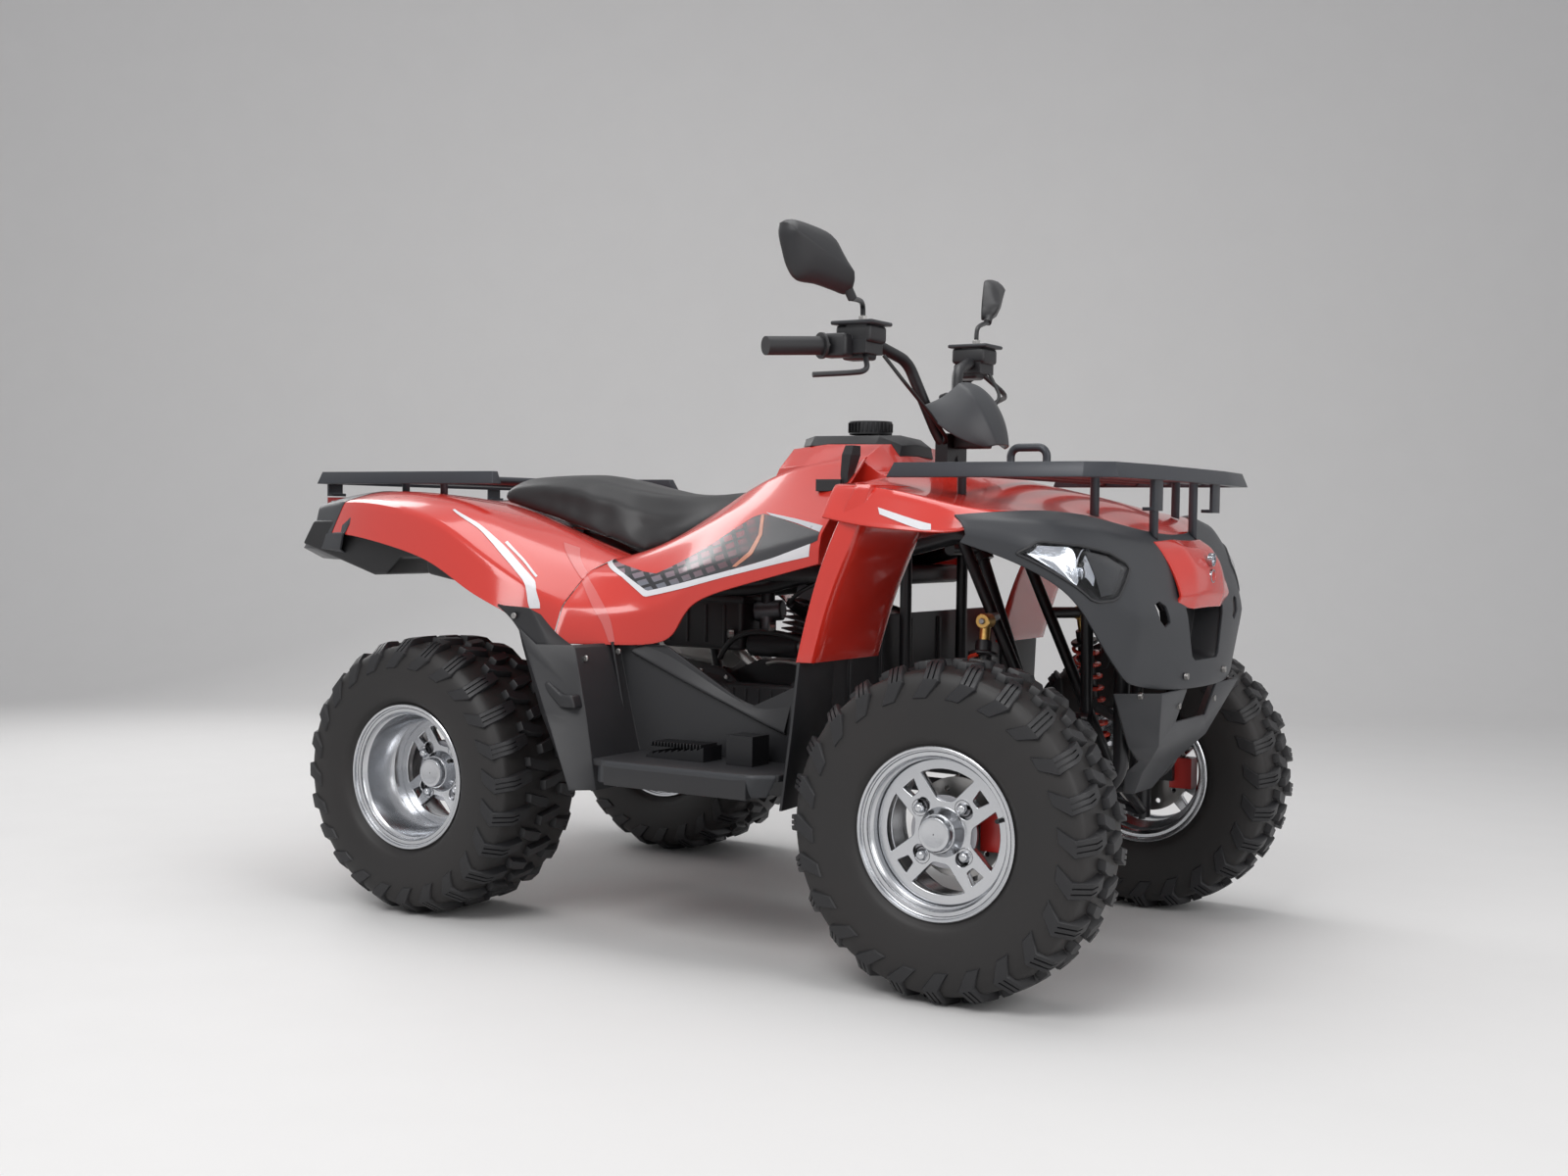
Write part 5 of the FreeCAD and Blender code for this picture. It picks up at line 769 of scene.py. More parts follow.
def carve(made, *cutters, angle=40):
    """Cuts tools out of a piece and removes them."""
    for tool in cutters:
        modify(made, "BOOLEAN", operation="DIFFERENCE", object=tool, solver="EXACT")
    bake(made, angle)
    for tool in cutters:
        bpy.data.objects.remove(tool)
    return made


COLUMN_TOP = Vector((0.44176, 0, 0.909))
COLUMN_AXIS = Vector((-0.342, 0, 0.94))

REAR_ROWS = (
    (-0.3, ((0, 0.815), (0.1, 0.818), (0.19, 0.822), (0.33, 0.826), (0.425, 0.8), (0.44, 0.742))),
    (-0.19, ((0, 0.822), (0.1, 0.826), (0.2, 0.83), (0.37, 0.84), (0.468, 0.815), (0.485, 0.748))),
    (-0.06, ((0, 0.8), (0.1, 0.81), (0.2, 0.822), (0.385, 0.834), (0.48, 0.8), (0.498, 0.722))),
    (0.04, ((0, 0.757), (0.1, 0.768), (0.215, 0.8), (0.4, 0.812), (0.485, 0.775), (0.503, 0.695))),
)
REAR_LEGS = (
    (0.12, ((0.172, 0.756), (0.26, 0.778), (0.4, 0.762), (0.485, 0.715), (0.505, 0.635))),
    (0.2, ((0.172, 0.724), (0.26, 0.738), (0.385, 0.71), (0.475, 0.665), (0.502, 0.604))),
    (0.262, ((0.172, 0.702), (0.255, 0.706), (0.345, 0.68), (0.425, 0.615), (0.455, 0.545))),
)
SIDE_ROWS = (
    (0.264, ((0.172, 0.702), (0.255, 0.706), (0.345, 0.68), (0.425, 0.615), (0.455, 0.545))),
    (0.33, ((0.17, 0.742), (0.245, 0.722), (0.318, 0.672), (0.372, 0.605), (0.385, 0.542))),
    (0.4, ((0.16, 0.79), (0.225, 0.758), (0.318, 0.672), (0.345, 0.612), (0.352, 0.542))),
    (0.445, ((0.152, 0.822), (0.215, 0.785), (0.32, 0.682), (0.342, 0.64), (0.348, 0.56))),
    (0.46, ((0.15, 0.835), (0.215, 0.792), (0.32, 0.69), (0.338, 0.66), (0.344, 0.628))),
    (0.56, ((0.16, 0.89), (0.235, 0.812), (0.328, 0.715), (0.342, 0.69), (0.346, 0.66))),
    (0.716, ((0.185, 0.905), (0.275, 0.83), (0.345, 0.76), (0.352, 0.735), (0.354, 0.706))),
)
HOOD_ROWS = (
    (0.79, ((0, 0.89), (0.11, 0.888), (0.215, 0.872), (0.34, 0.852), (0.445, 0.846), (0.488, 0.79))),
    (0.86, ((0, 0.88), (0.11, 0.874), (0.215, 0.856), (0.34, 0.842), (0.456, 0.844), (0.494, 0.775))),
    (0.93, ((0, 0.862), (0.11, 0.856), (0.215, 0.842), (0.34, 0.83), (0.456, 0.828), (0.492, 0.77))),
    (1, ((0, 0.846), (0.11, 0.84), (0.215, 0.828), (0.34, 0.816), (0.446, 0.806), (0.48, 0.764))),
    (1.06, ((0, 0.83), (0.11, 0.824), (0.215, 0.814), (0.34, 0.806), (0.4, 0.803), (0.47, 0.79))),
    (1.12, ((0, 0.806), (0.11, 0.8), (0.2, 0.796), (0.25, 0.798), (0.275, 0.798), (0.33, 0.794))),
    (1.18, ((0, 0.766), (0.08, 0.764), (0.1, 0.763), (0.12, 0.762), (0.14, 0.76), (0.18, 0.752))),
)
FENDER_LEG_ROWS = (
    (0.54, ((0.744, -0.465), (0.75, -0.49), (0.776, -0.482), (0.774, -0.25))),
    (0.668, ((0.77, -0.47), (0.778, -0.492), (0.808, -0.484), (0.806, -0.25))),
    (0.76, ((0.8, -0.47), (0.81, -0.492), (0.85, -0.484), (0.848, -0.25))),
    (0.845, ((0.83, -0.45), (0.838, -0.47), (0.862, -0.462), (0.86, -0.25))),
)
FASCIA_ROWS = (
    (0.476, ((1, 0.793), (1.01, 0.783), (1.016, 0.773), (1.018, 0.764), (1.01, 0.752))),
    (0.435, ((1.039, 0.797), (1.067, 0.785), (1.088, 0.765), (1.091, 0.748), (1.078, 0.722))),
    (0.38, ((1.073, 0.801), (1.112, 0.782), (1.14, 0.742), (1.151, 0.705), (1.147, 0.672))),
    (0.33, ((1.095, 0.801), (1.134, 0.78), (1.166, 0.73), (1.179, 0.66), (1.166, 0.59))),
    (0.27, ((1.121, 0.795), (1.155, 0.768), (1.188, 0.71), (1.205, 0.625), (1.188, 0.52))),
    (0.2, ((1.142, 0.783), (1.171, 0.755), (1.198, 0.712), (1.216, 0.63), (1.204, 0.505))),
    (0.11, ((1.164, 0.768), (1.188, 0.74), (1.209, 0.709), (1.222, 0.628), (1.221, 0.5))),
    (0, ((1.172, 0.762), (1.194, 0.735), (1.214, 0.7), (1.226, 0.628), (1.228, 0.5))),
)
LAMP_OUTLINE = ((0.44, 0.734), (0.437, 0.74), (0.423, 0.753), (0.415, 0.754), (0.36, 0.748),
                (0.3, 0.736), (0.268, 0.719), (0.263, 0.71), (0.308, 0.664), (0.32, 0.659),
                (0.345, 0.656), (0.356, 0.66), (0.3768, 0.6793), (0.4122, 0.7106))
LAMP_EDGE = closed_line(resampled, LAMP_OUTLINE, 96)
BUMPER_RECESS = ((-0.098, 0.641), (-0.07, 0.556), (-0.058, 0.548), (0.058, 0.548), (0.07, 0.556), (0.098, 0.641))
CHEEK_SLOT = ((0.214, 0.65), (0.196, 0.655), (0.176, 0.646), (0.164, 0.618), (0.182, 0.61), (0.204, 0.624))
NOSE_ROWS = (
    (0.125, ((1.178, 0.752), (1.19, 0.736), (1.212, 0.7), (1.222, 0.662), (1.214, 0.648))),
    (0.07, ((1.19, 0.755), (1.208, 0.742), (1.228, 0.712), (1.23, 0.664), (1.224, 0.64))),
    (0, ((1.195, 0.752), (1.214, 0.738), (1.232, 0.712), (1.234, 0.668), (1.226, 0.642))),
)
TAIL_CUT = ((-0.95, 0.6), (-0.755, 0.6), (-0.748, 0.745), (-0.708, 0.835), (-0.704, 0.95), (-0.95, 0.95))
TAIL_KEEP = ((-0.05, 0.45), (-0.75, 0.45), (-0.742, 0.745), (-0.702, 0.835), (-0.698, 0.95), (-0.05, 0.95))


def crease_lines(made, index, folds, row_folds):
    """Sharpens the lines that run along a panel's columns and rows."""
    key_of = {number: key for key, number in index.items()}
    with opened(made.data) as work:
        layer = work.edges.layers.float.new("crease_edge")
        for edge in work.edges:
            (ra, ca), (rb, cb) = (key_of[v.index] for v in edge.verts)
            if ca == cb and ca in folds:
                edge[layer] = folds[ca]
            if ra == rb and ra in row_folds:
                edge[layer] = row_folds[ra]


def face_out(made, inside):
    """Turns a sheet's faces away from a point."""
    mesh = made.data
    if sum(f.area * f.normal.dot(f.center - Vector(inside)) for f in mesh.polygons) < 0:
        mesh.flip_normals()


def panel(name, rows, look, inside, folds=None, row_folds=None, thickness=0.004, mirror=False, edge=0.0008, grow=-1):
    """A moulded skin from rows of points, with None for a place left out: folds kept, smooth between."""
    index, verts, faces = {}, [], []
    for r, row in enumerate(rows):
        for c, point in enumerate(row):
            if point is not None:
                index[r, c] = len(verts)
                verts.append(point)
    for r in range(len(rows) - 1):
        for c in range(len(rows[0]) - 1):
            corners = [(r, c), (r, c + 1), (r + 1, c + 1), (r + 1, c)]
            if all(k in index for k in corners):
                faces.append([index[k] for k in corners])
    made = linked(name, raw_mesh(name, verts, faces, look))
    crease_lines(made, index, folds or {}, row_folds or {})
    if mirror:
        modify(made, "MIRROR", use_axis=(False, True, False), merge_threshold=0.0005)
    modify(made, "SUBSURF", levels=3, render_levels=3, boundary_smooth="PRESERVE_CORNERS")
    bake(made)
    face_out(made, inside)
    modify(made, "SOLIDIFY", thickness=thickness, offset=grow)
    if edge:
        modify(made, "BEVEL", width=edge, segments=2, limit_method="ANGLE", angle_limit=math.radians(55))
    return bake(made)


def rear_fender():
    """One skin, cut in two where the tail cap begins."""
    rows = [[spot(x, -y, z) for y, z in half] for x, half in REAR_ROWS]
    rows += [[None] + [spot(x, -y, z) for y, z in half] for x, half in REAR_LEGS]
    made = panel("fender_rear_shell", rows, RED, (along(0.0), 0, 0.4), {4: 0.62, 3: 0.25, 2: 0.3}, mirror=True,
                 edge=0)
    tail = copied(made, "tail_cap")
    paint(tail.data, GREY_BLACK)
    carve(made, cutter(TAIL_CUT, "xz", -0.7, 0.7))
    carve(tail, cutter(TAIL_KEEP, "xz", -0.7, 0.7))
    modify(tail, "DISPLACE", strength=0.0015, mid_level=0)
    put(bake(tail), "chassis", slot="black_plastic")
    put(made, "chassis", "rear_fender", slot="red_plastic")


def body_panels():
    """The skins over the wheels, the sides and the front; gives back the fascia's outer face, uncut."""
    rear_fender()
    for side in SIDES:
        rows = [[spot(x, side * y, z) for y, z in row] for x, row in SIDE_ROWS]
        made = panel("cover_" + SIDE_NAMES[side], rows, RED, (along(0.45), 0, 0.55), {1: 0.35, 2: 0.75, 3: 0.45})
        put(made, "chassis", *(["side_panels"] if side == SIDES[0] else []), slot="red_plastic")
    rows = [[spot(x, -y, z) for y, z in half] for x, half in HOOD_ROWS]
    hood = panel("hood", rows, RED, (along(0.95), 0, 0.4), {2: 0.35, 4: 0.7}, mirror=True)
    edge = [(along(line[0][0]) - 0.0004, y) for y, line in FASCIA_ROWS]
    edge[0] = (edge[0][0], 0.52)
    outline = edge + [(x, -y) for x, y in edge[-2::-1]] + [(1.2, -0.7), (1.2, 0.7)]
    hood = carve(hood, cutter(outline, "xy", 0.4, 1.0), drum(COLUMN_TOP - COLUMN_AXIS * 0.3, COLUMN_TOP, 0.038))
    put(hood, "chassis", "front_fender", slot="red_plastic")
    for side in SIDES:
        rows = [[spot(x, -side * y, z) for x, y in row] for z, row in FENDER_LEG_ROWS]
        leg = panel("fender_leg_" + SIDE_NAMES[side], rows, RED, (along(0.7), side * 0.4, 0.7), {1: 0.7, 2: 0.7})
        put(leg, "chassis", slot="red_plastic")
    rows = [[spot(x, -y, z) for x, z in row] for y, row in FASCIA_ROWS]
    fascia = panel("bumper_skin", rows, GREY_BLACK, (along(0.9), 0, 0.65), {1: 0.45, 3: 0.6}, {1: 0.2, 4: 0.4},
                   mirror=True, thickness=0.005, grow=1)
    face = skin_of(fascia)
    tools = [cutter([(side * y, z) for y, z in LAMP_EDGE], "yz", 0.5, 1.1) for side in SIDES]
    tools.append(cutter(BUMPER_RECESS, "yz", 0.86, 1.1))
    tools += [cutter([(side * y, z) for y, z in CHEEK_SLOT], "yz", 0.8, 1.1) for side in SIDES]
    put(carve(fascia, *tools), "chassis", "front_fascia", slot="black_plastic")
    rows = [[spot(x, -y, z) for x, z in row] for y, row in NOSE_ROWS]
    nose = panel("nose_skin", rows, RED, (along(1.1), 0, 0.7), {1: 0.5, 3: 0.8}, {1: 0.6}, mirror=True,
                 thickness=0.005, grow=1)
    put(nose, "chassis", "nose_panel", slot="red_plastic")
    return face


FASCIA_FACE = body_panels()


# ---------------------------------------------------------------- seat

SEAT_ROWS = (
    (-0.082, ((0, 0.852), (0.09, 0.85), (0.14, 0.838), (0.15, 0.822), (0, 0.822))),
    (-0.05, ((0, 0.874), (0.11, 0.869), (0.158, 0.85), (0.168, 0.812), (0, 0.812))),
    (0.06, ((0, 0.868), (0.11, 0.862), (0.16, 0.838), (0.168, 0.778), (0, 0.778))),
    (0.17, ((0, 0.842), (0.105, 0.836), (0.155, 0.808), (0.164, 0.738), (0, 0.738))),
    (0.25, ((0, 0.826), (0.095, 0.82), (0.145, 0.79), (0.158, 0.712), (0, 0.712))),
    (0.32, ((0, 0.821), (0.088, 0.815), (0.135, 0.792), (0.15, 0.74), (0, 0.74))),
    (0.4, ((0, 0.829), (0.08, 0.824), (0.122, 0.808), (0.14, 0.79), (0, 0.77))),
    (0.484, ((0, 0.854), (0.07, 0.85), (0.104, 0.84), (0.115, 0.828), (0, 0.8))),
)
SEAT_SWELL = 0.016
SEAT_MIDDLE = (0.2, 0, 0.8)
SEAT_SHRINK = (0.99, 0.955, 0.93)    # the cushion grows back when it is blown up
SEAT_HEM = (0.012, 0.03)             # above the underside: where the swelling starts, and over what height it grows


def smooth_stations(rows, steps):
    """Rows of points joined by smooth lines along the vehicle."""
    lines = [smooth_line(line, steps) for line in zip(*rows)]
    return [list(row) for row in zip(*lines)]


def blow_up(made):
    """A short cloth run under pressure; each point then moves at most SEAT_SWELL, and the underside stays."""
    before = [v.co.copy() for v in made.data.vertices]
    settings = modify(made, "CLOTH").settings
    for key, value in (("quality", 6), ("mass", 0.4), ("tension_stiffness", 18), ("compression_stiffness", 18),
                       ("shear_stiffness", 12), ("bending_stiffness", 40), ("use_pressure", True),
                       ("uniform_pressure_force", 4)):
        setattr(settings, key, value)
    settings.effector_weights.gravity = 0
    scene = bpy.context.scene
    for number in range(1, 21):
        scene.frame_set(number)
    bake(made, 60)
    scene.frame_set(1)
    for vert, start in zip(made.data.vertices, before):
        move = vert.co - start
        if move.length > SEAT_SWELL:
            move = move.normalized() * SEAT_SWELL
        floor = np.interp(start.x, [along(s[0]) for s in SEAT_ROWS], [s[1][-1][1] for s in SEAT_ROWS])
        vert.co = start + move * min(max((start.z - floor - SEAT_HEM[0]) / SEAT_HEM[1], 0.0), 1.0)


def seat():
    """The saddle from its stations, remeshed, blown up and smoothed."""
    rows = []
    for x, half in SEAT_ROWS:
        rows.append([spot(x, -y, z) for y, z in half] + [spot(x, y, z) for y, z in half[-2:0:-1]])
    rows = smooth_stations(rows, 33)
    count = len(rows[0])
    caps = [list(range(count))[::-1], [(len(rows) - 1) * count + k for k in range(count)]]
    made = mesh_object("saddle", [p for row in rows for p in row], caps + grid_faces(len(rows), count, True), VINYL, 60)
    middle = spot(*SEAT_MIDDLE)
    made.data.transform(Matrix.Translation(middle) @ Matrix.Diagonal((*SEAT_SHRINK, 1)) @ Matrix.Translation(-middle))
    modify(made, "REMESH", mode="VOXEL", voxel_size=0.006)
    bake(made, 60)
    blow_up(made)
    modify(made, "SMOOTH", iterations=26)
    modify(made, "SUBSURF", levels=1, render_levels=1)
    put(bake(made, 60), "chassis", "seat", slot="seat_cover")


seat()


# ---------------------------------------------------------------- stripes, side graphic and a painted highlight

STRIPE_WHITE_UP = ((-.439, .796), (-.4315, .7934), (-.3734, .7681), (-.3141, .7326), (-.2699, .7018),
                   (-.2282, .6691), (-.2134, .6529), (-.199, .6241), (-.1945, .6093))
STRIPE_WHITE_LOW = ((-.439, .7945), (-.4346, .7924), (-.3718, .7626), (-.3327, .7375), (-.2981, .7127),
                    (-.2596, .6842), (-.2316, .6599), (-.2219, .6436), (-.2151, .623), (-.2093, .6091))
STRIPE_THIN_UP = ((-.3088, .7356), (-.2588, .7006), (-.222, .6701))
STRIPE_THIN_LOW = ((-.3088, .7322), (-.2588, .6976), (-.222, .6671))
# The two edges of the painted highlight, a lighter pink band that narrows downwards over the rear fender and the side
# cover.
HIGHLIGHT_BACK_LINE = ((-.2533, .7335), (-.1955, .6899), (-.144, .6409), (-.1034, .5924), (-.0813, .5472))
HIGHLIGHT_FRONT_LINE = ((-.2249, .723), (-.174, .6816), (-.1258, .6401), (-.0891, .5988), (-.0713, .5473))
V_OUTER = ((-.1875, .7068), (-.0974, .6696), (-.0323, .6331), (.0595, .6533), (.1484, .6759), (.2351, .6959),
           (.2823, .7067), (.3403, .7188))
V_INNER = ((-.1827, .7092), (-.097, .6758), (-.0317, .6445), (.0559, .6643), (.137, .6834), (.21, .701),
           (.2578, .7138), (.3403, .7418))
FILM_TOP = ((-.1877, .7096), (-.1257, .6944), (-.0592, .6807), (-.0261, .6777), (-.0044, .6893), (.0189, .702),
            (.0763, .7354), (.1216, .7685), (.1531, .789), (.1767, .7953), (.211, .7898), (.286, .7762), (.355, .762))
FILM_LOW = ((-.1827, .7092), (-.097, .6758), (-.0317, .6445), (.0559, .6643), (.137, .6834), (.2578, .7138),
            (.3403, .7418), (.355, .748))
SILVER_UP = ((.1828, .7974), (.274, .786), (.355, .7739))
SILVER_LOW = ((.2, .7918), (.286, .7772), (.355, .7625))
STREAK_UP = ((.1722, .7933), (.1946, .7555), (.1936, .7239), (.1644, .6959))
STREAK_LOW = ((.1804, .7933), (.2052, .7556), (.2065, .7204), (.175, .6961))
FRONT_STRIPE_UP = ((.5481, .8062), (.6239, .7853), (.6493, .7795))
FRONT_STRIPE_LOW = ((.5548, .7947), (.6284, .7719), (.6528, .7699))


def stripes():
    """Films over the moulded skins, and one painted highlight laid like them; each one is laid on the right side and
    mirrored.
    """
    cover, fender, hood = (bpy.data.objects[name] for name in ("cover_right", "fender_rear_shell", "hood"))
    films = {
        "side_stripes": ([("film", FILM_TOP, FILM_LOW, [cover], GRAPHIC, 90, 14, 0.0006),
                          ("v", V_OUTER, V_INNER, [cover], WHITE, 80, 4, 0.0011),
                          ("silver", SILVER_UP, SILVER_LOW, [cover], SILVER, 40, 4, 0.0011),
                          ("streak", STREAK_UP, STREAK_LOW, [cover], STREAK, 30, 4, 0.0009)], False),
        "rear_stripes_and_painted_highlight": ([("white", STRIPE_WHITE_UP, STRIPE_WHITE_LOW, [fender], WHITE, 80, 4, 0.001),
                         ("thin", STRIPE_THIN_UP, STRIPE_THIN_LOW, [fender], WHITE, 40, 3, 0.001),
                         # band: a painted highlight in pink over the fender and the cover, not a film
                         ("band", HIGHLIGHT_BACK_LINE, HIGHLIGHT_FRONT_LINE, [fender, cover], PAINTED_PINK_HIGHLIGHT, 70, 6, 0.0008)], True),
        "stripe_front": ([("front", FRONT_STRIPE_UP, FRONT_STRIPE_LOW, [hood], WHITE, 50, 5, 0.001)], True),
    }
    for name, (parts, smooth) in films.items():
        right = joined(name + "_right", [decal(f"{name}_{part[0]}", *part[1:], smooth=smooth) for part in parts])
        put(right, "chassis")
        put(mirrored(right, name + "_left"), "chassis")


stripes()


# ---------------------------------------------------------------- pod and mirrors

POD_ROWS = (
    ((0.476, 0, 1.054), (0.474, 0.036, 1.048), (0.456, 0.066, 1.018), (0.432, 0.104, 1.002)),
    ((0.5, 0, 1.05), (0.498, 0.044, 1.036), (0.486, 0.074, 0.998), (0.456, 0.102, 0.972)),
    ((0.528, 0, 1.02), (0.524, 0.046, 1.002), (0.512, 0.07, 0.97), (0.486, 0.088, 0.948)),
    ((0.548, 0, 0.972), (0.543, 0.038, 0.962), (0.531, 0.056, 0.945), (0.515, 0.068, 0.932)),
    ((0.556, 0, 0.932), (0.552, 0.026, 0.93), (0.544, 0.038, 0.927), (0.534, 0.046, 0.925)),
)
MIRROR_OUTLINE = ((76, 51), (58, 58), (18, 54), (-29, 42), (-49, 18), (-65, -10), (-74, -32), (-71, -58), (-40, -54),
                  (0, -47), (40, -44), (60, -23), (71, 7), (78, 33))
MIRROR_RIDGE = ((64, 34), (-62, -22))
MIRROR_TURN = math.radians(20)


def pod():
    """The instrument pod with its dial behind."""
    rows = [[Vector((x, -y, z)) for x, y, z in row] for row in POD_ROWS]
    shell = panel("pod_shell", rows, GREY_BLACK, (0.44, 0, 0.93), {1: 0.75, 3: 0.5}, mirror=True, thickness=0.003)
    put(shell, "steering", "instrument_pod", slot="black_plastic")
    tilt = about((0.459, 0, 0.99), -18, "Y")
    pieces = [box("pod_dial", (0.448, -0.052, 0.955), (0.47, 0.052, 1.03), HOSE, 0.006, tilt),
              box("pod_bracket", (0.455, -0.02, 0.925), (0.52, 0.02, 0.96), BLACK, 0.004),
              box("pod_glass", (0.446, -0.044, 0.964), (0.4485, 0.044, 1.021), MIRROR, 0.001, tilt)]
    put(joined("pod_instruments", pieces), "steering", slot="black_plastic")


def mirror_head(name, centre, side, tall):
    """Housing with a folded dome in front, a rolled rim, and the glass behind."""
    outer = Vector((-math.sin(MIRROR_TURN), side * math.cos(MIRROR_TURN), 0))
    ahead = Vector((math.cos(MIRROR_TURN), side * math.sin(MIRROR_TURN), 0))
    start, end = (Vector(p) for p in MIRROR_RIDGE)
    run = end - start

    def at(u, v, depth):
        return Vector(centre) + outer * u * 0.001 + Vector((0, 0, v * 0.001 * tall)) + ahead * depth
    flat = [Vector(p) for p in closed_line(smooth_line, MIRROR_OUTLINE, 56)]
    rings = ((0.1, -0.003), (0.03, -0.006), (0.0, -0.002), (0.02, 0.006), (0.16, 0.016), (0.5, 0.025),
             (0.8, 0.029), (0.97, 0.031))
    verts = []
    for share, depth in rings:
        for p in flat:
            t = min(max((p - start).dot(run) / run.length_squared, 0.0), 1.0)
            q = p.lerp(start + run * t, share)
            verts.append(at(q.x, q.y, depth))
    count = len(flat)
    top = [(len(rings) - 1) * count + c for c in range(count)][::-1]
    shell = mesh_object(name + "_shell", verts, grid_faces(len(rings), count, True) + [top], BLACK, 30)
    middle = sum(flat, Vector((0, 0))) / count
    pane = [at(*p.lerp(middle, 0.085), -0.0025) for p in flat]
    glass = mesh_object(name + "_glass", pane + [at(*middle, -0.0035)],
                        [[c, (c + 1) % count, count] for c in range(count)], MIRROR, 60)
    return [shell, glass], at


def mirrors():
    """Heads, stalks and lock nuts, each from the CAD mirrors' own foot."""
    cad = NODES["mirrors"]
    corners = [cad.matrix_world @ v.co for v in cad.data.vertices]
    pieces = []
    for side, centre, tall in ((-1, (0.386, -0.42, 1.24), 1.0), (1, (0.318, 0.406, 1.262), 0.86)):
        feet = [p for p in corners if p.y * side > 0 and p.z < 1.152]
        foot = sum(feet, Vector()) / len(feet)
        name = "mirror_" + SIDE_NAMES[side]
        parts, at = mirror_head(name, centre, side, tall)
        neck, low = at(-66, -50, 0.01), at(-78, -66, 0.008)
        crank = foot + Vector((0, 0, 0.038))
        pieces += parts
        pieces.append(tube(name + "_neck", [neck, (neck + low) / 2, low], 0.0085, BLACK))
        pieces.append(tube(name + "_stalk", [low + (low - crank) * 0.05, low.lerp(crank, 0.5), crank,
                                             crank.lerp(foot, 0.45), foot + Vector((0, 0, 0.002))], 0.0048, FRAME))
        pieces.append(rod(name + "_lock_nut", foot, foot + Vector((0, 0, 0.01)), 0.0085, STEEL, 0.001, 6))
    put(joined("mirror_pair", pieces), "steering", "mirrors", slot="black_plastic")


pod()
mirrors()


# ---------------------------------------------------------------- headlamps

BOWL_CENTRE = Vector((0.864, -0.346, 0.702))
BOWL_HALF = (0.024, 0.04)
BOWL_TURN = math.radians(15)
TROUGH = ((0.43, 0.736), (0.42, 0.746), (0.395, 0.746), (0.366, 0.741), (0.37, 0.706), (0.372, 0.684),
          (0.386, 0.696), (0.408, 0.716))
BEZEL = ((0.346, 0.74), (0.3, 0.73), (0.274, 0.712), (0.314, 0.668), (0.336, 0.665), (0.341, 0.7))
LENS_BACK, LENS_DOME = 0.0025, -0.006    # behind the fascia's face at the edge, and before it in the middle
NOSE_LAMP_X = 0.957
NOSE_LAMP_HEIGHTS = (0.724, 0.695)


def on_skin(skin, y, z, lift):
    """A point in front of the fascia's face, or behind it where lift is below zero, on the right side."""
    hit = skin.ray_cast(Vector((1.4, -y, z)), Vector((-1, 0, 0)))[0]
    return Vector((hit.x + lift, -y, z))


def surface_sheet(name, skin, outline, depth, middle_depth, look, rings=6, thickness=0.0, angle=40):
    """A sheet over an outline in (y, z) on the right, at a depth behind the skin's outer face."""
    centre = Vector((sum(p[0] for p in outline) / len(outline), sum(p[1] for p in outline) / len(outline)))
    count, verts = len(outline), []
    for ring in range(rings + 1):
        share = ring / rings
        level = depth + (middle_depth - depth) * math.sin(share * math.pi / 2)
        for p in (outline if ring < rings else outline[:1]):
            q = centre if ring == rings else Vector(p).lerp(centre, share)
            verts.append(on_skin(skin, q.x, q.y, -level))
    first, last = (rings - 1) * count, rings * count
    faces = grid_faces(rings, count, True) + [[first + c, first + (c + 1) % count, last] for c in range(count)]
    made = mesh_object(name, verts, faces, look, angle)
    if thickness:
        face_out(made, (0.6, -centre.x, centre.y))
        modify(made, "SOLIDIFY", thickness=thickness, offset=-1)
        bake(made, angle)
    return made


def headlamp(skin):
    """Dark housing with a fluted trough, an oval bowl with its bulb cap, a dark bezel and the clear lens."""
    housing = surface_sheet("housing", skin, LAMP_EDGE, 0.002, 0.046, HOSE, rings=8)
    trough = surface_sheet("trough", skin, closed_line(smooth_line, TROUGH, 32), 0.01, 0.02, CHROME,
                           thickness=0.002, angle=20)
    bezel = surface_sheet("bezel", skin, BEZEL, 0.007, 0.01, BLACK, thickness=0.002, angle=20)
    outward = Vector((math.cos(BOWL_TURN), -math.sin(BOWL_TURN), 0))
    across = Vector((math.sin(BOWL_TURN), math.cos(BOWL_TURN), 0))
    rows = ((0.0015, 1.06), (0.003, 1.02), (0.0, 0.97), (-0.008, 0.8), (-0.013, 0.55), (-0.015, 0.28), (-0.004, 0.26),
            (-0.002, 0.2), (-0.001, 0.02))
    verts = []
    for depth, share in rows:
        for k in range(48):
            angle = 2 * math.pi * k / 48
            flute = 1.0 + (0.03 * math.cos(angle * 12) if 0.5 < share < 0.9 else 0.0)
            verts.append(BOWL_CENTRE + outward * depth + across * BOWL_HALF[0] * share * flute * math.cos(angle)
                         + Vector((0, 0, BOWL_HALF[1] * share * flute * math.sin(angle))))
    bowl = mesh_object("bowl", verts, grid_faces(len(rows), 48, True), CHROME, 24)
    lens = surface_sheet("lens", skin, LAMP_EDGE, LENS_BACK, LENS_DOME, GLASS, rings=8, thickness=0.002)
    trim = tube("trim", [on_skin(skin, *p, 0.0005) for p in LAMP_EDGE + LAMP_EDGE[:1]], 0.0026, BLACK, 2,
                smooth=False)
    return [housing, trough, bezel, bowl, lens, trim]


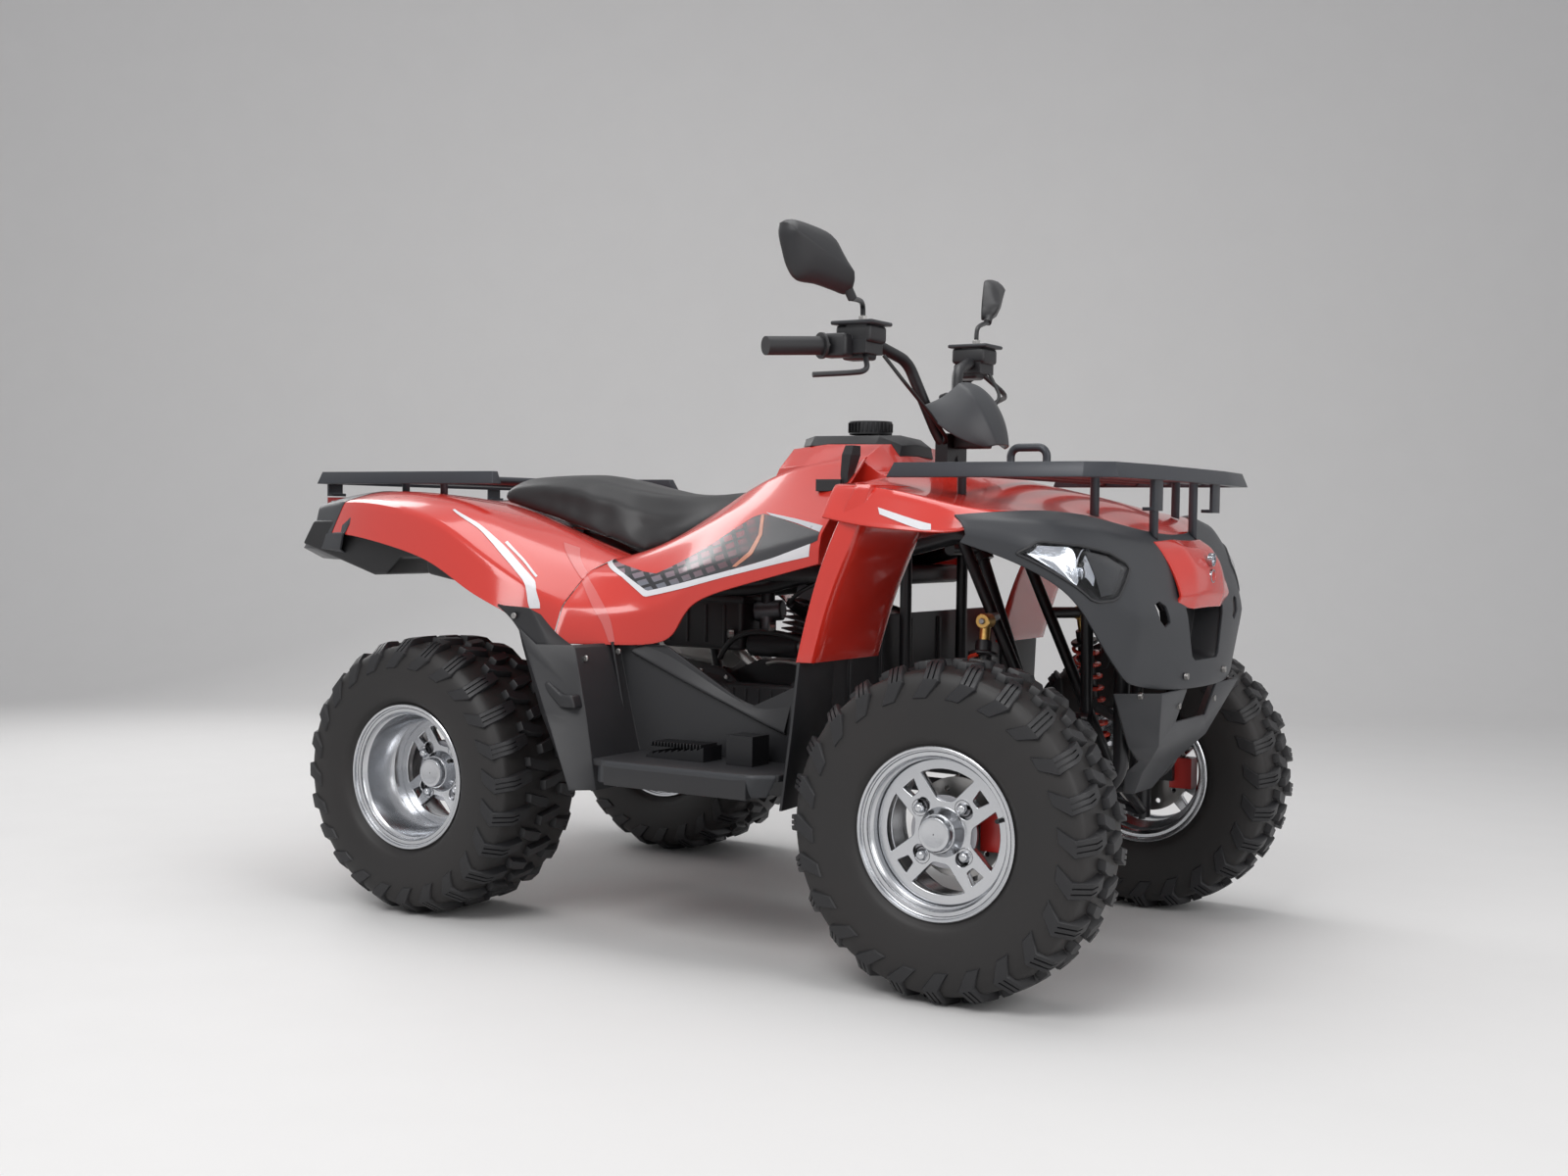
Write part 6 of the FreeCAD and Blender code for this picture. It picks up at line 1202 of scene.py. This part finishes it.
def headlamps(skin):
    """Both lamps in the fascia and the two small ones in the nose."""
    right = joined("headlamp_right", headlamp(skin))
    left = mirrored(right, "headlamp_left")
    small = []
    for number, height in enumerate(NOSE_LAMP_HEIGHTS):
        for part, look, profile in (
                ("lamp", CHROME, [(0, HAIR), (0, 0.012), (0.008, 0.012), (0.0085, 0.0105), (0.003, 0.0085),
                                  (0.001, HAIR)]),
                ("glass", GLASS, [(0.007, 0.011), (0.0095, 0.008), (0.011, 0.004), (0.0115, HAIR)])):
            small.append(revolve(f"nose_{part}_{number}", profile, (NOSE_LAMP_X, 0, height), (1, 0, 0), look, 32,
                                 closed=False))
    put(right, "chassis", "headlamps", slot="lamp_lens")
    put(left, "chassis", slot="lamp_lens")
    put(joined("nose_lamps", small), "chassis", slot="lamp_lens")


headlamps(FASCIA_FACE)


# ---------------------------------------------------------------- rounded copies of CAD solids

def rounded(node_name, name, look, width, *tools, slot=None):
    """A CAD solid with its edges really rounded, and cuts made first."""
    source = NODES[node_name]
    mesh = source.data.copy()
    mesh.transform(source.matrix_world)
    paint(mesh, look)
    made = linked(name, mesh)
    with opened(mesh) as work:
        bmesh.ops.remove_doubles(work, verts=work.verts, dist=WELD)
        bmesh.ops.dissolve_limit(work, angle_limit=math.radians(2), verts=work.verts, edges=work.edges)
    if tools:
        carve(made, *tools)
    modify(made, "BEVEL", width=width, segments=2, limit_method="ANGLE", angle_limit=math.radians(24),
           use_clamp_overlap=True)
    put(bake(made, 30), "chassis", node_name, slot=slot)


def rounded_solids():
    """Racks, guards, tank, footboards and leg shields."""
    opening = box("cutter", (0.8, -0.078, 0.44), (1.0, 0.078, 0.508), HOSE, 0.004)
    rounded("lower_guard", "guard_skin", GREY_BLACK, 0.002, opening, slot="black_plastic")
    for line in (("front_rack", "rack_front_bars", RACK, 0.0025), ("rear_rack", "rack_rear_bars", RACK, 0.0025),
                 ("tail_guards", "tail_guard_skin", GREY_BLACK, 0.002), ("tank_cover", "tank_skin", RED, 0.003),
                 ("tank_top_panel", "tank_top_skin", BLACK, 0.0025), ("footboards", "footboard_plates", BLACK, 0.0015),
                 ("footwell_right", "leg_shield_right", BLACK, 0.0018),
                 ("footwell_left", "leg_shield_left", BLACK, 0.0018)):
        rounded(*line)


rounded_solids()


# ---------------------------------------------------------------- springs, engine bay, guards

SPRING_SHARES = (0.18, 0.725)    # of the damper; the tie rod passes below the lower seat at full lock
SPRING_TURNS = 8
SPRING_RADIUS = 0.0235
SPRING_STEPS = 20    # points in one turn


def spring_shock(name, top, foot):
    """Damper with a wound spring, seats, a gold clevis above and a steel rod below."""
    top, foot = Vector(top), Vector(foot)
    run = foot - top
    line = run.normalized()
    side = line.cross(Vector((1, 0, 0))).normalized()
    other = line.cross(side)
    start, end = SPRING_SHARES
    winding = []
    for k in range(SPRING_TURNS * SPRING_STEPS + 1):
        t = k / (SPRING_TURNS * SPRING_STEPS)
        angle = 2 * math.pi * SPRING_TURNS * t
        winding.append(top + run * (start + (end - start) * t)
                       + (side * math.cos(angle) + other * math.sin(angle)) * SPRING_RADIUS)
    pieces = [tube(name + "_spring", winding, 0.0042, SPRING, 2, 1),
              rod(name + "_body", top + run * 0.1, top + run * 0.6, 0.015, FRAME),
              rod(name + "_rod", top + run * 0.55, foot, 0.0065, STEEL, steps=20)]
    for t in (start - 0.012, end + 0.012):
        pieces.append(rod(name + "_seat", top + run * (t - 0.01), top + run * (t + 0.01), 0.027, FRAME, 0.002, 40))
    across = Vector((0, 0.014, 0))
    for eye, look, shank in ((top, BRASS, 0.045), (foot, STEEL, -0.045)):
        pieces.append(rod(name + "_eye", eye - across, eye + across, 0.0135, look, 0.0015, 28))
        pieces.append(rod(name + "_bolt", eye - across * 1.3, eye + across * 1.3, 0.0058, STEEL, 0.001, 6))
        pieces.append(rod(name + "_shank", eye, eye + line * shank, 0.0095, look))
    return joined(name, pieces)


def shocks():
    """Two front dampers and one at the rear."""
    right = spring_shock("shock_front_right", (0.625, -0.215, 0.61), (0.644, -0.303, 0.262))
    left = mirrored(right, "shock_front_left")
    put(right, "chassis", "front_shocks", slot="spring_red")
    put(left, "chassis", slot="spring_red")
    put(spring_shock("shock_rear", (-0.2844, 0, 0.63), (-0.303, 0, 0.332)), "chassis", "rear_shock",
        slot="spring_red")


def ribbed_cover(name, centre, radius, out, look, bolts):
    """A round engine cover with a stepped rim, radial ribs and its bolts."""
    x, y, z = centre
    steps = ((0, 1), (0.35, 1), (0.45, 0.94), (0.45, 0.84), (0.85, 0.74), (1, 0.66))
    profile = [(0, HAIR)] + [(out * a, radius * r) for a, r in steps] + [(out, HAIR)]
    pieces = [revolve(name + "_dome", profile, centre, (0, -1, 0), look, 72, closed=False)]
    for k in range(bolts):
        angle = 2 * math.pi * (k + 0.3) / bolts
        bolt_x, bolt_z = polar(radius * 0.9, angle, (x, z))
        rib_x, rib_z = polar(radius * 0.52, angle, (x, z))
        place = Vector((bolt_x, y - out * 0.44, bolt_z))
        pieces.append(rod(f"{name}_bolt", place, place + Vector((0, -0.005, 0)), 0.0048, STEEL, 0.001, 6))
        turn = Matrix.Translation((rib_x, y - out * 0.98, rib_z)) @ Matrix.Rotation(-angle, 4, "Y")
        pieces.append(box(f"{name}_rib", (-radius * 0.13, -0.003, -0.0025), (radius * 0.13, 0.002, 0.0025), look,
                          0.001, turn))
    return pieces


ENGINE_RODS = (
    ("starter", (0.045, -0.085, 0.535), (0.165, -0.085, 0.535), 0.024, CAST, 0.004, 40),
    ("starter_cap", (0.16, -0.085, 0.535), (0.18, -0.085, 0.535), 0.019, STEEL, 0.003, 40),
    ("carburettor", (0.04, -0.062, 0.6), (0.098, -0.05, 0.604), 0.021, FINS, 0.003, 32),
    ("float_bowl", (0.066, -0.058, 0.56), (0.066, -0.058, 0.6), 0.017, FINS, 0.003, 32),
    ("slide_cap", (0.066, -0.058, 0.604), (0.066, -0.058, 0.64), 0.014, CAST, 0.003, 24),
    ("oil_filler", (0.285, -0.108, 0.44), (0.285, -0.132, 0.448), 0.014, BRASS, 0.002, 12),
    ("plug_cap", (0.15, -0.056, 0.6), (0.15, -0.11, 0.622), 0.01, HOSE, 0.002, 20),
)
ENGINE_HOSES = (
    (((0.15, -0.105, 0.62), (0.165, -0.14, 0.64), (0.23, -0.125, 0.672), (0.3, -0.105, 0.69)), 0.004, HOSE),
    (((0.066, -0.058, 0.64), (0.09, -0.09, 0.68), (0.18, -0.12, 0.69), (0.3, -0.125, 0.66)), 0.0032, HOSE),
    (((-0.02, -0.1, 0.505), (0.02, -0.125, 0.56), (0.12, -0.13, 0.575), (0.25, -0.12, 0.54),
      (0.32, -0.1, 0.47)), 0.006, HOSE),
    (((0.27, -0.105, 0.48), (0.3, -0.13, 0.54), (0.33, -0.12, 0.62), (0.345, -0.11, 0.69)), 0.005, HOSE),
    (((0.1, -0.11, 0.5), (0.16, -0.132, 0.52), (0.24, -0.13, 0.5), (0.29, -0.11, 0.455)), 0.0045, STEEL),
)
HOSE_CLIPS = ((0.02, -0.123, 0.556), (0.12, -0.128, 0.574), (0.24, -0.118, 0.54), (0.3, -0.128, 0.54),
              (0.18, -0.118, 0.688))


def engine_bay():
    """Covers, starter, carburettor, hoses and air box, guessed from the type."""
    pieces = ribbed_cover("clutch_cover", (0.215, -0.114, 0.4), 0.082, 0.022, CAST, 7)
    pieces += ribbed_cover("belt_cover", (-0.03, -0.114, 0.4), 0.09, 0.02, CAST, 8)
    pieces.append(box("belt_case", (-0.06, -0.128, 0.345), (0.215, -0.112, 0.462), CAST, 0.01))
    for k in range(5):
        x = 0.03 + 0.03 * k
        pieces.append(box("case_rib", (x, -0.131, 0.356), (x + 0.004, -0.126, 0.45), CAST, 0.001))
    pieces += [rod(*line) for line in ENGINE_RODS]
    pieces += [tube("bay_hose", line, radius, look, 3, 8) for line, radius, look in ENGINE_HOSES]
    half = Vector((0.004, 0.004, 0))
    pieces += [rod("hose_clip", Vector(p) - half, Vector(p) + half, 0.0085, STEEL, 0.001, 20) for p in HOSE_CLIPS]
    pieces.append(box("airbox_body", (-0.16, -0.112, 0.522), (0.04, -0.02, 0.655), BLACK, 0.012))
    pieces.append(box("airbox_lid", (-0.165, -0.117, 0.618), (0.045, -0.018, 0.632), BLACK, 0.004))
    for k in range(4):
        x = -0.14 + 0.045 * k
        pieces.append(box("airbox_rib", (x, -0.116, 0.535), (x + 0.006, -0.11, 0.612), BLACK, 0.002))
    pieces.append(box("tank_belly", (0.095, -0.16, 0.664), (0.39, 0.16, 0.7), BLACK, 0.012))
    pieces.append(box("regulator", (0.25, -0.1, 0.59), (0.32, -0.07, 0.65), FINS, 0.004))
    put(joined("engine_dressing", pieces), "chassis", slot="engine_metal")


TAIL_FLAP = ((-0.832, 0.722), (-0.626, 0.662), (-0.59, 0.664), (-0.552, 0.698), (-0.508, 0.7), (-0.492, 0.716),
             (-0.52, 0.742), (-0.7, 0.772), (-0.8, 0.77))
INNER_FLAP = ((-0.483, 0.722), (-0.47, 0.668), (-0.395, 0.656), (-0.3, 0.632), (-0.285, 0.66), (-0.375, 0.722),
              (-0.47, 0.752))


def splash_guards():
    """Dark sheet behind the front wheels, and the tail's underside."""
    plates = [box("splash_plate", (0.384, -0.346, 0.33), (0.39, 0.346, 0.61), BLACK, 0.002)]
    for k in range(6):
        y = -0.29 + 0.116 * k
        plates.append(box("splash_rib", (0.389, y - 0.004, 0.345), (0.396, y + 0.004, 0.6), BLACK, 0.0015))
    put(joined("splash_plate", plates), "chassis", slot="black_plastic")
    for side in SIDES:
        name = "under_tail_" + SIDE_NAMES[side]
        pieces = [block(name + "_flap", TAIL_FLAP, side, 0.33, 0.462, HOSE, 0.006),
                  block(name + "_inner", INNER_FLAP, side, 0.36, 0.47, HOSE, 0.006)]
        put(joined(name, pieces), "chassis", slot="black_plastic")


SHIELD_TOP_ROWS = (
    ((-0.196, 0.484, 0.54), (-0.184, 0.502, 0.54), (-0.15, 0.486, 0.54), (-0.112, 0.43, 0.53)),
    ((-0.226, 0.488, 0.588), (-0.214, 0.508, 0.588), (-0.166, 0.496, 0.585), (-0.146, 0.462, 0.56)),
    ((-0.268, 0.492, 0.612), (-0.25, 0.514, 0.616), (-0.178, 0.506, 0.612), (-0.166, 0.486, 0.6)),
)
BAND_TOP = ((-0.03, 0.546), (0.0288, 0.543), (0.125, 0.4905), (0.2202, 0.4385), (0.27, 0.445),
            (0.31, 0.465))
BAND_FOOT = ((-0.0447, 0.532), (0.02, 0.506), (0.0999, 0.4744), (0.19, 0.442), (0.25, 0.418),
             (0.3, 0.402))
BAND_STEPS = ((BAND_TOP, 0.352, 0), (BAND_FOOT, 0.364, 0), (BAND_FOOT, 0.3635, -0.004), (BAND_FOOT, 0.351, -0.01))
SHIELD_RIB = ((-0.076, 0.384, 0.548), (-0.068, 0.3805, 0.5), (-0.0584, 0.3755, 0.446), (-0.044, 0.37, 0.352))
SHIELD_NOTCH = ((-0.148, 0.468), (-0.1, 0.43), (-0.066, 0.431), (-0.074, 0.455), (-0.1, 0.455), (-0.132, 0.478))
SKIRT_ROWS = (
    ((0.002, 0.522, 0.3455), (0.02, 0.5345, 0.3455), (0.34, 0.5345, 0.3455), (0.374, 0.505, 0.3455)),
    ((0.004, 0.524, 0.34), (0.021, 0.5365, 0.34), (0.341, 0.5365, 0.34), (0.375, 0.507, 0.34)),
    ((-0.006, 0.514, 0.304), (0.008, 0.527, 0.304), (0.318, 0.527, 0.304), (0.352, 0.5, 0.304)),
)
SHIELD_SCREWS = ((-0.21, 0.512, 0.597), (-0.082, 0.456, 0.52), (-0.064, 0.38, 0.53), (0.33, 0.356, 0.52),
                 (0.362, 0.356, 0.505))


def shield_details():
    """Top, band, rib, notch, skirt and screws of each leg shield, and the teeth of the pedals."""
    for side in SIDES:
        def sided(row):
            return [Vector((x, side * y, z)) for x, y, z in row]
        pieces = [
            panel("shield_top", [sided(row) for row in SHIELD_TOP_ROWS], BLACK, (-0.15, side * 0.35, 0.55),
                  {1: 0.6, 2: 0.5}),
            panel("shield_band", [sided((x, y, z + rise) for x, z in line) for line, y, rise in BAND_STEPS], BLACK,
                  (0.12, 0, 0.48), row_folds={1: 0.8, 2: 0.8}, thickness=0.003, edge=0),
            tube("shield_rib", sided(SHIELD_RIB), 0.0032, BLACK),
            block("shield_notch", SHIELD_NOTCH, side, 0.47, 0.508, BLACK, 0.004),
            panel("skirt", [sided(row) for row in SKIRT_ROWS], GREY_BLACK, (0.18, side * 0.3, 0.32), {1: 0.8, 2: 0.8},
                  {1: 0.7})]
        pieces += [screw("shield_screw", place, (0, side, 0)) for place in sided(SHIELD_SCREWS)]
        for k in range(16):
            x = 0.06 + 0.0072 * k
            pieces.append(side_box("pedal_tooth", side, (x, 0.388, 0.366), (x + 0.003, 0.442, 0.3745 + 0.0001 * k),
                                   FRAME, 0.0008))
        put(joined("shield_details_" + SIDE_NAMES[side], pieces), "chassis", slot="black_plastic")


WELL_FRONT = ((-0.104, 0.646), (-0.074, 0.554), (-0.06, 0.542), (0.06, 0.542), (0.074, 0.554), (0.104, 0.646))
GUARD_SCREWS = ((0.92, 0.223, 0.496), (0.94, 0.093, 0.47), (0.956, 0.1, 0.523))


def bumper_details():
    """Well behind the fascia's recess, from its skin inwards, the cheek slots' backs and the guard's screws."""
    verts = []
    for y, z in WELL_FRONT:
        struck = FASCIA_FACE.ray_cast(Vector((1.2, y, z)), Vector((-1, 0, 0)))[0]
        verts.append((struck.x - 0.003 if struck is not None and struck.x > 0.92 else 0.928, y, z))
    verts += [(0.9, y * 0.86, 0.6 + (z - 0.6) * 0.72) for y, z in WELL_FRONT]
    count = len(WELL_FRONT)
    well = mesh_object("bumper_well", verts, grid_faces(2, count, True) + [list(range(count, 2 * count))], BLACK, 30)
    modify(well, "SOLIDIFY", thickness=0.003, offset=0)
    pieces = [bake(well, 30)]
    for side in SIDES:
        pieces.append(side_box("cheek_well", side, (0.88, 0.16, 0.604), (0.893, 0.218, 0.66), HOSE, 0.002))
    for x, y, z in GUARD_SCREWS:
        pieces += [screw("guard_screw", (x, side * y, z), (1, 0, 0), -0.004) for side in SIDES]
    put(joined("bumper_details", pieces), "chassis", slot="black_plastic")


CONTROL_BOXES = (
    ("lid", (0.33, 0.196, 1.14), (0.418, 0.274, 1.1475), GREY_BLACK, 0.003),
    ("cup", (0.336, 0.202, 1.108), (0.41, 0.266, 1.1405), BLACK, 0.007),
    ("clamp", (0.338, 0.206, 1.078), (0.392, 0.246, 1.109), BLACK, 0.006),
    ("switch", (0.318, 0.252, 1.08), (0.372, 0.29, 1.124), BLACK, 0.008),
    ("key", (0.315, 0.257, 1.092), (0.319, 0.265, 1.112), GREY_BLACK, 0.0015),
    ("stop_key", (0.315, 0.2675, 1.092), (0.319, 0.2755, 1.112), SPRING, 0.0015),
    ("low_key", (0.315, 0.278, 1.092), (0.319, 0.286, 1.112), GREY_BLACK, 0.0015),
)


def controls():
    """Reservoir with a flat lid, clamp and switch housing with its keys at each end of the bar."""
    pieces = []
    for side in SIDES:
        pieces += [side_box(name, side, *line) for name, *line in CONTROL_BOXES]
        for y in (0.205, 0.266):
            for x in (0.338, 0.41):
                foot = Vector((x, side * y, 1.147))
                pieces.append(rod("lid_screw", foot, foot + Vector((0, 0, 0.0012)), 0.0035, STEEL, 0.0004, 16))
    put(joined("bar_controls", pieces), "steering", slot="black_plastic")


CAP_RIBS = 30


def cap_grip():
    """The ribs round the fuel cap, which the hand turns it by."""
    low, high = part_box("fuel_cap")
    centre, radius = (low + high) / 2, (high.x - low.x) / 2
    pieces = []
    for k in range(CAP_RIBS):
        angle = 2 * math.pi * k / CAP_RIBS
        turn = Matrix.Translation((*polar(radius, angle, centre), 0)) @ Matrix.Rotation(angle, 4, "Z")
        pieces.append(box("cap_rib", (-0.0024, -0.0021, low.z + 0.005), (0.0017, 0.0021, high.z - 0.0035), BLACK,
                          0.0009, turn))
    put(joined("cap_grip", pieces), "chassis", slot="black_plastic")


for make in (shocks, engine_bay, splash_guards, shield_details, bumper_details, cap_grip, controls):
    make()


# ---------------------------------------------------------------- materials of the CAD solids

FINISH = (
    (RED, "tank_cover"), (GREY_BLACK, "lower_guard instrument_pod"), (VINYL, "seat"), (CHROME, "headlamps"),
    (BLACK, "tank_top_panel fuel_cap footwell_left footwell_right footboards hand_controls mirrors tail_guards "
            "shift_lever skid_plate"),
    (RACK, "front_rack rear_rack"), (CAST, "crankcase"), (FINS, "cylinder"), (SPRING, "front_shocks rear_shock"),
    (FRAME, "lower_rails upper_rails frame_braces column_bearings suspension_arms swingarm tow_hitch steering_column "
            "handlebar knuckle_left knuckle_right foot_controls"),
    (STEEL, "exhaust drive_chain rear_axle_shaft rear_drive_discs front_hub_left front_hub_right tie_rod_left "
            "tie_rod_right"),
    (GRIP, "grips"), (CALIPER, "brake_caliper_left brake_caliper_right"), (TAIL, "tail_lamps"),
    (HOSE, "front_cables"),
)
for look, names in FINISH:
    for node_name in names.split():
        paint(NODES[node_name].data, look)


# ---------------------------------------------------------------- stage, light, camera

CAMERA_PLACE = (2.001, -3.078, 0.777)
CAMERA_FORWARD = Vector((-0.5317, 0.8462, -0.036)).normalized()
CAMERA_ROLL = 0.014
CAMERA_LENS = 40.95
BACKDROP_REACH, BACKDROP_BEND = 3.6, 1.6


def stage():
    """Floor that bends up into a backdrop across the camera's line of sight."""
    pale = material("studio_floor", (0.78, 0.77, 0.76), 0.7, bump=0.02, scale=200, mottle=0.15,
                    dirt=(0.72, 0.71, 0.7))
    bend = [polar(BACKDROP_BEND, math.radians(90 * step / 12 - 90), (BACKDROP_REACH, BACKDROP_BEND))
            for step in range(13)]
    profile = [(-3.2, 0.0), *bend, (5.2, 5.5)]
    forward = Vector((CAMERA_FORWARD.x, CAMERA_FORWARD.y, 0)).normalized()
    side_way = Vector((forward.y, -forward.x, 0))
    points = [forward * reach + side_way * wide + Vector((0, 0, height))
              for reach, height in profile for wide in (-9, 9)]
    mesh_object("studio_sweep", points, grid_faces(len(profile), 2), pale, 60)


def area_light(name, place, target, size, power, size_y):
    """A rectangular light that looks at a target."""
    data = bpy.data.lights.new(name, "AREA")
    data.energy = power
    data.shape = "RECTANGLE"
    data.size = size
    data.size_y = size_y
    lamp = linked(name, data)
    lamp.location = place
    lamp.rotation_euler = (Vector(target) - Vector(place)).to_track_quat("-Z", "Y").to_euler()


def world():
    """A plain soft level for the object, and a pale background for the camera, metal and glass."""
    made = bpy.data.worlds.new("studio")
    made.use_nodes = True
    tree = made.node_tree
    path = node(tree, "LightPath")
    seen = path.outputs["Is Camera Ray"]
    for ray in ("Is Glossy Ray", "Is Transmission Ray"):
        seen = node(tree, "Math", {0: seen, 1: path.outputs[ray]}, operation="MAXIMUM").outputs[0]
    mix = node(tree, "Mix", {"A": (0.34, 0.345, 0.36, 1), "B": (0.7, 0.7, 0.71, 1), "Factor": seen},
               data_type="RGBA")
    fill(tree, tree.nodes["Background"], {"Color": mix.outputs["Result"]})
    bpy.context.scene.world = made
    bpy.context.scene.view_settings.view_transform = "Standard"


def camera():
    """The photograph's camera, solved from the wheels, the handlebar and the racks."""
    data = bpy.data.cameras.new("view")
    data.sensor_width = 36
    data.lens = CAMERA_LENS
    data.clip_end = 50
    view = linked("view", data)
    right = CAMERA_FORWARD.cross(Vector((0, 0, 1))).normalized()
    upward = right.cross(CAMERA_FORWARD)
    turned = right * math.cos(CAMERA_ROLL) + upward * math.sin(CAMERA_ROLL)
    above = upward * math.cos(CAMERA_ROLL) - right * math.sin(CAMERA_ROLL)
    rows = [(turned[k], above[k], -CAMERA_FORWARD[k], CAMERA_PLACE[k]) for k in range(3)]
    view.matrix_world = Matrix((*rows, (0, 0, 0, 1)))
    bpy.context.scene.camera = view


stage()
world()
camera()
area_light("key", (0.4, -3.4, 3.6), (0.1, 0, 0.6), 2.6, 84, 1.8)
area_light("top", (0.2, 0.3, 4.2), (0.1, 0, 0.6), 3.4, 62, 2.4)
area_light("front_fill", (3.8, -1.2, 2.0), (0.4, 0, 0.6), 2.0, 40, 2.2)
area_light("rear_rim", (-3.4, 0.9, 2.4), (-0.3, 0, 0.7), 1.6, 34, 2.0)
